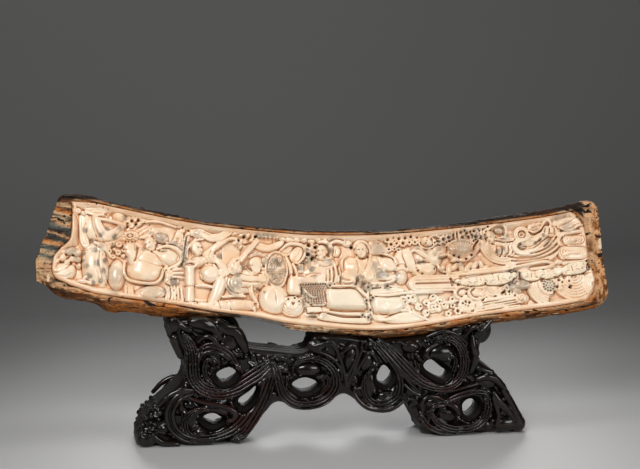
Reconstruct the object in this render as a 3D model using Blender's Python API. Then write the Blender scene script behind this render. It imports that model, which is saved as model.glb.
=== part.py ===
"""Carved mammoth tusk on its pierced hardwood stand.

The tusk lies across the stand with its carved face leaning back. It is one natural piece: a
curved length of tusk split along its middle, with a sunk field on the split face. Two pale
cloud strips are let into that field over an old crack. The stand is one pierced block with a
bed on top that follows the tusk's underside.

Units are metres and +Z is up. +X runs along the tusk and -Y faces the viewer. The origin is
under the middle of the whole object, on the surface that the stand rests on.
"""

import math

import bmesh
import bpy
from mathutils import Matrix, Vector

MM = 0.001
GAP = 0.3 * MM

# Tusk. Its own frame has X along the tusk, Y into its depth and Z up the split face.
TUSK_LEAN = math.radians(20)
TUSK_SEAT = Vector((-6.9, -32.9, 195.0)) * MM
TUSK_FROM, TUSK_TO = -334.0 * MM, 356.0 * MM
TUSK_STATIONS = 45
TUSK_END_ROUNDING = 26.0 * MM
WIDEST_DEPTH = 24.0 * MM
BACK_BULGE = 44.0 * MM
FACE_SHARE = 0.88
# Where the middle of the face runs and how far it reaches up and down, along the tusk.
MIDDLE_LINE = [
    (-334, 64), (-270, 46), (-160, 26), (-75, 14), (-20, 5), (80, -1), (200, 9), (290, 18), (356, 29),
]
HALF_HEIGHT = [
    (-334, 57), (-270, 62), (-160, 57), (-75, 57), (-20, 61), (80, 66), (200, 64), (290, 65), (356, 66),
]

# The sunk field on the split face, and the crack strips let into it.
FIELD_FROM, FIELD_TO = -300.0 * MM, 333.0 * MM
FIELD_STATIONS = 26
FIELD_DEPTH = 9.0 * MM
FIELD_BORDER = 10.0 * MM
POCKET_DEPTH = 2.5 * MM
STRIP_HEIGHT = 9.0 * MM
STRIP_LEFT = [(161, -5), (176, 1), (203, 4), (228, 6), (243, 4), (243, -4), (225, -8), (198, -10), (174, -9)]
STRIP_RIGHT = [
    (249, 3), (262, 9), (276, 7), (288, 12), (303, 11), (313, 15), (326, 18),
    (333, 11), (327, 3), (313, 1), (298, -1), (284, -3), (266, -5), (251, -3),
]

# Stand. Outlines are (x, z) in millimetres on its front face.
STAND_DEPTH = 88.0 * MM
STAND_EDGE = 5.0 * MM
STAND_CENTRE = Vector((-6.9, -10.9, 0.0)) * MM
BED_CLEARANCE = 0.4 * MM
STAND_OUTLINE = [
    # left foot, up its outer side to the left peak
    (-228, 10), (-220, 32), (-204, 49), (-187, 63), (-172, 80), (-170, 97), (-178, 112),
    (-186, 132), (-187, 152),
    # along the top: peak, lobe, dip, middle peak, bed, right peak
    (-131, 152), (-122, 138), (-109, 135), (-96, 118), (-66, 105), (-35, 108), (-13, 129), (21, 130),
    (67, 123), (116, 125), (153, 136), (190, 141), (209, 148),
    # down the right side to the right foot
    (205, 128), (193, 109), (195, 90), (214, 76), (229, 56), (239, 33), (252, 17),
    (243, 0), (135, 0),
    # the arch between the feet
    (118, 14), (107, 34), (97, 43), (83, 34), (66, 32), (46, 42), (25, 55),
    (4, 44), (-25, 38), (-56, 48), (-72, 35), (-84, 18), (-100, 1), (-119, 4), (-128, 0), (-218, 0),
]
# Each opening widens and drifts towards the back of the stand, so that light comes through it.
OPENING_GROWTH = 0.45
OPENING_DRIFT = Vector((9.0, 0.0, -8.0)) * MM
STAND_OPENINGS = {
    "left_upper_eye": [(-131, 86), (-118, 92), (-110, 86), (-116, 78), (-126, 76)],
    "left_teardrop": [(-84, 70), (-95, 64), (-107, 55), (-107, 47), (-99, 43), (-89, 54)],
    "left_lower_eye": [(-149, 31), (-138, 36), (-127, 29), (-138, 23)],
    "middle_eye": [(-38, 70), (-24, 76), (-10, 69), (-18, 61), (-30, 61)],
    "right_centre_eye": [(75, 93), (64, 78), (66, 67), (77, 63), (85, 76)],
    "right_upper_eye": [(126, 86), (133, 93), (143, 86), (152, 78), (147, 71), (136, 76)],
    "right_lower_eye": [(171, 38), (184, 46), (194, 37), (190, 26), (176, 21)],
}


def clear_scene():
    """Remove every object that the file opened with."""
    for obj in list(bpy.data.objects):
        bpy.data.objects.remove(obj, do_unlink=True)


def new_collection(name, helper=False):
    """Return a new collection in the scene; a helper one is left out of renders."""
    collection = bpy.data.collections.new(name)
    collection.hide_render = helper
    bpy.context.scene.collection.children.link(collection)
    return collection


def principled(name, colour, roughness, metallic=0.0):
    """Return a material with one Principled BSDF."""
    material = bpy.data.materials.new(name)
    material.use_nodes = True
    shader = material.node_tree.nodes["Principled BSDF"]
    shader.inputs["Base Color"].default_value = (*colour, 1.0)
    shader.inputs["Roughness"].default_value = roughness
    shader.inputs["Metallic"].default_value = metallic
    material.diffuse_color = (*colour, 1.0)
    return material


def through(knots, x):
    """Return the height at x of a smooth curve through knots, all in metres (knots in mm)."""
    points = [Vector(knot) * MM for knot in knots]
    last = len(points) - 2
    i = next((k for k in range(last) if x < points[k + 1].x), last)
    before, a, b, after = (points[max(0, min(last + 1, i + k))] for k in (-1, 0, 1, 2))
    span = b.x - a.x
    t = (x - a.x) / span
    slope_a = (b.y - before.y) / (b.x - before.x) * span
    slope_b = (after.y - a.y) / (after.x - a.x) * span
    hermite = (2 * t**3 - 3 * t**2 + 1, t**3 - 2 * t**2 + t, 3 * t**2 - 2 * t**3, t**3 - t**2)
    return hermite[0] * a.y + hermite[1] * slope_a + hermite[2] * b.y + hermite[3] * slope_b


def section_tilt(x):
    """Return how far the cross-section at x leans along the tusk, as a slope."""
    step = 1 * MM
    slope = (through(MIDDLE_LINE, x + step) - through(MIDDLE_LINE, x - step)) / (2 * step)
    return -slope if slope < 0 else -0.25 * slope


def end_taper(x):
    """Return the share of full size at x, which falls off over the rounded ends."""
    inward = min(x - TUSK_FROM, TUSK_TO - x) / TUSK_END_ROUNDING
    if inward >= 1:
        return 1.0
    return 0.62 + 0.38 * math.sqrt(max(0.0, 1 - (1 - inward) ** 2))


def tusk_section(x, grow=0.0):
    """Return the closed D-shaped section at x: flat split face in front, round back behind."""
    middle = through(MIDDLE_LINE, x)
    half = through(HALF_HEIGHT, x) * end_taper(x) + grow
    face = half * FACE_SHARE
    bulge = BACK_BULGE * end_taper(x) + grow
    points = [(-face, -grow)]
    for step in range(1, 6):  # front edge, rounded from the face to the widest depth
        turn = math.radians(90 * step / 6)
        points.append((-face - (half - face) * math.sin(turn), WIDEST_DEPTH * (1 - math.cos(turn)) - grow))
    for step in range(0, 19):  # round back, from the lower side to the upper side
        turn = math.radians(-90 + 180 * step / 18)
        points.append((half * math.sin(turn), WIDEST_DEPTH + bulge * math.cos(turn)))
    points += [(-up, depth) for up, depth in reversed(points[:6])]
    lean = section_tilt(x)
    return [Vector((x + lean * up, depth, middle + up)) for up, depth in points]


def loft(name, sections, collection):
    """Return a closed mesh object that joins equal-length sections, with flat end caps."""
    work = bmesh.new()
    rings = [[work.verts.new(point) for point in section] for section in sections]
    for ring, following in zip(rings, rings[1:]):
        for i in range(len(ring)):
            j = (i + 1) % len(ring)
            work.faces.new((ring[i], ring[j], following[j], following[i]))
    work.faces.new(rings[0])
    work.faces.new(list(reversed(rings[-1])))
    bmesh.ops.recalc_face_normals(work, faces=work.faces)
    mesh = bpy.data.meshes.new(name)
    work.to_mesh(mesh)
    work.free()
    obj = bpy.data.objects.new(name, mesh)
    collection.objects.link(obj)
    return obj


def spread(start, end, count):
    """Return count stations from start to end, closer together near both ends."""
    shares = [0.5 - 0.5 * math.cos(math.pi * i / (count - 1)) for i in range(count)]
    return [start + (end - start) * (0.45 * i / (count - 1) + 0.55 * share) for i, share in enumerate(shares)]


def make_tusk(name, collection, grow=0.0):
    """Return the whole tusk body, grown outwards by grow where it serves as a cutter."""
    stations = spread(TUSK_FROM, TUSK_TO, TUSK_STATIONS)
    return loft(name, [tusk_section(x, grow) for x in stations], collection)


def make_field_cutter(collection):
    """Return the cutter of the sunk field: a curved bar that keeps a border to the tusk's edge."""
    sections = []
    for x in spread(FIELD_FROM, FIELD_TO, FIELD_STATIONS):
        middle = through(MIDDLE_LINE, x)
        corner = min(1.0, min(x - FIELD_FROM, FIELD_TO - x) / (30 * MM))
        reach = (through(HALF_HEIGHT, x) * FACE_SHARE - FIELD_BORDER) * (0.7 + 0.3 * math.sqrt(corner))
        box = ((-reach, -30 * MM), (-reach, FIELD_DEPTH), (reach, FIELD_DEPTH), (reach, -30 * MM))
        lean = section_tilt(x)
        sections.append([Vector((x + lean * up, depth, middle + up)) for up, depth in box])
    return loft("field_cutter", sections, collection)


def flat_curve(name, outline, collection, half_depth, edge=0.0, offset=0.0, steps=3):
    """Return a mesh object: a smooth closed outline in X and Z, filled and extruded along Y."""
    curve = bpy.data.curves.new(name, "CURVE")
    curve.dimensions = "2D"
    curve.fill_mode = "BOTH"
    curve.resolution_u = steps
    curve.extrude = half_depth - edge
    curve.bevel_depth = edge
    curve.bevel_resolution = 1
    curve.offset = offset - edge
    spline = curve.splines.new("BEZIER")
    spline.bezier_points.add(len(outline) - 1)
    spline.use_cyclic_u = True
    for point, (x, z) in zip(spline.bezier_points, outline):
        point.co = (x * MM, z * MM, 0.0)
        point.handle_left_type = point.handle_right_type = "AUTO"
    as_curve = bpy.data.objects.new(name, curve)
    collection.objects.link(as_curve)
    as_curve.rotation_euler.x = math.radians(90)
    bpy.context.view_layer.update()
    graph = bpy.context.evaluated_depsgraph_get()
    mesh = bpy.data.meshes.new_from_object(as_curve.evaluated_get(graph))
    mesh.transform(as_curve.matrix_world)
    bpy.data.objects.remove(as_curve, do_unlink=True)
    work = bmesh.new()
    work.from_mesh(mesh)
    bmesh.ops.remove_doubles(work, verts=work.verts, dist=0.01 * MM)
    bmesh.ops.recalc_face_normals(work, faces=work.faces)
    work.to_mesh(mesh)
    work.free()
    solid = bpy.data.objects.new(name, mesh)
    collection.objects.link(solid)
    return solid


def cut(target, cutter):
    """Subtract cutter from target with an exact Boolean, and hide the cutter."""
    cutter.hide_render = True
    cutter.display_type = "WIRE"
    modifier = target.modifiers.new(f"cut {cutter.name}", "BOOLEAN")
    modifier.operation = "DIFFERENCE"
    modifier.solver = "EXACT"
    modifier.object = cutter


def ground_flat(obj):
    """Cut the object's lowest surface flat at its own zero height."""
    work = bmesh.new()
    work.from_mesh(obj.data)
    geometry = list(work.verts) + list(work.edges) + list(work.faces)
    bmesh.ops.bisect_plane(work, geom=geometry, plane_co=(0, 0, 0), plane_no=(0, 0, -1), clear_outer=True)
    rim = [edge for edge in work.edges if edge.is_boundary]
    bmesh.ops.holes_fill(work, edges=rim)
    bmesh.ops.recalc_face_normals(work, faces=work.faces)
    work.to_mesh(obj.data)
    work.free()


def paint(obj, material):
    """Give the object its one material and smooth shading with sharp edges kept."""
    obj.data.materials.clear()
    obj.data.materials.append(material)
    obj.data.shade_smooth()
    obj.data.set_sharp_from_angle(angle=math.radians(35))


def build_tusk(parts, cutters, seat, ivory):
    """Return the tusk with its sunk field and the two pockets for the cloud strips."""
    tusk = make_tusk("tusk", parts)
    tusk.parent = seat
    field = make_field_cutter(cutters)
    field.parent = seat
    cut(tusk, field)
    for name, outline in (("left", STRIP_LEFT), ("right", STRIP_RIGHT)):
        pocket = flat_curve(f"pocket_{name}", outline, cutters, FIELD_DEPTH + POCKET_DEPTH, offset=GAP)
        pocket.parent = seat
        cut(tusk, pocket)
    paint(tusk, ivory)
    return tusk


def build_strip(name, outline, parts, seat, ivory):
    """Return one cloud strip, seated in its pocket with a fine gap all round."""
    floor = FIELD_DEPTH + POCKET_DEPTH - GAP
    strip = flat_curve(name, outline, parts, STRIP_HEIGHT / 2, edge=1.5 * MM)
    strip.parent = seat
    strip.location = (0, floor - STRIP_HEIGHT / 2, 0)
    paint(strip, ivory)
    return strip


def flare(opening):
    """Widen and shift an opening's cutter towards +Y, from no change at its front face."""
    points = [vertex.co for vertex in opening.data.vertices]
    front = min(point.y for point in points)
    middle = sum(points, Vector()) / len(points)
    for point in points:
        share = (point.y - front) / STAND_DEPTH
        outward = Vector((point.x - middle.x, 0, point.z - middle.z))
        point += outward * OPENING_GROWTH * share + OPENING_DRIFT * share


def build_stand(parts, cutters, seat, wood):
    """Return the pierced stand with a bed cut to the tusk's underside."""
    stand = flat_curve("stand", STAND_OUTLINE, parts, STAND_DEPTH / 2, edge=STAND_EDGE)
    ground_flat(stand)
    stand.location = STAND_CENTRE
    bed = make_tusk("bed_cutter", cutters, grow=BED_CLEARANCE)
    bed.parent = seat
    cut(stand, bed)
    for name, outline in STAND_OPENINGS.items():
        opening = flat_curve(name, outline, cutters, STAND_DEPTH / 2 + 1 * MM)
        flare(opening)
        opening.location = STAND_CENTRE
        cut(stand, opening)
    paint(stand, wood)
    return stand


def main():
    """Build the tusk, its two cloud strips and the stand."""
    clear_scene()
    parts = new_collection("carved_mammoth_tusk")
    cutters = new_collection("cutters", helper=True)
    seat = bpy.data.objects.new("tusk_seat", None)
    seat.location = TUSK_SEAT
    seat.rotation_euler.x = -TUSK_LEAN
    parts.objects.link(seat)
    ivory = principled("mammoth_ivory", (0.72, 0.52, 0.36), 0.42)
    pale_ivory = principled("pale_ivory", (0.82, 0.66, 0.50), 0.38)
    wood = principled("dark_hardwood", (0.018, 0.010, 0.008), 0.28)
    build_tusk(parts, cutters, seat, ivory)
    build_strip("cloud_strip_left", STRIP_LEFT, parts, seat, pale_ivory)
    build_strip("cloud_strip_right", STRIP_RIGHT, parts, seat, pale_ivory)
    build_stand(parts, cutters, seat, wood)


if __name__ == "__main__":
    main()
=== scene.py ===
"""Looks of a carved mammoth tusk and its pierced hardwood stand.

The ivory relief and the stand are carved in memory the way a carver works: a block of material is
a grid of distances to its surface, shapes are joined to it or cut from it, fine lines are scored
into it, and a net is drawn over what is left. Lengths inside the carving classes are millimetres;
meshes are metres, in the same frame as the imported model.
"""

from __future__ import annotations

import logging
import math
from dataclasses import dataclass, field
from enum import Enum
from typing import Callable, Iterable, Iterator, Sequence

import bpy
import numpy as np
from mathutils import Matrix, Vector


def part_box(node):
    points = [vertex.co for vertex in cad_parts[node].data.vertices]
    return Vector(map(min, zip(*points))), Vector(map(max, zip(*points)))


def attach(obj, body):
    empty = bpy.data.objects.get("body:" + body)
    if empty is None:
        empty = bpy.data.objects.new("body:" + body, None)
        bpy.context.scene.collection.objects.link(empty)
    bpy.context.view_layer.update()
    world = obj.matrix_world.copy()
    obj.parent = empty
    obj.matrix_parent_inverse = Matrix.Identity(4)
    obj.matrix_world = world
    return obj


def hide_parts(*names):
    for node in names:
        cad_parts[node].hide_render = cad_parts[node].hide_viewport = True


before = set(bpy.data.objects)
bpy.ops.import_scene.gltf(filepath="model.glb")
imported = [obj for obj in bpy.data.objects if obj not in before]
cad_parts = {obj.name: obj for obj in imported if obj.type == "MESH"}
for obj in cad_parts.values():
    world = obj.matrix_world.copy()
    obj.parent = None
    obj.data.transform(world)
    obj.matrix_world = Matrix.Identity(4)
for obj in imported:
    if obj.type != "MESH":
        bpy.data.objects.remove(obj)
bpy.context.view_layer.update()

LOG = logging.getLogger("carved_tusk")
# metres in a millimetre; a distance past everything; the least length that is divided by
MM = 0.001
FAR = 1e3
TINY = 1e-9
# the blend of a joint that stays sharp; the N above all carving; the grid lines that parts share
SHARP = 0.01
TOP = 10.0
LAP = 4
Point = Sequence[float]
Array = np.ndarray


# ---------------------------------------------------------------- shapes and curves


def through(points: Sequence[Point], steps: int = 6, closed: bool = False) -> Array:
    """Run a smooth curve through points.

    Args:
        points: Points of any dimension, in order.
        steps: Samples between neighbouring points.
        closed: Whether the curve returns to its first point.

    Returns:
        The samples, one row each.
    """
    knots = np.asarray(points, float)
    if len(knots) < 3:
        share = np.linspace(0, 1, steps + 1)[:, None]
        return knots[0] * (1 - share) + knots[-1] * share
    if closed:
        padded = np.vstack([knots[-1], knots, knots[0], knots[1]])
    else:
        padded = np.vstack([2 * knots[0] - knots[1], knots, 2 * knots[-1] - knots[-2]])
    share = np.linspace(0, 1, steps, endpoint=False)[:, None]
    rows = []
    for before, here, there, after in zip(padded, padded[1:], padded[2:], padded[3:]):
        bend = 2 * before - 5 * here + 4 * there - after
        twist = 3 * here - before - 3 * there + after
        rows.append(0.5 * (2 * here + (there - before) * share + bend * share**2 + twist * share**3))
    if not closed:
        rows.append(knots[-1:])
    return np.vstack(rows)


def curl(centre: Point, radius: float, turns: float, start: float, end_share: float = 0.15) -> Array:
    """Return the points of a spiral that winds inwards.

    Args:
        centre: Centre in X and V.
        radius: Outer radius.
        turns: Turns to wind, negative for clockwise.
        start: Angle of the outer end in degrees.
        end_share: Inner radius as a share of the outer one.

    Returns:
        Points in X and V from the outside in.
    """
    count = max(8, int(abs(turns) * 22))
    share = np.linspace(0, 1, count)
    angle = math.radians(start) + share * turns * math.tau
    reach = radius * (1 - (1 - end_share) * share)
    return np.column_stack([centre[0] + reach * np.cos(angle), centre[1] + reach * np.sin(angle)])


def arc(centre: Point, radius: float | Point, start: float, end: float, count: int = 16) -> Array:
    """Return points of an arc or of part of an ellipse, angles in degrees.

    Args:
        centre: Centre in X and V.
        radius: One radius, or one along X and one along V.
        start: Angle of the first point.
        end: Angle of the last point.
        count: How many points.

    Returns:
        Points in X and V.
    """
    across, up = (radius, radius) if np.isscalar(radius) else radius
    angle = np.radians(np.linspace(start, end, count))
    return np.column_stack([centre[0] + across * np.cos(angle), centre[1] + up * np.sin(angle)])


def smooth_step(value: Array, low: float, high: float) -> Array:
    """Rise from 0 at low to 1 at high with level ends."""
    share = np.clip((value - low) / (high - low), 0, 1)
    return share * share * (3 - 2 * share)


def line_distance(x: Array, v: Array, points: Array) -> Array:
    """Return the distance in the X-V plane from each place to an open line of points.

    Args:
        x: Places along X.
        v: Places along V.
        points: Points of the line in X and V.

    Returns:
        The distances.
    """
    best = np.full(np.broadcast(x, v).shape, FAR, np.float32)
    for start, end in zip(points, points[1:]):
        np.minimum(best, step_distance(x, v, start, end), out=best)
    return best


def step_distance(x: Array, v: Array, start: Point, end: Point) -> Array:
    """Return the distance in the X-V plane from each place to one straight step.

    Args:
        x: Places along X.
        v: Places along V.
        start: One end in X and V.
        end: The other end.

    Returns:
        The distances.
    """
    along, up = end[0] - start[0], end[1] - start[1]
    dx, dv = x - start[0], v - start[1]
    share = np.clip((dx * along + dv * up) / max(along * along + up * up, TINY), 0, 1)
    return np.hypot(dx - share * along, dv - share * up)


def near(x: Array, v: Array, low: Point, high: Point) -> tuple[slice, slice]:
    """Return the rows and columns of a window that lie between two corners.

    Args:
        x: X of each row of the window.
        v: V of each row and column.
        low: Lowest X and V.
        high: Highest X and V.

    Returns:
        The rows and the columns.
    """
    first, last = np.searchsorted(x.ravel(), (low[0], high[0]))
    band = v[first:last] if last > first else v
    band = band.reshape(len(band), -1)
    return slice(first, last), slice(
        int(np.searchsorted(band[-1 if band[-1, 0] > band[0, 0] else 0], low[1])),
        int(np.searchsorted(band[0 if band[-1, 0] > band[0, 0] else -1], high[1])),
    )


def outline_distance(x: Array, v: Array, points: Array) -> Array:
    """Return the distance to a closed outline in the X-V plane, negative inside it.

    Args:
        x: Places along X.
        v: Places along V.
        points: Corners in X and V, in order.

    Returns:
        The distances.
    """
    inside = np.zeros(np.broadcast(x, v).shape, bool)
    for start, end in zip(points, np.roll(points, -1, axis=0)):
        crosses = (start[1] > v) != (end[1] > v)
        rise = end[1] - start[1]
        slope = (end[0] - start[0]) / (rise if abs(rise) > TINY else TINY)
        inside ^= crosses & (x < start[0] + slope * (v - start[1]))
    distance = line_distance(x, v, np.vstack([points, points[:1]]))
    return np.where(inside, -distance, distance)


def turn_matrix(yaw: float = 0, tip: float = 0, roll: float = 0) -> Array:
    """Return a rotation in block axes from angles in degrees.

    Args:
        yaw: Turn about V, positive looks towards +X.
        tip: Nod about X, positive looks up.
        roll: Turn in the X-V plane, positive is anticlockwise.

    Returns:
        A 3 by 3 matrix.
    """
    a, b, c = (math.radians(angle) for angle in (yaw, tip, roll))
    about_v = np.array([[math.cos(a), 0, math.sin(a)], [0, 1, 0], [-math.sin(a), 0, math.cos(a)]])
    about_x = np.array([[1, 0, 0], [0, math.cos(b), math.sin(b)], [0, -math.sin(b), math.cos(b)]])
    about_n = np.array([[math.cos(c), -math.sin(c), 0], [math.sin(c), math.cos(c), 0], [0, 0, 1]])
    return about_n @ about_v @ about_x


class Noise:
    """Smooth repeatable noise from a fixed table of random values."""

    def __init__(self, seed: int, size: int = 48) -> None:
        """Fill the table from seed."""
        self.size = size
        self.table = np.random.default_rng(seed).random((size, size, size), np.float32)

    def at(self, a: Array, b: Array, c: Array) -> Array:
        """Return noise from 0 to 1 at places given in table cells.

        Args:
            a: Places along the table's first axis.
            b: Places along its second axis.
            c: Places along its third axis.

        Returns:
            The noise.
        """
        a, b, c = np.broadcast_arrays(a, b, c)
        total = np.zeros(a.shape, np.float32)
        cells, shares = [], []
        for value in (a, b, c):
            cell = np.floor(value)
            share = value - cell
            cells.append(cell.astype(np.int64))
            shares.append((share * share * (3 - 2 * share)).astype(np.float32))
        for corner in range(8):
            weight, index = 1.0, []
            for axis in range(3):
                high = corner >> axis & 1
                weight = weight * (shares[axis] if high else 1 - shares[axis])
                index.append((cells[axis] + high) % self.size)
            total += weight * self.table[tuple(index)]
        return total

    def layers(self, a: Array, b: Array, c: Array, count: int = 4, fade: float = 0.5) -> Array:
        """Return several layers of noise, each twice as fine and fade times as strong.

        Args:
            a: Places along the table's first axis.
            b: Places along its second axis.
            c: Places along its third axis.
            count: How many layers.
            fade: Strength of each layer as a share of the last.

        Returns:
            The noise, from 0 to 1.
        """
        total, weight, whole = 0.0, 1.0, 0.0
        for layer in range(count):
            scale = 2.0**layer
            total = total + weight * self.at(a * scale + 7 * layer, b * scale + 3 * layer, c * scale)
            whole += weight
            weight *= fade
        return total / whole


# ---------------------------------------------------------------- the block


@dataclass
class Net:
    """A mesh in memory: places, square faces and named values at each place."""

    points: Array
    quads: Array
    values: dict[str, Array]


class Block:
    """A block of material as distances in millimetres to its surface, negative inside.

    Its grid runs along X, V and N. V may drift with X, so that a long block follows a curve.
    """

    def __init__(self, along: Array, up: Array, deep: Array, drift: Array | None = None) -> None:
        """Start an empty block on the given grid lines.

        Args:
            along: Grid lines along X.
            up: Grid lines along V.
            deep: Grid lines along N.
            drift: How far V is shifted at each line along X.
        """
        self.x = np.asarray(along, np.float32)
        self.u = np.asarray(up, np.float32)
        self.n = np.asarray(deep, np.float32)
        self.drift = np.zeros_like(self.x) if drift is None else np.asarray(drift, np.float32)
        self.value = np.full((len(self.x), len(self.u), len(self.n)), FAR, np.float32)

    def window(self, low: Point, high: Point) -> tuple[Array, Array, Array, Array] | None:
        """Return the part of the grid between two corners.

        Args:
            low: Lowest X, V and N.
            high: Highest X, V and N.

        Returns:
            A view of the values there with matching X, V and N arrays, or None if it is empty.
        """
        i0, i1 = np.searchsorted(self.x, (low[0], high[0]))
        if i1 <= i0:
            return None
        drift = self.drift[i0:i1]
        j0, j1 = np.searchsorted(self.u, (low[1] - drift.max(), high[1] - drift.min()))
        k0, k1 = np.searchsorted(self.n, (low[2], high[2]))
        if j1 <= j0 or k1 <= k0:
            return None
        x = self.x[i0:i1, None, None]
        v = self.u[None, j0:j1, None] + drift[:, None, None]
        return self.value[i0:i1, j0:j1, k0:k1], x, v, self.n[None, None, k0:k1]

    def join(self, low: Point, high: Point, shape: Callable, blend: float) -> None:
        """Join a shape between two corners to the block, rounding the joint over blend.

        Args:
            low: Lowest X, V and N that the shape reaches.
            high: Highest X, V and N that it reaches.
            shape: Gives the distance to the shape at x, v and n.
            blend: How far the joint is rounded.
        """
        reach = blend + 1.5
        part = self.window(np.asarray(low) - reach, np.asarray(high) + reach)
        if part is None:
            return
        held, x, v, n = part
        added = shape(x, v, n).astype(np.float32)
        share = np.clip(0.5 + 0.5 * (held - added) / blend, 0, 1)
        held[...] = held + (added - held) * share - blend * share * (1 - share)

    def cut(self, low: Point, high: Point, shape: Callable, blend: float) -> None:
        """Cut a shape between two corners from the block, rounding the edge over blend.

        Args:
            low: Lowest X, V and N that the shape reaches.
            high: Highest X, V and N that it reaches.
            shape: Gives the distance to the shape at x, v and n.
            blend: How far the edge is rounded.
        """
        reach = blend + 1.5
        part = self.window(np.asarray(low) - reach, np.asarray(high) + reach)
        if part is None:
            return
        held, x, v, n = part
        taken = -shape(x, v, n).astype(np.float32)
        share = np.clip(0.5 - 0.5 * (held - taken) / blend, 0, 1)
        held[...] = held + (taken - held) * share + blend * share * (1 - share)

    def shift(self, low: Point, high: Point, depth: Callable) -> None:
        """Move the surface inwards by depth(x, v, n) between two corners.

        Args:
            low: Lowest X, V and N that is touched.
            high: Highest X, V and N that is touched.
            depth: Gives how far the surface moves in at x, v and n.
        """
        part = self.window(low, high)
        if part is not None:
            held, x, v, n = part
            held += depth(x, v, n).astype(np.float32)

    # -- solids

    def egg(
        self, centre: Point, radii: Point, turn: float | Array = 0.0, blend: float = 0.8, take: bool = False
    ) -> None:
        """Join or take an ellipsoid, turned in the face plane by degrees or by a matrix.

        Args:
            centre: Its middle in X, V and N.
            radii: Its reach along each of its own axes.
            turn: Degrees, or a 3 by 3 matrix.
            blend: How far the joint is rounded.
            take: Whether to cut it out instead.
        """
        matrix = turn_matrix(roll=turn) if np.isscalar(turn) else turn
        radii = np.asarray(radii, float)
        reach = np.abs(matrix) @ radii
        c = np.asarray(centre, float)

        def shape(x: Array, v: Array, n: Array) -> Array:
            """Return the distance to the ellipsoid.

            Args:
                x: Places along X.
                v: Places along V.
                n: Places along N.

            Returns:
                The distances.
            """
            d = (x - c[0], v - c[1], n - c[2])
            local = [sum(matrix[axis, i] * d[axis] for axis in range(3)) for i in range(3)]
            near = np.sqrt(sum((a / r) ** 2 for a, r in zip(local, radii)))
            steep = np.sqrt(sum((a / r**2) ** 2 for a, r in zip(local, radii)))
            return near * (near - 1) / np.maximum(steep, 1e-6)

        (self.cut if take else self.join)(c - reach, c + reach, shape, blend)

    def rope(
        self,
        points: Sequence[Point] | Array,
        radius: float | Sequence[float],
        blend: float = 0.8,
        flat: float = 1.0,
        take: bool = False,
        steps: int = 5,
    ) -> None:
        """Join or take a round bar along a smooth line through points.

        Args:
            points: Places in X, V and N.
            radius: One radius, or one for each point.
            blend: How far the joint is rounded.
            flat: Its depth as a share of its width.
            take: Whether to cut it out instead.
            steps: Samples between points; 1 keeps the corners.
        """
        given = np.asarray(points, float)
        wide = np.full(len(given), float(radius)) if np.isscalar(radius) else np.asarray(radius, float)
        rows = np.column_stack([given, wide])
        rows = rows if steps == 1 else through(rows, steps)
        reach = rows[:, 3].max()

        def shape(x: Array, v: Array, n: Array) -> Array:
            """Return the distance to the bar.

            Args:
                x: Places along X.
                v: Places along V.
                n: Places along N.

            Returns:
                The distances.
            """
            best = np.full(np.broadcast(x, v, n).shape, FAR, np.float32)
            for a, b in zip(rows, rows[1:]):
                margin = max(a[3], b[3]) + blend + 2
                i, j = near(x, v, np.minimum(a, b) - margin, np.maximum(a, b) + margin)
                s = b - a
                length = max(s[0] ** 2 + s[1] ** 2 + s[2] ** 2, TINY)
                dx, dv, dn = x[i] - a[0], v[i, j] - a[1], n - a[2]
                t = np.clip((dx * s[0] + dv * s[1] + dn * s[2]) / length, 0, 1)
                off = np.sqrt((dx - t * s[0]) ** 2 + (dv - t * s[1]) ** 2 + ((dn - t * s[2]) / flat) ** 2)
                best[i, j] = np.minimum(best[i, j], (off - a[3] - t * s[3]) * min(1.0, flat**0.5))
            return best

        low, high = rows[:, :3].min(0) - reach, rows[:, :3].max(0) + reach
        (self.cut if take else self.join)(low, high, shape, blend)

    def plate(
        self,
        outline: Sequence[Point] | Array,
        low: float,
        high: float,
        edge: float = 1.0,
        blend: float = 0.6,
        smooth: bool = True,
        dome: float = 0.0,
        take: bool = False,
    ) -> None:
        """Join or take an outline raised from low to high along N.

        Args:
            outline: Corners in X and V.
            low: N of its back.
            high: N of its front.
            edge: Rounding of its rim.
            blend: How far the joint is rounded.
            smooth: Whether the outline curves through its corners.
            dome: How far the middle of the front swells above its rim.
            take: Whether to cut it out instead.
        """
        corners = np.asarray(outline, float)
        line = through(corners, 5, closed=True) if smooth else corners
        lowest, highest = line.min(0), line.max(0)
        width = 0.5 * (highest - lowest).min()

        def shape(x: Array, v: Array, n: Array) -> Array:
            """Return the distance to the plate.

            Args:
                x: Places along X.
                v: Places along V.
                n: Places along N.

            Returns:
                The distances.
            """
            flat_x, flat_v = x[:, :, 0], v[:, :, 0]
            out = outline_distance(flat_x, flat_v, line)
            front = np.full(out.shape, high, np.float32)
            if dome:
                front = front - dome * (1 - np.clip(-out / width, 0, 1)) ** 2
            out = out[:, :, None] + edge
            deep = np.maximum(n - front[:, :, None], low - n) + edge
            rounded = np.hypot(np.maximum(out, 0), np.maximum(deep, 0))
            return np.minimum(np.maximum(out, deep), 0) + rounded - edge

        (self.cut if take else self.join)((*lowest, low), (*highest, high), shape, blend)

    # -- fine work, in the X-V plane, on whatever surface lies there

    def score(
        self,
        lines: Iterable[Sequence[Point] | Array],
        width: float = 0.7,
        depth: float = 0.6,
        low: float = -40.0,
        smooth: bool = True,
    ) -> None:
        """Score lines into the surface, or raise ridges with a negative depth.

        Args:
            lines: Lines of points in X and V.
            width: Half-width of each line.
            depth: How deep each line goes.
            low: Lowest N that is touched.
            smooth: Whether lines curve through their points.
        """
        for line in lines:
            points = through(line, 6) if smooth else np.asarray(line, float)
            reach = 2.6 * width
            corner_low = (*(points.min(0) - reach), low)
            corner_high = (*(points.max(0) + reach), TOP)

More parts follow.
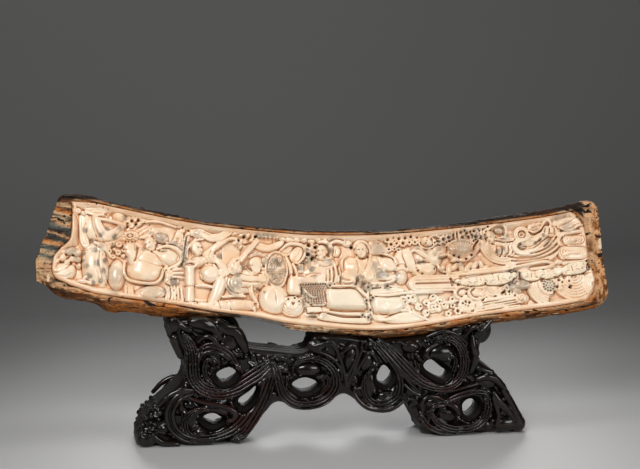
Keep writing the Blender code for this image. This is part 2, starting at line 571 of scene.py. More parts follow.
            def groove(x: Array, v: Array, n: Array, points: Array = points) -> Array:
                """Return how deep the line is scored at each place.

                Args:
                    x: Places along X.
                    v: Places along V.
                    n: Places along N.
                    points: Points of this line.

                Returns:
                    The depths.
                """
                off = np.full((x.shape[0], v.shape[1]), FAR, np.float32)
                for a, b in zip(points, points[1:]):
                    i, j = near(x, v, np.minimum(a, b) - reach, np.maximum(a, b) + reach)
                    off[i, j] = np.minimum(off[i, j], step_distance(x[i, :, 0], v[i, j, 0], a, b))
                strength = depth * np.exp(-((off / width) ** 2))
                return strength[:, :, None] + 0 * n

            self.shift(corner_low, corner_high, groove)

    def prick(
        self, places: Iterable[Point], radius: float = 0.9, depth: float = 1.5, low: float = -40.0
    ) -> None:
        """Drill small round pits at places, or raise beads with a negative depth.

        Args:
            places: X and V of each pit.
            radius: Radius of a pit.
            depth: How deep a pit goes.
            low: Lowest N that is touched.
        """
        for x0, v0 in places:
            reach = 2.4 * radius

            def pit(x: Array, v: Array, n: Array, x0: float = x0, v0: float = v0) -> Array:
                """Return how deep the pit is at each place."""
                return depth * np.exp(-((x - x0) ** 2 + (v - v0) ** 2) / radius**2) + 0 * n

            self.shift((x0 - reach, v0 - reach, low), (x0 + reach, v0 + reach, TOP), pit)

    # -- meshing

    def slices(self, count: int, grids: dict[str, Array]) -> Iterator[tuple[Block, dict[str, Array]]]:
        """Split the block along X into parts side by side, each lapping the next by a few lines.

        Args:
            count: How many parts.
            grids: Named grids to split the same way.

        Yields:
            Each part, with its share of every grid.
        """
        cuts = np.linspace(0, len(self.x) - 1, count + 1).astype(int)
        for first, last in zip(cuts, cuts[1:] + LAP):
            part = Block(self.x[first:last], self.u, self.n, self.drift[first:last])
            part.value = self.value[first:last]
            yield part, {name: grid[first:last] for name, grid in grids.items()}

    def occupancy(self, reach: float) -> Array:
        """Return how full of material the neighbourhood of each grid place is, from 0 to 1.

        Args:
            reach: How far the neighbourhood goes on each side.

        Returns:
            One share for each grid place.
        """
        full = np.clip(0.5 - self.value, 0, 1)
        for axis, line in enumerate((self.x, self.u, self.n)):
            cells = max(1, int(round(reach / float(np.median(np.diff(line))))))
            pad = [(0, 0)] * 3
            pad[axis] = (cells + 1, cells)
            total = np.cumsum(np.pad(full, pad, mode="edge"), axis=axis, dtype=np.float32)
            size = full.shape[axis]
            upper = np.take(total, range(2 * cells + 1, 2 * cells + 1 + size), axis=axis)
            lower = np.take(total, range(0, size), axis=axis)
            full = (upper - lower) / (2 * cells + 1)
        return full

    def soften(self, weight: float = 0.15) -> None:
        """Even the grid out a little, so that narrow creases run without a break.

        Args:
            weight: Share that each place takes from each neighbour along a line.
        """
        for axis in range(3):
            row = np.moveaxis(self.value, axis, 0)
            row[1:-1] = (1 - 2 * weight) * row[1:-1] + weight * (row[2:] + row[:-2])

    def net(self, maps: dict[str, Array], open_back: bool = False) -> Net:
        """Draw a net over the surface.

        Args:
            maps: Named grids, sampled at each place of the net.
            open_back: Whether the side of lowest N is left open.

        Returns:
            The net, with points as X, V and N in millimetres.
        """
        value = np.pad(self.value, 1, constant_values=1.0)
        if open_back:
            value[:, :, 0] = value[:, :, 1]
        inside = value < 0
        corners = [(a, b, c) for a in (0, 1) for b in (0, 1) for c in (0, 1)]
        shape = tuple(s - 1 for s in value.shape)
        count = sum(
            inside[a : a + shape[0], b : b + shape[1], c : c + shape[2]].astype(np.int8) for a,
            b, c in corners
        )
        cells = np.argwhere((count > 0) & (count < 8)).astype(np.int32)
        index = np.full(shape, -1, np.int32)
        index[tuple(cells.T)] = np.arange(len(cells), dtype=np.int32)
        held = {k: value[cells[:, 0] + k[0], cells[:, 1] + k[1], cells[:, 2] + k[2]] for k in corners}
        total = np.zeros((len(cells), 3), np.float32)
        hits = np.zeros(len(cells), np.float32)
        for a in corners:
            for axis in range(3):
                if a[axis]:
                    continue
                b = tuple(1 if i == axis else a[i] for i in range(3))
                va, vb = held[a], held[b]
                crossed = (va < 0) != (vb < 0)
                share = np.where(crossed, va / np.where(crossed, va - vb, 1), 0)
                place = np.tile(np.asarray(a, np.float32), (len(cells), 1))
                place[:, axis] += share
                total += np.where(crossed[:, None], place, 0)
                hits += crossed
        inner = cells + total / hits[:, None] - 1
        inner[:, 2] = np.maximum(inner[:, 2], 0)
        quads = []
        for axis in range(3):
            b, c = (axis + 1) % 3, (axis + 2) % 3
            near = [slice(None)] * 3
            far = [slice(None)] * 3
            near[axis], far[axis] = slice(0, -1), slice(1, None)
            changed = inside[tuple(near)] != inside[tuple(far)]
            place = np.argwhere(changed)
            place = place[(place[:, b] > 0) & (place[:, c] > 0)]
            place = place[(place[:, b] < shape[b]) & (place[:, c] < shape[c])]
            leaving = inside[tuple(place.T)]
            around = []
            for back_b, back_c in ((1, 1), (0, 1), (0, 0), (1, 0)):
                cell = place.copy()
                cell[:, b] -= back_b
                cell[:, c] -= back_c
                around.append(index[tuple(cell.T)])
            quad = np.column_stack(around)
            quad[~leaving] = quad[~leaving][:, ::-1]
            quads.append(quad)
        quads = np.concatenate(quads)
        values = {name: sample(grid, inner) for name, grid in maps.items()}
        lines = [
            np.interp(inner[:, i], np.arange(len(line)), line) for i,
            line in enumerate((self.x, self.u, self.n))
        ]
        lines[1] = lines[1] + np.interp(inner[:, 0], np.arange(len(self.x)), self.drift)
        return Net(np.column_stack(lines), quads, values)


def sample(grid: Array, places: Array) -> Array:
    """Read a grid at places between its lines, each a row of three indices.

    Args:
        grid: Values on a grid.
        places: Rows of three indices.

    Returns:
        One value for each row.
    """
    top = np.asarray(grid.shape) - 1
    places = np.clip(places, 0, top)
    low = np.minimum(np.floor(places).astype(int), top - 1)
    share = (places - low).astype(np.float32)
    total = np.zeros(len(places), np.float32)
    for corner in range(8):
        step = np.array([corner >> axis & 1 for axis in range(3)])
        weight = np.prod(np.where(step, share, 1 - share), axis=1)
        total += weight * grid[tuple((low + step).T)]
    return total


# ---------------------------------------------------------------- meshes


def mesh_object(
    name: str, points: Array, faces: Sequence, values: dict[str, Array] | None = None
) -> bpy.types.Object:
    """Make a smooth mesh object from places in millimetres.

    Args:
        name: Name of the piece.
        points: Places in the model's frame.
        faces: Corners of each face.
        values: Named values at each place, kept for the finish.

    Returns:
        The object, linked to the scene.
    """
    mesh = bpy.data.meshes.new(name)
    if isinstance(faces, np.ndarray):
        size = faces.shape[1]
        mesh.vertices.add(len(points))
        mesh.vertices.foreach_set("co", (points * MM).astype(np.float32).ravel())
        mesh.loops.add(faces.size)
        mesh.loops.foreach_set("vertex_index", faces.astype(np.int32).ravel())
        mesh.polygons.add(len(faces))
        mesh.polygons.foreach_set("loop_start", np.arange(0, faces.size, size, dtype=np.int32))
        mesh.update(calc_edges=True)
    else:
        mesh.from_pydata((points * MM).tolist(), [], faces)
    mesh.validate(clean_customdata=False)
    for key, value in (values or {}).items():
        attribute = mesh.attributes.new(key, "FLOAT", "POINT")
        attribute.data.foreach_set("value", value.astype(np.float32))
    mesh.shade_smooth()
    obj = bpy.data.objects.new(name, mesh)
    bpy.context.scene.collection.objects.link(obj)
    return obj


def settle(piece: bpy.types.Object) -> None:
    """Turn what a piece's modifiers make of it into its plain mesh, and remove them.

    Args:
        piece: The piece to settle.
    """
    graph = bpy.context.evaluated_depsgraph_get()
    shown = piece.evaluated_get(graph)
    mesh = bpy.data.meshes.new_from_object(shown, preserve_all_data_layers=True, depsgraph=graph)
    piece.modifiers.clear()
    dense, piece.data = piece.data, mesh
    bpy.data.meshes.remove(dense)


def thin(piece: bpy.types.Object, share: float) -> None:
    """Thin a dense mesh to a share of its faces, most where it is flattest.

    Args:
        piece: The piece to thin.
        share: Share of its faces to keep.
    """
    modifier = piece.modifiers.new("thin", "DECIMATE")
    modifier.ratio = share
    settle(piece)


def dress(piece: bpy.types.Object, finish: "Finish", slot: str, *nodes: str) -> None:
    """Give a piece its finish, fix it to the root body and hide the model's nodes that it is shown in place
    of.

    Args:
        piece: The piece to dress.
        finish: Its finish.
        slot: Not used.
        *nodes: The model's nodes that it is shown in place of.
    """
    piece.data.materials.clear()
    piece.data.materials.append(finish.material())
    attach(piece, "root")
    if nodes:
        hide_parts(*nodes)
    LOG.info("%s: %d faces", piece.name, len(piece.data.polygons))


# ---------------------------------------------------------------- finishes


def rgb(red: float, green: float, blue: float) -> tuple[float, float, float, float]:
    """Return a linear colour from display values of 0 to 255."""
    linear = [
        (c / 255 / 12.92) if c <= 10 else ((c / 255 + 0.055) / 1.055) ** 2.4 for c in (red, green, blue)
    ]
    return (*linear, 1.0)


class Nodes:
    """A small helper that wires the shader nodes of one material."""

    def __init__(self, name: str) -> None:
        """Start a material with a Principled shader.

        Args:
            name: Name of the material.
        """
        self.material = bpy.data.materials.new(name)
        self.material.use_nodes = True
        self.tree = self.material.node_tree
        self.shader = self.tree.nodes["Principled BSDF"]
        self.place = self.add("ShaderNodeTexCoord").outputs["Object"]

    def add(self, kind: str, inputs: dict | None = None, **settings: object) -> bpy.types.Node:
        """Add a node, set its properties, and set or link its inputs.

        Args:
            kind: Type of the node.
            inputs: Values or sockets, by input.
            **settings: Values of its properties.

        Returns:
            The node.
        """
        node = self.tree.nodes.new(kind)
        for key, value in settings.items():
            setattr(node, key, value)
        for key, value in (inputs or {}).items():
            self.feed(node.inputs[key], value)
        return node

    def feed(self, socket: bpy.types.NodeSocket, value: object) -> None:
        """Link a socket from another, or set its own value.

        Args:
            socket: The input.
            value: A socket to link it from, or its own value.
        """
        if isinstance(value, bpy.types.NodeSocket):
            self.tree.links.new(value, socket)
        else:
            socket.default_value = value

    def overlay(self, share: object, other: bpy.types.NodeSocket) -> None:
        """Lay another shader over the main one by share."""
        mixed = self.add("ShaderNodeMixShader", {0: share, 1: self.shader.outputs["BSDF"], 2: other})
        self.tree.links.new(mixed.outputs["Shader"], self.tree.nodes["Material Output"].inputs["Surface"])

    def value(self, name: str) -> bpy.types.NodeSocket:
        """Return the piece's named value."""
        return self.add("ShaderNodeAttribute", attribute_name=name).outputs["Fac"]

    def stretched(self, scale: Point) -> bpy.types.NodeSocket:
        """Return object places stretched by scale."""
        return self.add("ShaderNodeMapping", {"Vector": self.place, "Scale": scale}).outputs["Vector"]

    def noise(
        self,
        scale: float,
        detail: float = 4.0,
        rough: float = 0.55,
        place: bpy.types.NodeSocket | None = None,
        warp: float = 0.0,
    ) -> bpy.types.NodeSocket:
        """Return smooth noise; scale is cells per metre of its places.

        Args:
            scale: Cells per metre.
            detail: Layers of finer noise.
            rough: Strength of the finer layers.
            place: Where it is read, or None for the object's own places.
            warp: How far it is pulled about.

        Returns:
            The noise, from 0 to 1.
        """
        inputs = {"Scale": scale, "Detail": detail, "Roughness": rough, "Distortion": warp}
        node = self.add("ShaderNodeTexNoise", inputs)
        self.feed(node.inputs["Vector"], place or self.place)
        return node.outputs["Fac"]

    def ramp(
        self, value: bpy.types.NodeSocket, low: float, high: float, start: float = 0.0, end: float = 1.0
    ) -> bpy.types.NodeSocket:
        """Return value eased from start at low to end at high."""
        inputs = {"Value": value, "From Min": low, "From Max": high, "To Min": start, "To Max": end}
        return self.add("ShaderNodeMapRange", inputs, interpolation_type="SMOOTHSTEP").outputs["Result"]

    def math(self, kind: str, a: object, b: object = 0.0) -> bpy.types.NodeSocket:
        """Return a sum, product or other operation of two values.

        Args:
            kind: Name of the operation.
            a: First value or socket.
            b: Second value or socket.

        Returns:
            The result.
        """
        node = self.add("ShaderNodeMath", operation=kind)
        self.feed(node.inputs[0], a)
        self.feed(node.inputs[1], b)
        return node.outputs[0]

    def mix(self, share: object, a: object, b: object) -> bpy.types.NodeSocket:
        """Return colour a changed towards colour b by share.

        Args:
            share: How much of b is laid over a.
            a: First colour or socket.
            b: Second colour or socket.

        Returns:
            The mixed colour.
        """
        node = self.add("ShaderNodeMix", data_type="RGBA")
        self.feed(node.inputs["Factor"], share)
        self.feed(node.inputs["A"], a)
        self.feed(node.inputs["B"], b)
        return node.outputs["Result"]

    def bump(self, height: bpy.types.NodeSocket, distance: float, strength: float = 1.0) -> None:
        """Roughen the shading by height over distance in metres."""
        inputs = {"Height": height, "Distance": distance, "Strength": strength}
        self.feed(self.shader.inputs["Normal"], self.add("ShaderNodeBump", inputs).outputs["Normal"])

    def set(self, **values: object) -> None:
        """Set or link the shader's inputs, with _ for a space in their names."""
        for key, value in values.items():
            self.feed(self.shader.inputs[key.replace("_", " ")], value)


class Finish:
    """A finish, made once and shared by the pieces that wear it."""

    made: dict[str, bpy.types.Material] = {}

    def material(self) -> bpy.types.Material:
        """Return this finish's material.

        Returns:
            The material, which pieces of the same finish share.
        """
        if repr(self) not in Finish.made:
            nodes = Nodes(f"{type(self).__name__}_{len(Finish.made)}")
            self.wire(nodes)
            Finish.made[repr(self)] = nodes.material
        return Finish.made[repr(self)]

    def wire(self, nodes: Nodes) -> None:
        """Wire the finish; each kind has its own."""
        raise NotImplementedError


@dataclass(frozen=True)
class CarvedIvory(Finish):
    """Polished old mammoth ivory, cream on the high places, with brown patina and painted shade in the
    hollows.
    """

    light: tuple = rgb(255, 231, 202)
    body: tuple = rgb(246, 208, 168)
    # warm: the sunk ground's tan, laid as painted shade by how enclosed each place is
    warm: tuple = rgb(238, 192, 148)
    # line and deep: brown patina in the carved lines, deepened by painted shade in the creases and deepest
    # hollows
    line: tuple = rgb(204, 146, 100)
    deep: tuple = rgb(126, 82, 52)
    brown: tuple = rgb(208, 152, 104)
    # pale: painted light on the paler patches of the lower middle
    pale: tuple = rgb(255, 238, 212)
    # the blots' grey-brown: staining on robes and cloths, and painted shade in gaps and recesses
    stain: tuple = rgb(116, 101, 84)
    # black: painted shade in drilled holes, cracks and cuts
    black: tuple = rgb(34, 24, 18)
    roughness: float = 0.27

    def wire(self, nodes: Nodes) -> None:
        """Wire tone from the carved hollows as brown patina and painted shade, with grey staining, painted
        light and a soft polish.

        Args:
            nodes: The nodes of the material.
        """
        hollow = nodes.value("hollow")
        shelter = nodes.value("shelter")
        cloud = nodes.noise(28.0, 4.0, 0.6)
        grain = nodes.noise(260.0, 5.0, 0.6, nodes.stretched((0.35, 1.0, 1.0)))
        colour = nodes.mix(nodes.ramp(cloud, 0.35, 0.68), self.light, self.body)
        # painted shade: broad recesses and the sunk ground turn warmer and darker
        colour = nodes.mix(nodes.ramp(shelter, 0.48, 0.80), colour, self.warm)
        age = nodes.value("age")
        # aged patches turn browner; the paler patches are painted light
        colour = nodes.mix(nodes.ramp(age, 0.5, 1.0, 0.0, 0.9), colour, self.brown)
        colour = nodes.mix(nodes.ramp(age, 0.5, 0.0, 0.0, 0.9), colour, self.pale)
        uneven = nodes.math("ADD", hollow, nodes.math("MULTIPLY", nodes.math("SUBTRACT", grain, 0.5), 0.12))
        # painted shade: brown in the creases, dark brown in the deepest hollows, over the lines' patina
        colour = nodes.mix(nodes.ramp(uneven, 0.525, 0.60, 0.0, 0.9), colour, self.line)
        colour = nodes.mix(nodes.ramp(uneven, 0.61, 0.76), colour, self.deep)
        # grey-brown blots: staining, and painted shade in gaps, eye sockets and recesses
        stain_and_shade = nodes.math(
            "MULTIPLY", nodes.value("stain_and_shade"), nodes.ramp(nodes.noise(170.0, 3.0), 0.22, 0.6, 0.45, 1.0)
        )
        colour = nodes.mix(stain_and_shade, colour, self.stain)
        # painted shade: the strongest blots turn holes, cracks and cuts near-black
        colour = nodes.mix(nodes.ramp(nodes.value("stain_and_shade"), 0.94, 1.0), colour, self.black)
        nodes.set(Base_Color=colour, Roughness=nodes.ramp(hollow, 0.45, 0.8, self.roughness, 0.55))
        nodes.set(Subsurface_Weight=0.12, Subsurface_Scale=0.002, Coat_Weight=0.3, Coat_Roughness=0.12)
        nodes.bump(nodes.noise(700.0, 3.0), 0.0001, 0.4)


@dataclass(frozen=True)
class PaleIvory(Finish):
    """The paler, cleaner ivory of the two let-in cloud strips."""

    light: tuple = rgb(255, 239, 214)
    body: tuple = rgb(251, 226, 193)
    # deep: painted shade in the scored grooves
    deep: tuple = rgb(196, 134, 84)
    roughness: float = 0.32

    def wire(self, nodes: Nodes) -> None:
        """Wire a pale tone that darkens in the spiral grooves as painted shade.

        Args:
            nodes: The nodes of the material.
        """
        colour = nodes.mix(nodes.ramp(nodes.noise(60.0, 4.0), 0.3, 0.7), self.light, self.body)
        colour = nodes.mix(nodes.ramp(nodes.value("hollow"), 0.52, 0.64), colour, self.deep)
        nodes.set(Base_Color=colour, Roughness=self.roughness)
        nodes.set(Subsurface_Weight=0.12, Subsurface_Scale=0.002, Coat_Weight=0.2, Coat_Roughness=0.2)
        nodes.bump(nodes.noise(900.0, 3.0), 0.0001, 0.4)


@dataclass(frozen=True)
class TuskBark(Finish):
    """Weathered tusk bark: dark skin, rust and grey-green streaks along the tusk."""

    black: tuple = rgb(26, 18, 12)
    brown: tuple = rgb(114, 66, 26)
    rust: tuple = rgb(200, 120, 54)
    sand: tuple = rgb(208, 170, 128)
    bone: tuple = rgb(240, 214, 178)
    clay: tuple = rgb(200, 150, 106)
    ochre: tuple = rgb(222, 168, 118)
    tan: tuple = rgb(236, 190, 146)
    lichen: tuple = rgb(94, 98, 90)
    grey: tuple = rgb(60, 58, 52)
    # the stripes of the broken ends: (height above the tusk's middle line, tone)
    stripes: tuple = (
        (-60, "brown"), (-52, "clay"), (-46, "sand"), (-42, "brown"), (-38, "sand"), (-33, "clay"),
        (-27, "sand"),
        (-22, "lichen"), (-17, "sand"), (-12, "lichen"), (-8, "grey"), (-5, "clay"), (-2, "rust"),
        (1, "grey"),
        (5, "grey"), (7, "clay"), (10, "black"), (15, "lichen"), (18, "clay"), (21, "sand"), (25, "grey"),
        (28, "sand"), (31, "rust"), (35, "brown"), (39, "sand"), (43, "brown"), (48, "black"),
    )  # fmt: skip

    def wire(self, nodes: Nodes) -> None:
        """Wire streaks along the tusk, rust by the ivory, and the stripes of the broken ends.

        Args:
            nodes: The nodes of the material.
        """
        long = nodes.stretched((0.14, 1.0, 1.0))
        streak = nodes.noise(42.0, 7.0, 0.66, long, 0.4)
        vein = nodes.noise(190.0, 6.0, 0.7, nodes.stretched((0.2, 1.0, 1.0)))
        speck = nodes.noise(420.0, 4.0, 0.7, nodes.stretched((0.45, 1.0, 1.0)))
        patch = nodes.noise(26.0, 5.0, 0.65, nodes.stretched((0.5, 1.0, 1.0)))
        colour = nodes.mix(nodes.ramp(streak, 0.38, 0.46), self.black, self.brown)
        colour = nodes.mix(nodes.ramp(streak, 0.46, 0.58, 0.0, 0.85), colour, self.rust)
        colour = nodes.mix(nodes.ramp(vein, 0.55, 0.63, 0.0, 0.7), colour, self.sand)
        colour = nodes.mix(nodes.ramp(patch, 0.56, 0.64, 0.0, 0.55), colour, self.grey)
        colour = nodes.mix(nodes.ramp(vein, 0.36, 0.45, 0.9, 0.0), colour, self.black)
        rim = nodes.math(
            "ADD", nodes.value("rim"), nodes.math("MULTIPLY", nodes.math("SUBTRACT", streak, 0.5), 7.0)
        )
        below = nodes.value("below")
        glow = nodes.math("MULTIPLY", nodes.ramp(rim, 6.0, 1.5), nodes.ramp(below, 0.0, 1.0, 0.6, 0.95))
        above = nodes.math("MULTIPLY", nodes.ramp(rim, 1.6, 3.6), nodes.ramp(below, 0.35, 0.05))
        colour = nodes.mix(glow, colour, nodes.mix(nodes.ramp(vein, 0.4, 0.6), self.rust, self.sand))
        colour = nodes.mix(nodes.math("MULTIPLY", above, 0.93), colour, self.black)
        ramp = nodes.add("ShaderNodeValToRGB")
        elements = ramp.color_ramp.elements
        while len(elements) > 1:
            elements.remove(elements[-1])
        for number, (height, tone) in enumerate(self.stripes):
            spot = (height + 60) / 110
            element = elements[0] if number == 0 else elements.new(spot)
            element.position, element.color = spot, getattr(self, tone)
        warp = nodes.math("MULTIPLY", nodes.math("SUBTRACT", nodes.noise(30.0, 5.0, 0.7, long), 0.5), 22.0)
        lane = nodes.math("ADD", nodes.math("ADD", nodes.value("lane"), warp), 60.0)
        nodes.feed(ramp.inputs["Fac"], nodes.math("DIVIDE", lane, 110.0))
        striped = nodes.mix(nodes.ramp(vein, 0.38, 0.52, 0.85, 0.0), ramp.outputs["Color"], self.black)
        striped = nodes.mix(nodes.ramp(vein, 0.56, 0.66, 0.0, 0.6), striped, self.sand)
        colour = nodes.mix(nodes.value("end"), colour, striped)
        inner = nodes.mix(nodes.ramp(vein, 0.4, 0.62), self.tan, self.clay)
        colour = nodes.mix(
            nodes.value("wall"), colour, nodes.mix(nodes.ramp(patch, 0.5, 0.7), inner, self.brown)
        )
        colour = nodes.mix(nodes.ramp(speck, 0.36, 0.46, 0.7, 0.0), colour, self.black)
        mottle = nodes.noise(150.0, 5.0, 0.7, nodes.stretched((0.8, 0.5, 0.5)))
        worn = nodes.mix(nodes.ramp(mottle, 0.42, 0.52), self.brown, self.ochre)
        worn = nodes.mix(nodes.ramp(mottle, 0.56, 0.64), worn, self.tan)
        colour = nodes.mix(nodes.math("MULTIPLY", nodes.value("knob"), 0.85), colour, worn)
        ragged = nodes.math("SUBTRACT", nodes.math("ADD", vein, patch), 1.0)
        bare = nodes.ramp(nodes.math("ADD", nodes.value("bare"), ragged), 0.42, 0.54, 0.0, 0.9)
        # painted shade: the cracks and splits turn near-black
        dark = nodes.ramp(nodes.math("ADD", nodes.value("dark"), ragged), 0.40, 0.62)
        colour = nodes.mix(dark, nodes.mix(bare, colour, self.bone), self.black)
        nodes.set(Base_Color=colour, Roughness=nodes.ramp(streak, 0.35, 0.65, 0.55, 0.85))
        nodes.set(Specular_IOR_Level=0.25)
        nodes.bump(nodes.math("ADD", vein, nodes.math("MULTIPLY", speck, 0.5)), 0.0016, 0.9)


@dataclass(frozen=True)
class Splint(Finish):
    """A sliver of bark or of the pale layer under it; aged makes it browner."""

    pale: tuple = rgb(222, 188, 148)
    tan: tuple = rgb(168, 112, 66)
    dark: tuple = rgb(64, 40, 22)
    aged: float = 0.2

    def wire(self, nodes: Nodes) -> None:
        """Wire a tone for each sliver, with dark lines along it.

        Args:
            nodes: The nodes of the material.
        """
        fibre = nodes.noise(260.0, 5.0, 0.7, nodes.stretched((0.15, 1.0, 1.0)))
        tone = nodes.math("ADD", nodes.value("tone"), self.aged - 0.3)
        colour = nodes.mix(nodes.ramp(tone, 0.2, 0.7), self.pale, self.tan)
        colour = nodes.mix(nodes.ramp(tone, 0.7, 1.0), colour, self.dark)
        colour = nodes.mix(nodes.ramp(fibre, 0.40, 0.52, 0.8, 0.0), colour, self.dark)
        nodes.set(Base_Color=colour, Roughness=0.6, Specular_IOR_Level=0.4)
        nodes.bump(fibre, 0.0006, 0.8)


@dataclass(frozen=True)
class DarkHardwood(Finish):
    """Near-black polished rosewood with a red glow where it is worn."""

    dark: tuple = rgb(6, 5, 3)
    body: tuple = rgb(26, 19, 14)
    worn: tuple = rgb(54, 24, 18)
    roughness: float = 0.16

    def wire(self, nodes: Nodes) -> None:
        """Wire fine pores along the grain under a hard polish.

        Args:
            nodes: The nodes of the material.
        """
        grain = nodes.noise(240.0, 5.0, 0.6, nodes.stretched((0.12, 1.0, 1.0)))
        pores = nodes.noise(1500.0, 3.0, 0.6, nodes.stretched((0.06, 1.0, 1.0)))
        tone = nodes.noise(30.0, 4.0, 0.5, nodes.stretched((0.4, 1.0, 1.0)))
        colour = nodes.mix(nodes.ramp(grain, 0.38, 0.64), self.dark, self.body)
        rubbed = nodes.math(
            "MULTIPLY", nodes.ramp(nodes.value("hollow"), 0.50, 0.30), nodes.ramp(tone, 0.45, 0.7)
        )
        colour = nodes.mix(nodes.math("MULTIPLY", rubbed, 0.7), colour, self.worn)
        nodes.set(
            Base_Color=colour, Roughness=nodes.ramp(nodes.value("inner"), 0.0, 1.0, self.roughness, 0.75)
        )
        nodes.set(Specular_IOR_Level=0.45)
        nodes.bump(nodes.math("ADD", grain, nodes.math("MULTIPLY", pores, 0.5)), 0.0001, 0.3)


@dataclass(frozen=True)
class StudioPaper(Finish):
    """The plain pale floor and the seamless paper behind it, with a painted pool of light that fades to
    painted shade further off.
    """

    # pale: the painted pool of light; dark and deep: painted fall-off of light further away
    pale: tuple = rgb(188, 187, 186)
    dark: tuple = rgb(116, 116, 115)
    deep: tuple = rgb(112, 112, 110)

    def wire(self, nodes: Nodes) -> None:
        """Wire a grey that deepens away from the object: a painted pool of light near it, painted shade
        further off and higher up.

        Args:
            nodes: The nodes of the material.
        """
        # painted light: paler round a spot just in front of the object, greyer away from it and up the
        # backdrop
        spot = nodes.stretched((0.75, 1.0, 1.3))
        shifted = nodes.add(
            "ShaderNodeVectorMath", {0: spot, 1: (0.0, 0.3, 0.0)}, operation="ADD"
        ).outputs["Vector"]
        away = nodes.add("ShaderNodeVectorMath", {0: shifted}, operation="LENGTH").outputs["Value"]
        colour = nodes.mix(nodes.ramp(away, 0.15, 1.0), self.pale, self.dark)
        colour = nodes.mix(nodes.ramp(away, 1.4, 3.6), colour, self.deep)
        nodes.set(Base_Color=colour, Roughness=0.5, Specular_IOR_Level=0.3)
        clear = nodes.add("ShaderNodeBsdfTransparent").outputs["BSDF"]
        behind = nodes.add("ShaderNodeNewGeometry").outputs["Backfacing"]
        nodes.overlay(behind, clear)


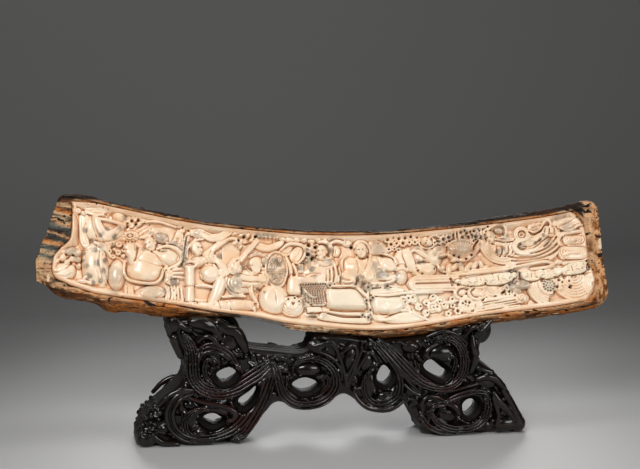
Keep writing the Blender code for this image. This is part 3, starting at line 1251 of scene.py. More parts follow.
@dataclass(frozen=True)
class AlongLines:
    """A node tree that lays small lumps along lines: slivers of bark, or rows of beads.

    Sizes are in millimetres: the spacing along a line, and the least and most reach of a lump.
    """

    name: str
    spacing: float
    least: tuple
    most: tuple
    tumble: float = 0.0
    rough: float = 0.0
    seed: int = 1

    def tree(self) -> bpy.types.GeometryNodeTree:
        """Return the tree: resampled lines, lumps on them, made real and given a material.

        Returns:
            The tree, with named inputs.
        """
        tree = bpy.data.node_groups.new(self.name, "GeometryNodeTree")
        sockets = (("Lines", "Geometry"), ("Spacing", "Float"), ("Least", "Vector"), ("Most", "Vector"),
                   ("Tumble", "Float"),
                   ("Rough", "Float"), ("Seed", "Int"), ("Material", "Material"))  # fmt: skip
        for name, kind in sockets:
            tree.interface.new_socket(name, in_out="INPUT", socket_type=f"NodeSocket{kind}")
        tree.interface.new_socket("Lumps", in_out="OUTPUT", socket_type="NodeSocketGeometry")
        given, made = tree.nodes.new("NodeGroupInput"), tree.nodes.new("NodeGroupOutput")

        def add(kind: str, **settings: object) -> bpy.types.Node:
            """Add a node with its settings.

            Args:
                kind: Type of the node.
                **settings: Values of its properties.

            Returns:
                The node.
            """
            node = tree.nodes.new(kind)
            for key, value in settings.items():
                setattr(node, key, value)
            return node

        def link(start: bpy.types.NodeSocket, end: bpy.types.NodeSocket) -> None:
            """Join two sockets."""
            tree.links.new(start, end)

        curves, even = add("GeometryNodeMeshToCurve"), add("GeometryNodeResampleCurve", mode="LENGTH")
        link(given.outputs["Lines"], curves.inputs["Mesh"])
        link(curves.outputs["Curve"], even.inputs["Curve"])
        link(given.outputs["Spacing"], even.inputs["Length"])
        lump, jitter = add("GeometryNodeMeshIcoSphere"), add("GeometryNodeSetPosition")
        lump.inputs["Subdivisions"].default_value = 2
        noise = add("ShaderNodeTexNoise")
        offset, centred = add("ShaderNodeVectorMath"), add("ShaderNodeVectorMath")
        noise.inputs["Scale"].default_value = 1.6
        offset.operation, centred.operation = "SCALE", "SUBTRACT"
        centred.inputs[1].default_value = (0.5, 0.5, 0.5)
        link(noise.outputs["Color"], centred.inputs[0])
        link(centred.outputs[0], offset.inputs[0])
        link(given.outputs["Rough"], offset.inputs["Scale"])
        link(lump.outputs["Mesh"], jitter.inputs["Geometry"])
        link(offset.outputs[0], jitter.inputs["Offset"])
        sizes = add("FunctionNodeRandomValue", data_type="FLOAT_VECTOR")
        link(given.outputs["Least"], sizes.inputs["Min"])
        link(given.outputs["Most"], sizes.inputs["Max"])
        link(given.outputs["Seed"], sizes.inputs["Seed"])
        turns = add("FunctionNodeRandomValue", data_type="FLOAT_VECTOR")
        opposite = add("ShaderNodeVectorMath")
        widest = add("ShaderNodeCombineXYZ")
        for axis in "XYZ":
            link(given.outputs["Tumble"], widest.inputs[axis])
        opposite.operation = "SCALE"
        opposite.inputs["Scale"].default_value = -1.0
        link(widest.outputs[0], opposite.inputs[0])
        link(opposite.outputs[0], turns.inputs["Min"])
        link(widest.outputs[0], turns.inputs["Max"])
        link(given.outputs["Seed"], turns.inputs["Seed"])
        tangent, facing = add("GeometryNodeInputTangent"), add("FunctionNodeAlignRotationToVector", axis="X")
        tumbled = add("FunctionNodeRotateRotation", rotation_space="LOCAL")
        link(tangent.outputs[0], facing.inputs["Vector"])
        link(facing.outputs[0], tumbled.inputs["Rotation"])
        link(turns.outputs["Value"], tumbled.inputs["Rotate By"])
        laid = add("GeometryNodeInstanceOnPoints")
        link(even.outputs["Curve"], laid.inputs["Points"])
        link(jitter.outputs["Geometry"], laid.inputs["Instance"])
        link(tumbled.outputs[0], laid.inputs["Rotation"])
        link(sizes.outputs["Value"], laid.inputs["Scale"])
        tone = add("FunctionNodeRandomValue", data_type="FLOAT")
        kept = add("GeometryNodeStoreNamedAttribute", domain="INSTANCE")
        kept.inputs["Name"].default_value = "tone"
        tone.inputs["Seed"].default_value = self.seed + 9
        link(laid.outputs["Instances"], kept.inputs["Geometry"])
        link(tone.outputs[1], kept.inputs["Value"])
        real, painted = add("GeometryNodeRealizeInstances"), add("GeometryNodeSetMaterial")
        link(kept.outputs["Geometry"], real.inputs["Geometry"])
        link(real.outputs["Geometry"], painted.inputs["Geometry"])
        link(given.outputs["Material"], painted.inputs["Material"])
        link(painted.outputs["Geometry"], made.inputs["Lumps"])
        return tree

    def build(self, lines: Sequence[Array], finish: Finish, slot: str) -> None:
        """Lay the lumps and turn them into a plain mesh.

        Args:
            lines: Places along each line, in the model's frame and in millimetres.
            finish: The lumps' finish.
            slot: Passed to dress, which does not use it.
        """
        points, edges = np.vstack(lines) * MM, []
        for line in lines:
            first = edges[-1][1] + 1 if edges else 0
            edges += [(first + i, first + i + 1) for i in range(len(line) - 1)]
        mesh = bpy.data.meshes.new(self.name)
        mesh.from_pydata(points.tolist(), edges, [])
        piece = bpy.data.objects.new(self.name, mesh)
        bpy.context.scene.collection.objects.link(piece)
        modifier, tree = piece.modifiers.new("lay", "NODES"), self.tree()
        modifier.node_group = tree
        values = {
            "Spacing": self.spacing * MM, "Least": [s * MM for s in self.least],
            "Most": [s * MM for s in self.most],
            "Tumble": math.radians(self.tumble), "Rough": self.rough, "Seed": self.seed,
            "Material": finish.material(),
        }  # fmt: skip
        for socket in tree.interface.items_tree:
            if socket.name in values:
                modifier[socket.identifier] = values[socket.name]
        settle(piece)
        piece.data.shade_smooth()
        dress(piece, finish, slot)


# ---------------------------------------------------------------- the tusk's form


@dataclass(frozen=True)
class TuskForm:
    """The split tusk's form, as the model has it, in millimetres on the split face.

    X runs along the tusk, V up the face and N out of it. The face leans back on the stand.
    """

    lean: float = 20.0
    seat: tuple = (-6.9, -32.9, 195.0)
    start: float = -334.0
    end: float = 356.0
    rounding: float = 26.0
    widest: float = 24.0
    bulge: float = 44.0
    share: float = 0.88
    middle: tuple = (
        (-334, 64), (-270, 46), (-160, 26), (-75, 14), (-20, 5), (80, -1), (200, 9), (290, 18), (356, 29),
    )  # fmt: skip
    half: tuple = (
        (-334, 57), (-270, 62), (-160, 57), (-75, 57), (-20, 61), (80, 66), (200, 64), (290, 65), (356, 66),
    )  # fmt: skip

    def along(self, knots: Sequence[Point], x: Array) -> Array:
        """Return the height at x of the smooth curve through knots.

        Args:
            knots: Places along X, each with its height.
            x: Where to read the curve.

        Returns:
            The heights.
        """
        k = np.asarray(knots, float)
        x = np.asarray(x, float)
        last = len(k) - 2
        i = np.clip(np.searchsorted(k[:, 0], x, side="right") - 1, 0, last)
        before, after = np.maximum(i - 1, 0), np.minimum(i + 2, last + 1)
        span = k[i + 1, 0] - k[i, 0]
        t = (x - k[i, 0]) / span
        slope_a = (k[i + 1, 1] - k[before, 1]) / (k[i + 1, 0] - k[before, 0]) * span
        slope_b = (k[after, 1] - k[i, 1]) / (k[after, 0] - k[i, 0]) * span
        a, b = k[i, 1], k[i + 1, 1]
        rise = (2 * t**3 - 3 * t**2 + 1) * a + (3 * t**2 - 2 * t**3) * b
        return rise + (t**3 - 2 * t**2 + t) * slope_a + (t**3 - t**2) * slope_b

    def tilt(self, x: Array) -> Array:
        """Return how far the cross-section at x leans along the tusk, as a slope."""
        slope = (self.along(self.middle, x + 1) - self.along(self.middle, x - 1)) / 2
        return np.where(slope < 0, -slope, -0.25 * slope)

    def taper(self, x: Array) -> Array:
        """Return the share of full size at x, less over the rounded ends."""
        inward = np.clip(np.minimum(x - self.start, self.end - x) / self.rounding, 0, 1)
        return 0.62 + 0.38 * np.sqrt(1 - (1 - inward) ** 2)

    def to_model(self, points: Array) -> Array:
        """Return places given as X, V and N in the model's frame, in millimetres.

        Args:
            points: One place a row.

        Returns:
            The same rows as X, Y and Z.
        """
        c, s = math.cos(math.radians(self.lean)), math.sin(math.radians(self.lean))
        x, v, n = points.T
        return np.column_stack([x, v * s - n * c, v * c + n * s]) + np.asarray(self.seat)


@dataclass
class Crust:
    """The tusk's outer bark: the round back, the rims along the face and both broken ends."""

    form: TuskForm
    field: Array
    stations: int = 560
    around: int = 168
    trough: float = 22.0
    rounding: float = 15.0
    shear: float = 0.13
    caps: int = 9
    seed: int = 7
    keep: float = 0.62
    # how much of the way round each section goes to the flat front and to each rounded lip
    front_share: float = 0.24
    lip_share: float = 0.13
    # how far the bark stands out above and below the plain form along the tusk
    crown: tuple = (
        (-334, 3), (-290, 3.2), (-240, 2.7), (-180, 3.4), (-120, 2.3), (0, 2.4), (60, 2), (130, 1),
        (175, 1.6),
        (210, 3.4), (250, 4.6), (320, 5.2), (345, 5), (356, 1),
    )  # fmt: skip
    keel: tuple = (
        (-334, -9), (-318, -2), (-275, 1), (-257, 8), (-238, 6), (-200, 7.5), (-176, 6), (-140, 3.5),
        (-112, -1),
        (-90, -3.4), (-64, -3.4), (-48, -1), (-36, 2), (-20, 2.4), (80, 3), (200, 2), (356, 2),
    )  # fmt: skip
    # each lump: (x, v, reach along, reach across, height)
    lumps: tuple = (
        (-176, -38, 9, 6, 4.5), (-190, -33, 7, 6, 2.5), (-30, -57, 14, 5, 3.0), (62, -66, 18, 6, 2.2),
        (150, -60, 12, 6, 2.0), (-262, -12, 12, 7, 2.4), (240, -52, 14, 6, 2.0), (-110, -42, 10, 5, 1.8),
    )  # fmt: skip

    # the two cracks at the right end, and the pale chips as (x, v, radius)
    splits: tuple = (
        ((338, 18), (346, 20), (353, 23), (358, 27)), ((331, 5), (340, 6), (346, 5), (352, 7), (358, 10)),
    )  # fmt: skip
    chips: tuple = ((355, 41, 4), (353, 35, 3), (-331, 14, 3), (12, -58, 4), (-322, 30, 3))

    def taper(self, x: Array) -> Array:
        """Return the share of full size at x, less over the rounded ends."""
        inward = np.clip(np.minimum(x - self.form.start, self.form.end - x) / self.rounding, 0, 1)
        return 0.84 + 0.16 * np.sqrt(1 - (1 - inward) ** 2)

    def section(self, x: Array) -> tuple[Array, Array, Array]:
        """Return X, V and depth below the face of each section, one row a station.

        Args:
            x: Stations along the tusk.

        Returns:
            Three arrays, one row a station and one column a place round it.
        """
        form = self.form
        half = form.along(form.half, x) * self.taper(x)
        face, bulge = half * form.share, form.bulge * self.taper(x)
        front = int(self.around * self.front_share)
        lip = int(self.around * self.lip_share)
        back = self.around - front - 2 * lip
        turn = np.radians(np.linspace(0, 90, lip, endpoint=False))
        lip_up = face[:, None] + (half - face)[:, None] * np.sin(turn)
        lip_deep = form.widest * (1 - np.cos(turn)) + np.zeros_like(lip_up)
        swing = np.radians(np.linspace(-90, 90, back, endpoint=False))
        back_up = half[:, None] * np.sin(swing)
        back_deep = form.widest + bulge[:, None] * np.cos(swing)
        share = np.linspace(1, -1, front, endpoint=False)
        front_up = face[:, None] * share
        up = np.hstack([-lip_up, back_up, lip_up[:, ::-1], front_up])
        deep = np.hstack([lip_deep, back_deep, lip_deep[:, ::-1], np.zeros_like(front_up)])
        tilt = form.tilt(x) + self.shear * smooth_step(-x, 255, 325)
        return x[:, None] + tilt[:, None] * up, form.along(form.middle, x)[:, None] + up, deep

    def wear(self, x: Array, v: Array, deep: Array) -> tuple[Array, Array]:
        """Return how far the bark is worn in at each place, and how cracked it is there.

        Args:
            x: Places along the tusk.
            v: Places up the face.
            deep: Depth of each place below the face.

        Returns:
            How far each place is worn in, and its cracks from 0 to 1.
        """
        noise = Noise(self.seed)
        ridge = noise.layers(x * 0.02, v * 0.26, deep * 0.26, 4, 0.65)
        broad = noise.layers(x * 0.022 + 9, v * 0.04, deep * 0.04, 3)
        flake = smooth_step(noise.layers(x * 0.035 + 31, v * 0.12, deep * 0.12 + 5, 3), 0.46, 0.53)
        crack = np.abs(noise.layers(x * 0.012 + 3, v * 0.15 + 11, deep * 0.15, 3) - 0.5)
        crack = 1 - smooth_step(crack, 0.0, 0.04)
        grit = noise.layers(x * 0.14, v * 0.6, deep * 0.6 + 9, 3, 0.7) - 0.5
        worn = 0.7 + 3.4 * (1 - ridge) * broad + 1.5 * flake + 1.8 * crack * broad + 1.6 * grit
        for x0, v0, along, across, height in self.lumps:
            close = ((x - x0) / along) ** 2 + ((v - v0) / across) ** 2 + ((deep - 10) / 16) ** 2
            worn = worn - height * np.exp(-close)
        return worn, crack

    def build(self) -> None:
        """Build the bark as one closed mesh."""
        form = self.form
        share = np.linspace(0, 1, self.stations)
        x = form.start + (form.end - form.start) * (0.8 * share + 0.2 * (0.5 - 0.5 * np.cos(np.pi * share)))
        along, up, deep = self.section(x)
        middle_v = form.along(form.middle, x)[:, None]
        lane = up - middle_v
        inside = -outline_distance(along, up, self.field)
        on_face = deep < 0.5
        worn, crack = self.wear(along, up, deep)
        fibre = Noise(self.seed + 1)
        step = fibre.layers(along * 0.02, lane * 0.2 + 20, lane * 0, 3, 0.7)
        ends = np.maximum(smooth_step(-along, 293, 302), smooth_step(along, 334, 342))
        sunk = np.where(deep < 14, self.trough * smooth_step(inside, -0.3, 2.5), 0)
        broken = np.where(on_face, 4.0 * ends * step + 1.8 * ends * ridge_lines(along, up), 0)
        scale = np.hypot(lane, np.maximum(deep - form.widest, 0) * 1.3) + 1e-6
        push_up = lane / scale * worn
        grown = form.along(self.crown, along) * smooth_step(lane, 30, 62)
        grown = grown - form.along(self.keel, along) * smooth_step(-lane, 30, 60)
        up = up + np.where(on_face, 0, grown)
        push_deep = np.where(deep > form.widest, np.maximum(deep - form.widest, 0) * 1.3 / scale, 0) * worn
        up = up - np.where(on_face, 0, push_up)
        deep = deep - push_deep + sunk + broken + np.where(on_face, np.maximum(worn, 0) * 0.5, 0) + 0.4
        split = np.min([line_distance(along, up, line) for line in self.splits], axis=0)
        split = (1 - smooth_step(split, 0.3, 1.3)) * (deep < 34)
        deep = deep + 2.0 * split
        chip = np.max(
            [1 - smooth_step(np.hypot(along - a, (up - b) * 0.7), r * 0.6, r) for a, b, r in self.chips],
            axis=0
        )
        end = smooth_step(-along, 318, 334) + 0.35 * smooth_step(along, 344, 356)
        along = along + np.sign(-along) * end * 6.0 * (
            fibre.layers(lane * 0.16, deep * 0.1, 0 * lane, 3, 0.8) - 0.25
        )
        rim = np.clip(outline_distance(along, up, self.field), 0, 40) + np.clip(deep - 24, 0, 20)
        rings = np.stack([along, up, -deep], axis=-1)
        first, last = self.cap(rings[0], -1), self.cap(rings[-1], 1)
        rings = np.concatenate([first[::-1], rings, last])
        count, size = rings.shape[:2]
        ring, spot = np.meshgrid(np.arange(count - 1), np.arange(size), indexing="ij")
        after = (spot + 1) % size
        low, high = ring * size, (ring + 1) * size
        quads = np.stack([low + spot, low + after, high + after, high + spot], -1)
        faces = quads.reshape(-1, 4)[:, ::-1].tolist()
        faces.append(list(range(size)))
        faces.append(list(range((count - 1) * size, count * size))[::-1])
        pad = ((self.caps, self.caps), (0, 0))
        values = {
            "lane": lane + 0 * along,
            "rim": rim,
            "below": np.maximum(1 - smooth_step(lane, -20, 20), smooth_step(along, 336, 345)),
            # dark: the cracks and the two splits, painted near-black as shade in them
            "dark": np.clip(np.maximum(crack * 0.8, split), 0, 1),
            "bare": chip * (deep < 30),
            "knob": smooth_step(along, 341, 347) * (deep < 40),
            "end": np.where(deep < 16, smooth_step(-along, 293, 302), 0),
            "wall": smooth_step(along, 332, 336) * (1 - smooth_step(along, 342.5, 346.5)) * smooth_step(up,
            8, 20) * (deep < 30),
        }
        values = {key: np.pad(value, pad, mode="edge").ravel() for key, value in values.items()}
        points = form.to_model(rings.reshape(-1, 3))
        least, most = (np.array(corner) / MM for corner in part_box("tusk"))
        piece = mesh_object("tusk_bark", np.clip(points, least, most), faces, values)
        thin(piece, self.keep)
        dress(piece, TuskBark(), "mammoth_ivory", "tusk")

    def cap(self, ring: Array, side: int) -> Array:
        """Return rings that close one broken end, from its rim inwards, rough as it broke.

        Args:
            ring: The rim of the broken end.
            side: -1 for the left end, 1 for the right.

        Returns:
            The rings, outermost first.
        """
        middle = ring.mean(0)
        noise = Noise(self.seed + 5)
        rings = []
        for i in range(1, self.caps + 1):
            share = 1 - (i / (self.caps + 0.6)) ** 1.2
            shrunk = middle + (ring - middle) * share
            rough = noise.layers(shrunk[:, 0] * 0.1, shrunk[:, 1] * 0.2, shrunk[:, 2] * 0.12 + 4, 3)
            slant = ring[:, 0] * share + middle[0] * (1 - share)
            shrunk[:, 0] = slant - side * 6.0 * rough * (1 - share) ** 0.5
            rings.append(shrunk)
        return np.array(rings)


def ridge_lines(x: Array, v: Array) -> Array:
    """Return the fine lengthwise ridges of the weathered ends, from 0 to 1."""
    wander = 3 * np.sin(x * 0.05) + 2 * np.sin(x * 0.13 + v * 0.05)
    return 0.5 + 0.5 * np.sin((v + 0.4 * wander) * 1.35) * np.sin(v * 0.37 + 1)


@dataclass
class Splinters:
    """Loose slivers of bark, pale and brown, along the tusk's broken lower edge."""

    form: TuskForm
    # each row of pale slivers on the loose flake: (x, v, n) places
    flake: tuple = (
        ((-45, -52.4, -2.6), (-28, -54.6, -2.6), (-6, -56.8, -3), (16, -58.8, -3.6)),
        ((-43, -54.4, -4), (-26, -56.6, -4.4), (-4, -58.8, -5), (18, -60.6, -6)),
        ((-38, -56.4, -7), (-22, -58.6, -7.4), (0, -60.6, -8)),
    )
    # each stretch of bark with slivers: where it starts and ends along the tusk
    stretches: tuple = ((-305, -214), (-196, -132), (28, 118), (128, 200), (206, 300))

    def build(self) -> None:
        """Lay the pale slivers of the flake, then the brown ones along the edge."""
        rows = [self.form.to_model(through(row, 3)) for row in self.flake]
        pale = AlongLines("pale_splinters", 2.6, (3.4, 0.5, 0.5), (8.5, 1.1, 1.5), 9, 0.5, 4)
        pale.build(rows, Splint(), "mammoth_ivory")
        rows = []
        for start, end in self.stretches:
            x = np.linspace(start, end, 14)
            low = self.form.along(self.form.middle, x) - self.form.along(self.form.half, x)
            for lift, n in ((3.4, -5.0), (0.6, -11.0)):
                wave = 0.8 * np.sin(x * 0.21 + lift)
                rows.append(self.form.to_model(np.column_stack([x, low + lift + wave, n + 0 * x])))
        brown = AlongLines("brown_splinters", 4.6, (3.0, 0.4, 0.4), (8.0, 1.0, 1.2), 8, 0.5, 6)
        brown.build(rows, Splint(aged=0.62), "mammoth_ivory")


# ---------------------------------------------------------------- motifs of the carving


class Hair(Enum):
    """How a carved head's hair is dressed."""

    SHAVEN = "shaven"
    KNOT = "knot"
    CAP = "cap"
    COMBED = "combed"
    TUFTS = "tufts"


@dataclass(frozen=True)
class Head:
    """A small carved head with a calm, plain face.

    at is its centre in X, V and N; size is half its height; yaw turns it towards +X, tip nods it
    up and roll turns it anticlockwise, in degrees.
    """

    at: tuple
    size: float
    yaw: float = 0.0
    tip: float = 0.0
    roll: float = 0.0
    hair: Hair = Hair.SHAVEN
    beard: float = 0.0

    def place(self, across: float, up: float, out: float) -> Array:
        """Return a place on the head, given in half-heights from its centre."""
        matrix = turn_matrix(self.yaw, self.tip, self.roll)
        return np.asarray(self.at) + matrix @ (np.array([across, up, out]) * self.size)

    def lump(self, block: Block, centre: Point, radii: Point, blend: float = 0.6, take: bool = False) -> None:
        """Join or take an ellipsoid given in half-heights."""
        matrix = turn_matrix(self.yaw, self.tip, self.roll)
        block.egg(self.place(*centre), np.asarray(radii) * self.size, matrix, blend, take)

    def bar(
        self, block: Block, line: Sequence[Point], radius: float | Sequence[float], blend: float = 0.4
    ) -> None:
        """Join a thin bar through places given in half-heights."""
        wide = np.asarray(radius) * self.size
        block.rope([self.place(*point) for point in line], wide if wide.ndim else float(wide), blend, steps=3)

    def marks(self) -> list[tuple]:
        """Return the small dark places of the eyes and mouth, painted shade in the carved sockets and mouth
        line, as (x, v, radius, strength).

        Returns:
            One row for each place.
        """
        spots = [((side * 0.27, 0.08, 0.7), 0.15, 0.9) for side in (-1, 1)]
        spots += [((across, -0.5, 0.72), 0.09, 0.75) for across in (-0.12, 0.0, 0.12)]
        return [(*self.place(*place)[:2], radius * self.size, strength) for place, radius, strength in spots]

    def carve(self, block: Block) -> None:
        """Carve the skull, face, features and hair.

        Args:
            block: The block to carve.
        """
        self.lump(block, (0, 0.2, -0.14), (0.72, 0.78, 0.82), 0.4)
        self.lump(block, (0, -0.2, 0.14), (0.6, 0.78, 0.64), 1.0)
        for side in (-1, 1):
            self.lump(block, (side * 0.3, -0.28, 0.54), (0.26, 0.24, 0.22), 0.8)
            self.lump(block, (side * 0.28, 0.1, 0.76), (0.22, 0.13, 0.24), 0.3, take=True)
            self.lump(block, (side * 0.27, 0.07, 0.56), (0.16, 0.08, 0.14), 0.2)
            self.bar(
                block,
                [(side * 0.08, 0.22, 0.76), (side * 0.28, 0.32, 0.72), (side * 0.5, 0.22, 0.52)], 0.085
            )
            self.lump(block, (side * 0.7, -0.08, -0.04), (0.13, 0.3, 0.2), 0.2)
            line = [
                self.place(side * across, up, 0.7)[:2] for across,
                up in ((0.12, 0.05), (0.27, 0.01), (0.4, 0.06))
            ]
            block.score([line], 0.4, 0.8, low=self.at[2])
        self.bar(block, [(0, 0.2, 0.72), (0, -0.02, 0.86), (0, -0.18, 0.94)], [0.08, 0.1, 0.16], 0.3)
        self.lump(block, (0, -0.5, 0.66), (0.22, 0.13, 0.16), 0.3)
        self.lump(block, (0, -0.8, 0.48), (0.24, 0.17, 0.2), 0.6)
        mouth = [self.place(across, -0.49 - 0.04 * abs(across), 0.7)[:2] for across in (-0.22, 0.0, 0.22)]
        block.score([mouth], 0.4, 0.8, low=self.at[2])
        self.dress_hair(block)
        if self.beard:
            self.grow_beard(block)

    def dress_hair(self, block: Block) -> None:
        """Carve the hair or cap.

        Args:
            block: The block to carve.
        """
        if self.hair is Hair.SHAVEN:
            return
        self.lump(block, (0, 0.42, -0.2), (0.8, 0.66, 0.84), 0.4)
        if self.hair is Hair.KNOT:
            self.lump(block, (0, 1.16, -0.1), (0.34, 0.3, 0.34), 0.6)
            self.bar(block, [(-0.4, 0.98, 0.1), (0.4, 0.98, 0.1)], 0.09)
        if self.hair is Hair.CAP:
            self.bar(
                block,
                [(-0.7, 0.36, 0.2), (-0.34, 0.5, 0.6), (0, 0.54, 0.7), (0.34, 0.5, 0.6), (0.7, 0.36, 0.2)],
                0.14
            )
            self.lump(block, (0, 1.0, -0.16), (0.5, 0.34, 0.5), 1.0)
        if self.hair is Hair.TUFTS:
            for side in (-1, 1):
                self.lump(block, (side * 0.55, 0.95, -0.1), (0.3, 0.3, 0.3), 0.6)
        if self.hair in (Hair.COMBED, Hair.KNOT, Hair.TUFTS):
            for across in np.linspace(-0.6, 0.6, 6):
                line = [
                    self.place(across, 0.5, 0.5)[:2], self.place(across * 0.8, 0.8, 0.3)[:2],
                    self.place(across * 0.4, 1.0, 0)[:2]
                ]
                block.score([line], 0.4, 0.35, low=self.at[2])

    def grow_beard(self, block: Block) -> None:
        """Carve a long beard in strands.

        Args:
            block: The block to carve.
        """
        for across in (-0.3, -0.12, 0.06, 0.24):
            line = [(across, -0.62, 0.5), (across * 1.1, -1.1, 0.45), (across * 0.7, -0.8 - self.beard, 0.1)]
            self.bar(block, line, [0.16, 0.15, 0.07], 0.3)


@dataclass(frozen=True)
class Flutes:
    """A band of parallel ridges along a line of (x, v, n, width) places."""

    line: tuple
    ridges: int = 3
    crown: float = 1.0
    flat: float = 0.9
    blend: float = 0.5
    full: float = 0.62

    def carve(self, block: Block) -> None:
        """Carve every ridge.

        Args:
            block: The block to carve.
        """
        rows = through(self.line, 5)
        heading = np.gradient(rows[:, :2], axis=0)
        heading /= np.maximum(np.hypot(*heading.T)[:, None], 1e-6)
        side = np.column_stack([-heading[:, 1], heading[:, 0]])
        for ridge in range(self.ridges):
            share = (ridge + 0.5) / self.ridges * 2 - 1
            reach = rows[:, 3] * 0.5 * share
            place = rows[:, :2] + side * reach[:, None]
            level = rows[:, 2] + self.crown * (1 - share * share)
            radius = np.maximum(rows[:, 3] / self.ridges * self.full, 0.45)
            block.rope(np.column_stack([place, level]), radius, self.blend, self.flat, steps=1)


@dataclass(frozen=True)
class Swirl:
    """A spiral curl of ridges, as on a cloud or a breaking wave."""

    centre: tuple
    radius: float
    level: float = -4.0
    turns: float = 1.5
    start: float = 0.0
    width: float = 3.0
    ridges: int = 1
    rise: float = 1.5
    tail: tuple = ()

    def carve(self, block: Block) -> None:
        """Carve the curl from its tail inwards, rising to its middle.

        Args:
            block: The block to carve.
        """
        coil = curl(self.centre, self.radius, self.turns, self.start, 0.18)
        line = np.vstack([np.asarray(self.tail, float).reshape(-1, 2), coil]) if self.tail else coil
        share = np.linspace(0, 1, len(line))
        level = self.level + self.rise * share
        width = self.width * (1 - 0.55 * share)
        block.egg((*self.centre, self.level - 2), (self.radius * 1.05, self.radius * 1.05, 3.0), 0, 1.0)
        if self.ridges == 1:
            block.rope(np.column_stack([line, level]), width * 0.5, 0.4, steps=1)
        else:
            Flutes(tuple(map(tuple, np.column_stack([line, level, width]))), self.ridges, 0.4).carve(block)


@dataclass(frozen=True)
class WaveComb:
    """Concentric ridges of water, each a step lower than the one inside it."""

    centre: tuple
    radii: tuple
    start: float
    end: float
    level: float = -3.0
    drop: float = 0.6
    width: float = 1.5

    def carve(self, block: Block) -> None:
        """Carve a swelling under the ridges, then each ridge.

        Args:
            block: The block to carve.
        """
        for step, radius in enumerate(self.radii):
            line = arc(self.centre, radius, self.start, self.end, 14)
            level = self.level - self.drop * step
            block.rope(
                np.column_stack([line, np.full(len(line), level - 3.0)]), self.width * 1.25, 0.8, steps=1
            )
            block.rope(np.column_stack([line, np.full(len(line), level)]), self.width, 0.2, steps=1)


@dataclass(frozen=True)
class Flower:
    """A small open flower: petals round a drilled or beaded middle."""

    centre: tuple
    radius: float
    petals: int = 6
    level: float = -4.0
    pits: int = 5
    turn: float = 0.0

    def carve(self, block: Block) -> None:
        """Carve petals, middle and pits.

        Args:
            block: The block to carve.
        """
        x, v = self.centre
        block.egg((x, v, self.level - 2.6), (self.radius * 0.92, self.radius * 0.86, 3.4), self.turn, 0.6)
        for petal in range(self.petals):
            angle = math.radians(self.turn + 360 * petal / self.petals)
            across, up = x + self.radius * 0.58 * math.cos(angle), v + self.radius * 0.58 * math.sin(angle)
            radii = (self.radius * 0.46, self.radius * 0.40, 2.6)
            block.egg((across, up, self.level - 0.8), radii, math.degrees(angle), 0.45)
            block.score([[(x, v), (across, up)]], 0.45, 0.5, low=self.level - 5, smooth=False)
        block.egg((x, v, self.level), (self.radius * 0.36, self.radius * 0.36, 2.2), 0, 0.4)
        ring = [(x, v)] if self.pits == 1 else []
        for pit in range(self.pits if self.pits > 1 else 0):
            angle = math.tau * pit / self.pits + 0.4
            ring.append((x + self.radius * 0.2 * math.cos(angle), v + self.radius * 0.2 * math.sin(angle)))
        block.prick(ring, 1.0, 3.0, low=self.level - 5)


@dataclass(frozen=True)
class Folds:
    """Cloth drawn between two edges: soft ridges that run from one line to the other."""

    top: tuple
    bottom: tuple
    count: int = 5
    level: float = -6.0
    end_level: float = -7.0
    width: float = 3.2
    bend: float = 0.0
    seed: int = 1

    def carve(self, block: Block) -> None:
        """Carve the ridges with the valleys between them.

        Args:
            block: The block to carve.
        """
        first, last = through(self.top, 8), through(self.bottom, 8)
        chance = np.random.default_rng(self.seed)
        for ridge in range(self.count):
            share = (ridge + 0.5) / self.count
            a = first[int(share * (len(first) - 1))]
            b = last[int(share * (len(last) - 1))]
            middle = (a + b) / 2 + np.array([b[1] - a[1], a[0] - b[0]]) * self.bend * (share - 0.5)
            wide = self.width * (0.8 + 0.4 * chance.random())
            line = [
                (*a, self.level), (*middle, (self.level + self.end_level) / 2 + 0.6), (*b, self.end_level)
            ]
            block.rope(line, [wide * 0.45, wide * 0.6, wide * 0.5], 0.5, 0.85)


@dataclass(frozen=True)
class Leaf:
    """A ruffled leaf or pad: a bent plate with veins from its stalk."""

    outline: tuple
    stalk: tuple
    level: float = -4.0
    thick: float = 3.0
    dome: float = 1.2
    veins: int = 5

    def carve(self, block: Block) -> None:
        """Carve the pad, then score its veins.

        Args:
            block: The block to carve.
        """
        block.plate(self.outline, self.level - self.thick, self.level, 1.0, 0.5, dome=self.dome)
        line = through(self.outline, 4, closed=True)
        for vein in range(self.veins):
            tip = line[int((vein + 0.5) / self.veins * len(line))]
            reach = np.asarray(self.stalk) + (tip - np.asarray(self.stalk)) * 0.86
            block.score([[self.stalk, reach]], 0.6, 0.6, low=self.level - self.thick, smooth=False)


# ---------------------------------------------------------------- the carved face


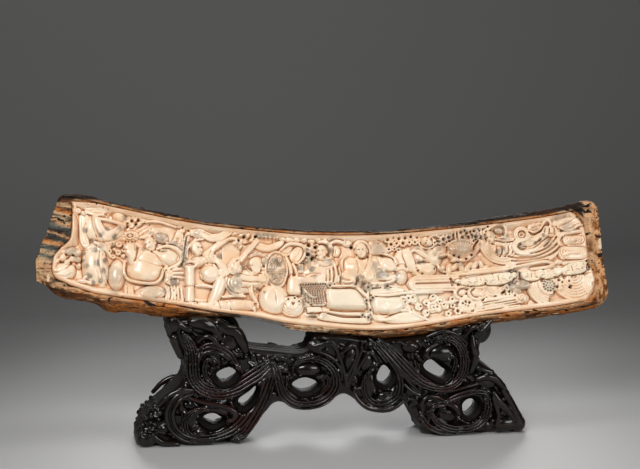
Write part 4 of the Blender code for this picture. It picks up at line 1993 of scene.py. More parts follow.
@dataclass
class CarvedFace:
    """The ivory inside the bark: a sunk field with a smooth border, and the scene carved in it."""

    form: TuskForm
    cell: float = 0.7
    back: float = -26.0
    floor: float = -8.5
    rim: float = 2.0
    cove: float = 9.0
    gold: float = 0.75
    keep: float = 0.42
    parts: int = 5
    span: tuple = (-328, 346)
    height: tuple = (-64, 61)
    top: float = 3.4
    crease: float = 1.4
    shade: float = 6.0
    floor_seed: int = 3
    stain_seed: int = 17
    age_seed: int = 29
    left_edge: tuple = (
        (-300, 106), (-299, 100), (-300, 78), (-301, 68), (-303, 60), (-307, 55), (-313, 50),
        (-319, 44), (-323, 38), (-325, 26), (-324, 18), (-320, 12), (-312, 8), (-305, 4),
    )  # fmt: skip
    right_edge: tuple = (
        (330, -33), (338, -24), (342, -12), (343, -4), (341, 5), (337, 12), (336, 26), (336, 45), (335, 58),
        (331, 70),
        (323, 77),
    )  # fmt: skip
    # how far the ivory reaches below the flat face along the tusk
    sag: tuple = (
        (-300, -2.2), (-240, -1.2), (-205, 0.6), (-165, 3), (-135, 5.6), (-90, 6.4), (-40, 6), (20, 5.2),
        (80, 4), (130, 2.6), (200, 1), (356, 0),
    )  # fmt: skip
    # blots of grey staining, and of painted shade in holes, cracks, gaps and recesses
    stain_and_shade_blots: list = field(default_factory=list)
    # patches browner (over 0) or paler (under 0) than the rest: (x, v, radius, strength); the browner ones
    # are aged tone, the paler ones along the lower middle are painted light
    patches: tuple = (
        (178, 40, 30, 0.5), (150, 30, 20, 0.3), (214, 36, 26, 0.3), (246, 14, 24, 0.15), (300, 70, 26, 0.2),
        (335, 40, 16, 0.4), (-250, 62, 26, 0.3), (-40, -30, 36, -0.4), (0, -28, 36, -0.6),
        (40, -30, 40, -0.7),
        (96, -32, 38, -0.9), (136, -38, 34, -0.7), (200, -38, 36, -0.35),
    )  # fmt: skip

    def edge(self, side: int, x: Array, inset: float) -> Array:
        """Return the upper (1) or lower (-1) edge of the flat face at stations x, moved inwards.

        Args:
            side: 1 or -1.
            x: Stations along the tusk.
            inset: How far the edge is moved inwards.

        Returns:
            Points in X and V.
        """
        form = self.form
        up = side * (form.along(form.half, x) * form.share * form.taper(x) - inset)
        return np.column_stack([x + form.tilt(x) * up, form.along(form.middle, x) + up])

    def field(self, inset: float = 0.0) -> Array:
        """Return the ivory's outline, anticlockwise, moved inwards by inset.

        Args:
            inset: How far the outline is moved inwards.

        Returns:
            Corners in X and V.
        """
        stations = np.linspace(-285, 320, 60)
        left = through(self.left_edge, 4)[::-1] + (inset, 0)
        low = self.edge(-1, stations, 1.2 + inset)
        low = low[low[:, 0] > left[-1][0] + 22]
        top = self.edge(1, stations[::-1], 0.8 + inset)
        top = top[top[:, 0] > -296 + inset]
        low[:, 1] -= self.form.along(self.sag, low[:, 0])
        right = np.array(self.right_edge) - (inset, 0)
        return np.vstack([left[::-1], low, right, top])

    def grid(self) -> Block:
        """Return the empty block that the face is carved from.

        Returns:
            The block, which follows the tusk's curve.
        """
        x = np.arange(*self.span, self.cell)
        up = np.arange(*self.height, self.cell)
        deep = np.arange(self.back, self.top, self.cell)
        return Block(x, up, deep, self.form.along(self.form.middle, x))

    def ground(self, block: Block) -> None:
        """Lay the field: a rim round it, a cove inside the rim, and an uneven floor.

        Args:
            block: The block to carve.
        """
        line = self.field()
        noise = Noise(self.floor_seed)

        def trough(x: Array, v: Array, n: Array) -> Array:
            """Return the distance to the rimmed field.

            Args:
                x: Places along X.
                v: Places along V.
                n: Places along N.

            Returns:
                The distances.
            """
            flat_x, flat_v = x[:, :, 0], v[:, :, 0]
            inside = -outline_distance(flat_x, flat_v, line)
            uneven = 3.0 * (noise.layers(flat_x * 0.05, flat_v * 0.07, 0 * flat_v, 3) - 0.5)
            sunk = smooth_step(inside, self.rim, self.rim + self.cove)
            fall = 3.6 * smooth_step(flat_x, 314, 332) * (1 - sunk)
            level = -0.4 - fall - 0.9 * (1 - smooth_step(inside, 0.0, 2.2)) + (self.floor + uneven) * sunk
            return np.maximum(np.maximum(n - level[:, :, None], self.back - 4 - n), -inside[:, :, None])

        low, high = line.min(0), line.max(0)
        block.join((*low, self.back - 4), (*high, 0), trough, SHARP)

    def trim(self, block: Block) -> None:
        """Cut away whatever reaches past the rim of the field.

        Args:
            block: The block to carve.
        """
        line = self.field(-0.2)

        def outside(x: Array, v: Array, n: Array) -> Array:
            """Return the distance to what lies past the rim."""
            out = outline_distance(x[:, :, 0], v[:, :, 0], line)[:, :, None]
            return -np.maximum(out, n - 0.4 + 0.25 * np.maximum(out + 6, 0))

        block.cut((-330, -80, self.back - 4), (350, 130, 4), outside, 0.8)

    def stain(self, *blots: tuple) -> None:
        """Note grey staining and painted shade, each (x, v, radius) or (x, v, radius, strength); the
        strongest paint holes, cracks and cuts near-black as painted shade.
        """
        self.stain_and_shade_blots.extend(blots)

    def stain_and_shade(self, points: Array) -> Array:
        """Return the strength of staining and painted shade at each place.

        Args:
            points: X, V and N of each place.

        Returns:
            Strengths from 0 to 1.
        """
        noise = Noise(self.stain_seed)
        wobble = 1 + 0.8 * (noise.at(points[:, 0] * 0.3, points[:, 1] * 0.3, points[:, 2] * 0.1) - 0.5)
        total = np.zeros(len(points))
        for x, v, radius, *strength in self.stain_and_shade_blots:
            close = np.abs(points[:, 0] - x) < radius * 2
            off = np.hypot(points[close, 0] - x, points[close, 1] - v) / radius * wobble[close]
            held = total[close]
            total[close] = np.maximum(
                held, (strength[0] if strength else 0.7) * (1 - smooth_step(off, 0.55, 1.15))
            )
        return total

    def age(self, points: Array) -> Array:
        """Return how aged each place is, from 0 for pale to 1 for brown; the paler patches of the lower
        middle are painted light.

        Args:
            points: X, V and N of each place.

        Returns:
            Ages from 0 to 1.
        """
        noise = Noise(self.age_seed)
        wobble = 0.7 + 0.6 * noise.at(points[:, 0] * 0.12, points[:, 1] * 0.12, points[:, 2] * 0.1)
        total = np.zeros(len(points))
        for x, v, radius, strength in self.patches:
            off = np.hypot(points[:, 0] - x, points[:, 1] - v) / radius
            total += strength * wobble * (1 - smooth_step(off, 0.3, 1.3))
        inside = -outline_distance(points[:, 0], points[:, 1], self.field())
        total = total * smooth_step(inside, 2, 6) + self.gold * (1 - smooth_step(inside * wobble, 0.6, 5.5))
        return np.clip(0.5 + 0.5 * total, 0, 1)

    def build(self, block: Block) -> None:
        """Turn the carved block into meshes side by side, each with its back closed flat.

        Args:
            block: The carved block.
        """
        block.soften()
        # both measure how enclosed each place is; the ivory's finish paints shade from them
        grids = {"hollow": block.occupancy(self.crease), "shelter": block.occupancy(self.shade)}
        for number, (part, maps) in enumerate(block.slices(self.parts, grids), 1):
            net = part.net(maps, open_back=True)
            # the blots carry staining and painted shade; the tone patches carry aged tone and painted light
            net.values["stain_and_shade"] = self.stain_and_shade(net.points)
            net.values["age"] = self.age(net.points)
            faces = net.quads.tolist() + close_loops(net.quads)
            piece = mesh_object(f"carved_face_{number}", self.form.to_model(net.points), faces, net.values)
            thin(piece, self.keep)
            dress(piece, CarvedIvory(), "mammoth_ivory")


def close_loops(quads: Array) -> list[list[int]]:
    """Return one face for each open loop of a net, turned to face outwards.

    Args:
        quads: Corners of each face of the net.

    Returns:
        Corners of each new face.
    """
    edges = np.concatenate([quads[:, [0, 1]], quads[:, [1, 2]], quads[:, [2, 3]], quads[:, [3, 0]]])
    paired = {(int(a), int(b)) for a, b in edges}
    following = {b: a for a, b in paired if (b, a) not in paired}
    loops = []
    while following:
        start = next(iter(following))
        loop, here = [start], following.pop(start)
        while here != start and here in following:
            loop.append(here)
            here = following.pop(here)
        if len(loop) > 2:
            loops.append(loop)
    return loops


# ---------------------------------------------------------------- the carved scene, from left to right


@dataclass
class Scene:
    """One stretch of the carved scene, cut from the shared block."""

    face: CarvedFace
    block: Block

    def all(self, *motifs: object) -> None:
        """Carve motifs in order.

        Args:
            *motifs: Motifs with a carve method.
        """
        for motif in motifs:
            motif.carve(self.block)
            if isinstance(motif, Head):
                # painted shade: each head's eye sockets and mouth line are blotted dark
                self.face.stain(*motif.marks())

    def lumps(self, *rows: tuple, blend: float = 0.8) -> None:
        """Join ellipsoids given as (x, v, n, rx, rv, rn) or with a turn in degrees."""
        for x, v, n, rx, rv, rn, *turn in rows:
            self.block.egg((x, v, n), (rx, rv, rn), turn[0] if turn else 0.0, blend)

    def holes(self, *places: tuple, radius: float = 1.5, depth: float = 6.0) -> None:
        """Drill deep holes, painted near-black inside as painted shade."""
        self.block.prick(places, radius, depth)
        # painted shade: each hole is blotted near-black
        self.face.stain(*[(x, v, radius * 1.3, 1.0) for x, v in places])


@dataclass
class PeachAndFlutist(Scene):
    """The left end: a peach under a rock, and a flute player in a patched robe."""

    patches: tuple = (
        (-284, 70, 3.6), (-277, 57, 3.4), (-273, 46, 4.0), (-258, 71, 3.8), (-250, 61, 4.6), (-266, 63, 3.2),
        (-272, 29, 4.4), (-285, 27, 3.8), (-264, 19, 4.2), (-281, 14, 3.8), (-268, 8, 3.4), (-277, 6, 3.0),
        (-261, 33, 3.8), (-287, 42, 2.8), (-288, 33, 2.4), (-252, 50, 2.6), (-243, 72, 3.0),
    )  # fmt: skip
    rocks: tuple = (
        (-319, 34, 4.6), (-312, 38, 5.4), (-303, 46, 6.6), (-295, 43, 5.6), (-301, 36, 4.6), (-294, 35, 4.4),
        (-307, 32, 4.0), (-311, 45, 4.4), (-293, 27, 4.0),
    )  # fmt: skip

    def carve(self) -> None:
        """Carve the end from the wall inwards."""
        self.peach()
        self.robe()
        self.flute()
        self.knee()
        self.face.stain(*[(x, v, r * 1.05, 0.85) for x, v, r in self.patches])
        self.face.stain((-301, 45, 8, 0.45), (-295, 38, 6, 0.45), (-249, 14, 14, 0.35), (-236, 84, 5, 0.5))
        self.face.stain((-266, 50, 4, 0.4), (-251, -4, 7, 0.35), (-283, 12, 3, 0.5))

    def peach(self) -> None:
        """Carve the peach with its cleft, and the rock over it."""
        b = self.block
        for x, v, r in self.rocks:
            b.egg((x, v, -7), (r, r * 0.85, 6), x * 31 % 60, 0.5)
            b.score([curl((x, v), r * 0.62, 0.8, x * 7)], 0.5, 0.7)
        b.prick([(-305, 38), (-299, 40), (-296, 31), (-308, 41), (-302, 31.5), (-315, 33)], 1.1, 2.4)
        self.lumps((-313, 20, -9, 13.5, 11.5, 10.5), (-304, 21, -9.5, 8, 9.5, 9.5), blend=1.2)
        b.score([[(-323, 19.5), (-315, 20), (-308, 24), (-302, 30)]], 0.9, 1.6)
        b.score([[(-316, 15), (-309, 14), (-302, 18)], [(-300, 13), (-296, 20), (-298, 28)]], 0.6, 0.9)
        b.score([[(-299, 92), (-293, 84), (-292.5, 66), (-293, 54), (-302, 50), (-313, 47)]], 0.8, 1.0)

    def robe(self) -> None:
        """Carve the patched robe: hanging sleeve, arms, chest and skirt."""
        b = self.block
        self.lumps(
            (-275, 74, -10, 12, 16, 8), (-258, 62, -9, 14, 14, 9), (-246, 66, -10, 10, 10, 8), blend=2.5
        )
        self.lumps(
            (-275, 29, -10, 15, 27, 10.5), (-266, 22, -10, 9, 22, 9.5), (-264, 48, -9, 11, 9, 8), blend=2.5
        )
        sleeve = [(-291, 89), (-291.5, 72), (-291, 58), (-287.5, 50), (-283, 48.5), (-279.5, 52), (-280, 58),
                  (-283, 65), (-283, 73), (-280, 81), (-280, 89)]  # fmt: skip
        b.plate(sleeve, -16, -3.2, 2.0, 0.5, dome=1.4)
        b.score(
            [[(-288.6, 86), (-289, 70), (-288.5, 58), (-285.6, 52.5), (-282.2, 54), (-284, 62), (-286, 70),
              (-283, 80)]], 0.6, 0.9
        )
        b.score([[(-294, 89), (-294, 70), (-293.6, 57), (-289, 47.6), (-283, 46), (-278, 49)]], 0.8, 1.2)
        self.lumps(
            (-292, 94, -5, 4, 3.6, 4.6), (-285.5, 91, -5, 3.6, 3.2, 4.4),
            (-297, 99, -6, 3.4, 3, 4), blend=0.5
        )
        b.prick([(-292, 94.5), (-284, 91.5), (-298, 99)], 1.0, 2.6)
        b.rope([(-271, 86, -4.5), (-268, 76, -3), (-261, 63, -3)], [4.4, 4.8, 5.2], 1.2)
        b.rope([(-240, 74, -5), (-249, 68, -3), (-259, 61, -2.5)], [4.0, 5.0, 5.6], 1.4)
        b.score(
            [[(-277, 86), (-275, 74), (-271, 62)], [(-265, 84), (-262, 76), (-256, 70), (-246, 74)]],
            0.8, 1.2
        )
        b.score(
            [[(-272, 58), (-262, 55), (-250, 57), (-241, 62)], [(-264, 56), (-258, 50), (-249, 47)]],
            0.8, 1.1
        )
        b.score(
            [[(-288, 47), (-290, 30), (-289, 16), (-283, 7)], [(-268, 44), (-269, 28), (-266, 10)]],
            0.8, 1.2
        )
        b.score(
            [[(-272, 42), (-273.5, 26), (-270, 9)], [(-286, 40), (-284, 22)],
             [(-264, 42), (-264, 30), (-261, 16)]], 0.6, 0.7
        )
        b.score(
            [[(-279, 47), (-277, 40)], [(-283, 6), (-275, 3.6), (-266, 5)], [(-262, 44), (-259, 36)]],
            0.6, 0.8
        )
        b.rope(
            [(-274, 55, -2.4), (-266, 50, -1.6), (-259, 44, -1.8), (-255, 37, -3)],
            [2.0, 2.6, 2.4, 1.8], 0.4
        )
        b.score([[(-273, 53), (-265, 48), (-258, 42)]], 0.45, 0.7)
        b.score(
            [[(-270 + 2.4 * i, 54.5 - 1.9 * i), (-272 + 2.4 * i, 49.5 - 1.9 * i)] for i in range(6)],
            0.4, 0.5
        )
        self.lumps((-289, 8.5, -6, 7.4, 3.0, 4.6, -8), (-279, 6, -6.5, 6, 2.4, 4, -10), blend=0.5)
        self.all(Leaf(tuple(map(tuple, arc((-284, 13), (5, 3.4), 0, 330, 9))), (-284, 10), -3.0, 2.4, 1, 4))

    def flute(self) -> None:
        """Carve the flute, the cap over it and the bent head behind."""
        b = self.block
        cap = [(-284, 100), (-273, 101), (-262, 98.5), (-254, 94), (-262, 90), (-275, 92), (-284, 95)]
        b.plate(cap, -14, -3.2, 1.4, 0.4, dome=1.5)
        b.score(
            [[(-281, 98), (-271, 98.6), (-261, 96)], [(-278, 94.6), (-268, 94.4), (-259, 92.8)]], 0.5, 0.8
        )
        b.prick([(-280, 101), (-270, 101), (-262, 97.4), (-256, 95)], 1.0, 2.4)
        b.rope([(-252, 96, -6), (-246, 93, -5), (-240, 92, -6)], [2.2, 2.6, 2.0], 0.4)
        b.rope([(-283, 93, -6), (-272, 89.4, -4.6), (-262, 88.4, -5)], 1.9, 0.4)
        b.prick([(-272.5 + 2.1 * i, 86.3) for i in range(7)], 0.8, 2.0)
        b.rope([(-266, 83.6, -2.4), (-252, 80.2, -1.8), (-235, 74.4, -2.4)], [2.0, 2.1, 2.4], 0.3)
        b.egg((-243, 85, -6.4), (8.6, 6.4, 6), -24, 0.5)
        b.score([curl((-246, 84), 4, 1.0, 40), arc((-242, 85), (7.5, 5.2), -40, 70)], 0.5, 0.8)
        b.score([[(-256, 86), (-253, 90), (-250, 93)], [(-259, 90), (-256, 85)]], 0.7, 1.2)

    def knee(self) -> None:
        """Carve the raised knee, the beads beside it and the hem below."""
        b = self.block
        knee = (-248.5, 14.5, -8.5, 10.5, 19.5, 9.0)
        b.egg(knee[:3], knee[3:], -5, 0.6)
        b.score([arc((-247.5, 16), (9.5, 19.5), 35, 150)], 0.8, 1.2)
        b.score([[(-247, 2), (-244, 7), (-246, 12)], [(-251, -1), (-249, 5)]], 0.5, 0.6)
        b.score(
            [[(-262, 13), (-257, 2), (-249, -7), (-242, -12)], [(-264, 8), (-258, -1), (-251, -8)]],
            0.7, 1.1
        )
        for x, v, r in (
            (-244.5, 52, 3.8), (-246, 42, 3.4), (-256, 44, 2.6), (-239, 45, 2.6), (-252, 37, 2.4)
        ):
            b.egg((x, v, -6), (r * 1.15, r, 4), 0, 0.3)
            b.rope(np.column_stack([arc((x, v), r * 0.8, 0, 360), np.full(16, -3.0)]), 0.9, 0.3, steps=1)
            b.prick([(x, v)], r * 0.4, 2.4)
        self.lumps(
            (-257, 50, -7, 4, 3, 4, 30), (-250, 46, -7, 3, 2.4, 4, -30), (-240, 38, -7, 3, 3, 4), blend=0.4
        )
        b.prick([(-250, 42), (-241, 41), (-252, 53), (-239, 49)], 0.9, 2.4)


@dataclass
class RecliningMonk(Scene):
    """A stout monk lies back with one fist raised, a post and a tree at his side."""

    def carve(self) -> None:
        """Carve the figure and what stands round it."""
        self.foliage()
        self.body()
        self.pillow()
        self.lap()
        self.post()
        # the blot at -181, 5 under the hand is a painted shadow
        self.face.stain((-194, 59, 9, 0.55), (-181, 5, 6, 0.85), (-209, -8, 15, 0.3), (-192, -6, 4, 0.5))
        self.face.stain(
            (-184, 52, 3.4, 0.6), (-176, 51, 3.4, 0.6), (-170, 46, 3.4, 0.6), (-222, 48, 2.6, 0.9)
        )
        self.face.stain((-191, 43, 4, 0.5), (-205, 65, 4, 0.5), (-215, 46, 3, 0.5))
        # painted shade down the recessed tree trunk
        self.face.stain(*[(-163 - 0.06 * (62 - v) ** 1.25, v, 3.4, 0.7) for v in range(26, 62, 4)])

    def foliage(self) -> None:
        """Carve the leaves under the top border and the open flower."""
        b = self.block
        b.plate(
            [(-216, 83), (-206, 86.5), (-192, 83), (-178, 77), (-186, 75), (-200, 79.5), (-214, 79)],
            -20, -4, 1.4, 0.5
        )
        b.rope([(-216, 78, -4), (-203, 79, -3), (-189, 76, -3), (-176, 71.5, -4)], 1.5, 0.3)
        b.score([[(-213, 83), (-201, 83), (-188, 79)], [(-198, 77), (-190, 75)]], 0.5, 0.8)
        b.plate([(-208, 63), (-203, 73), (-186, 71.5), (-181, 63)], -26, -8.5, 1, 0.5, smooth=False)
        for x, v, r in (
            (-232, 83, 4), (-225, 84, 4), (-217, 82, 3.6), (-229, 76, 3.6), (-220, 76, 3.6), (-238, 78, 3.4)
        ):
            self.all(Swirl((x, v), r, -5, 1.1, 40 + x * 7, 2.2))
        self.holes((-228, 81), (-220, 81.5), (-234, 74.5), (-223, 77), radius=1.2, depth=6)
        b.score(
            [[(-224, 70), (-216, 75), (-212, 79)], [(-220, 67), (-212, 72), (-206, 76)],
             [(-216, 64), (-208, 69)]], 0.8, 1.2
        )
        petals = arc((-231, 62), (12, 7), 0, 340, 14)
        b.plate(petals, -16, -4.4, 1.8, 0.4, dome=1.6)
        b.rope(np.column_stack([arc((-231, 62), (5.4, 3.8), 0, 360), np.full(16, -2.6)]), 1.2, 0.3)
        b.egg((-231, 62, -2.6), (2.6, 1.9, 1.8), 0, 0.3)
        b.score([[(-231 + 6.6 * c, 62 + 4.4 * s), (-231 + 11 * c, 62 + 6.6 * s)] for c, s in
                 [(math.cos(a), math.sin(a)) for a in np.linspace(0.3, 6.6, 9)]], 0.5, 0.8)  # fmt: skip
        b.rope([(-219, 60, -5.4), (-212, 61, -5.4), (-207, 66, -6)], [2, 2.4, 1.8], 0.4)
        b.score([[(-224, 58), (-219, 62), (-214, 66)], [(-222, 54), (-217, 58)]], 0.6, 1.0)

    def body(self) -> None:
        """Carve fist, chest, shoulder and belly."""
        b = self.block
        self.lumps((-214, 19, -10.5, 24, 17.5, 11.5), blend=1.0)
        self.lumps((-207, 35, -10, 19, 12, 10.5, -8), (-216, 33, -10, 14, 14, 10.5), blend=3.5)
        b.rope([(-232, 47, -5.4), (-229, 38, -5.4), (-229, 30, -6)], [8.2, 6.2, 5.2], 1.0)
        b.score([[(-236.5 + 3.8 * i, 57), (-236.6 + 3.6 * i, 45)] for i in range(4)], 0.6, 1.2, smooth=False)
        b.score(
            [[(-240, 46), (-232, 43), (-225, 45)], [(-224, 56), (-222.5, 46), (-224, 38), (-227, 31)]],
            0.8, 1.4
        )
        b.score([[(-227, 31), (-219, 40), (-212, 48)]], 0.7, 1.0)
        self.all(Head((-207, 51.5, -4.6), 9.6, -26, 6, 24))
        b.score([[(-206, 41.5), (-201, 38.5), (-196.5, 33)]], 1.0, 2.0)
        b.score([[(-222, 31), (-209, 27), (-197, 24), (-191, 26)]], 0.7, 0.8)
        b.egg((-186, 34.5, -8), (15.4, 11.6, 8.8), -4, 0.8)
        cuff = [
            (-199, 45.5, -4), (-187, 48, -2.6), (-175.5, 44, -2.6), (-169.5, 35.5, -2.8), (-173, 27, -3.4),
            (-182, 22.6, -4.4)
        ]
        b.rope(cuff, [1.6, 2.2, 2.6, 2.6, 2.2, 1.8], 0.4)
        b.score([[(-196, 42.6), (-187, 44), (-178.5, 41), (-174.5, 35.6), (-176.5, 30)]], 0.8, 1.4)
        b.egg((-190, 43, -1.6), (6.4, 1.7, 2), -3, 0.3)
        b.score([[(-200, 36), (-194, 29), (-186, 25)]], 0.6, 0.8)
        band = [
            (-238.5, 31, -5), (-239.5, 18, -3.4), (-235, 8.5, -2.8), (-222, 4.6, -2.6), (-208, 3, -2.6),
            (-200, 5, -2.8)
        ]
        b.rope([*band, (-195, 11, -3), (-193, 18, -4), (-188, 24, -5)], 1.9, 0.4)
        b.score(
            [[(-236, 30), (-236.6, 18), (-232.4, 11), (-221, 7.6), (-208, 6), (-201, 8), (-197, 14),
              (-195, 20)]], 0.7, 1.4
        )

    def pillow(self) -> None:
        """Carve the roll behind the head, the board and the leaves of the tree."""
        b = self.block
        b.egg((-194, 59, -6.4), (10.5, 6.6, 6), -22, 0.5)
        b.score(
            [curl((-192.5, 58.5), 5, 1.4, 150), arc((-194, 59), (9, 5.4), 20, 200),
             arc((-191, 58), (6.6, 5), -60, 60)], 0.5, 0.9
        )
        b.rope([(-209, 60, -5), (-203, 65, -4), (-195, 66, -4.4)], [1.6, 2.0, 1.6], 0.4)
        b.plate(
            [(-187, 47.5), (-181, 55), (-173, 69), (-166.5, 68), (-166.5, 50), (-175, 46)], -16, -4.4, 1.2,
            0.5, smooth=False
        )
        b.rope(np.column_stack([arc((-174, 56), (3.2, 4.2), 0, 360), np.full(16, -4.2)]), 1.1, 0.3, steps=1)
        b.score([[(-184, 50), (-177, 60), (-171, 67)]], 0.5, 0.8)
        b.rope(
            [(-187, 52, -3), (-179, 52, -2.2), (-171, 47, -2.6), (-167, 42, -4)], [1.6, 2.0, 2.0, 1.4], 0.3
        )
        trunk = [(-159.5, 64, -7), (-163, 48, -7.4), (-166, 34, -7.6), (-171, 23.5, -8)]
        b.rope([(x, v, n + 3) for x, v, n in trunk], [3.4, 3.4, 3.2, 2.2], 0.6, take=True)
        b.rope([(x, v, n - 2.4) for x, v, n in trunk], [2.4, 2.6, 2.6, 1.6], 0.5)
        b.rope([(-164, 62, -4), (-167.4, 46, -3.6), (-168.6, 36, -4)], [1.2, 1.3, 1.1], 0.3)
        for x, v, r in (
            (-163, 71, 3.8), (-157, 67, 3.6), (-168, 67, 3.4), (-160, 63, 3.2),
            (-171, 73, 3.4), (-152, 71, 3)
        ):
            self.all(Leaf(tuple(map(tuple, arc((x, v), (r * 1.3, r), 0, 330, 8))), (x, v - r), -4.4, 2, 1, 4))
        b.prick([(-165, 63), (-160, 67), (-155, 63), (-167, 71)], 0.9, 2.6)

    def lap(self) -> None:
        """Carve the open hand, the roll under the belly and the folds beside it."""
        b = self.block
        b.egg((-185.6, 12, -4.4), (5.4, 8.2, 4.2), 8, 0.8)
        for v, tip, turn in ((18.6, -171, 1.6), (14.6, -169, 0.4), (10.4, -170, -1.2)):
            b.rope(
                [(-181, v, -3.4), (-176, v + 0.4 * turn, -2.8), (tip, v + turn, -3.6)], [1.7, 1.7, 1.2], 0.3
            )
        b.rope([(-187, 20, -4), (-182, 22.4, -3.4), (-176, 22, -4)], [1.8, 1.7, 1.2], 0.3)
        b.score([[(-189, 19), (-187.6, 13), (-188, 7)], [(-184, 17.6), (-183.4, 10)]], 0.5, 0.8)
        b.rope([(-189, 6, -4.4), (-183, 3.4, -3.4), (-176.5, 5, -4.4)], [3.0, 3.6, 2.8], 0.5)
        b.prick([(-188, 5), (-184.6, 3), (-181, 4.6), (-178, 5.6), (-183, 7)], 1.1, 1.6)
        b.egg((-209, -8.4, -7), (19, 9.6, 9), 2, 0.5)
        b.score(
            [[(-226 + 3.0 * i, -3 + 0.6 * i), (-221.5 + 3.0 * i, -10.5 + 0.4 * i)] for i in range(5)],
            0.5, 0.8, low=-7
        )
        b.score([arc((-209, -8), (15, 7), -70, 60), [(-221, -1.5), (-212, 0), (-203, -1)]], 0.6, 0.8)
        for x, tip in ((-238, 1), (-234, 1.6), (-230.4, 0.6)):
            b.rope([(x, -13.5, -5), (x - 0.4, -5, -4), (x, tip, -5)], [1.9, 2.0, 1.7], 0.3)
        b.rope([(-190.6, -1, -4), (-188.4, -9, -4), (-192, -18, -5)], [1.7, 2.0, 1.5], 0.4)
        folds = ((-187, -2), (-183.6, -1), (-180, -1), (-176, -2), (-172, -3))
        for number, (x, v) in enumerate(folds):
            b.rope([(x, v, -5), (x + 0.6, -11, -5), (x - 2.5 + number, -22, -6)], [1.5, 1.9, 2.2], 0.5)
        b.score([[(-185, -3), (-184.4, -12), (-188, -20)], [(-174, -4), (-174, -14), (-177, -23)]], 0.6, 1.0)
        b.prick([(-180, -6), (-178, -12)], 0.9, 1.6)

    def post(self) -> None:
        """Carve the turned post with its rings."""
        b = self.block
        b.rope([(-160.6, 20, -5.4), (-161, 0, -4.8)], [5.8, 5.4], 0.5, steps=1)
        b.rope([(-161.4, -2.6, -4.8), (-162, -22, -5.4)], [5.0, 6.2], 0.5, steps=1)
        b.score(
            [[(-168, -0.6), (-161, -1.8), (-154, -0.6)], [(-169, -19.6), (-162, -21.4), (-155, -19.6)]],
            0.7, 1.6
        )
        b.rope([(-168.6, -22, -4), (-162, -24, -3), (-155.6, -22, -4)], 1.6, 0.4)
        b.rope([(-165, 20, -4), (-160.4, 18.6, -3.4), (-156, 20, -4)], 1.5, 0.4)
        b.rope(np.column_stack([arc((-160, 25), (7.6, 3.6), 0, 360), np.full(16, -2.6)]), 1.7, 0.4, steps=1)
        b.egg((-160, 25, -2), (5, 2.0, 3), 0, 0.3, take=True)
        b.score([[(-163.5, 15), (-163.6, 4)], [(-158.4, 16), (-158.2, 3)]], 0.5, 0.4)
        self.lumps((-150, -1, -5, 5.6, 1.9, 3.4, 2), (-144, -2, -5, 4, 1.7, 3.4), blend=0.4)
        b.rope([(-155, -18, -5), (-149, -19.4, -4), (-143, -19, -5)], [1.8, 2.2, 1.8], 0.4)
        self.all(Folds(((-152, -21), (-142, -22)), ((-153, -26), (-140, -28)), 3, -5, -6, 3.6, 0, 2))


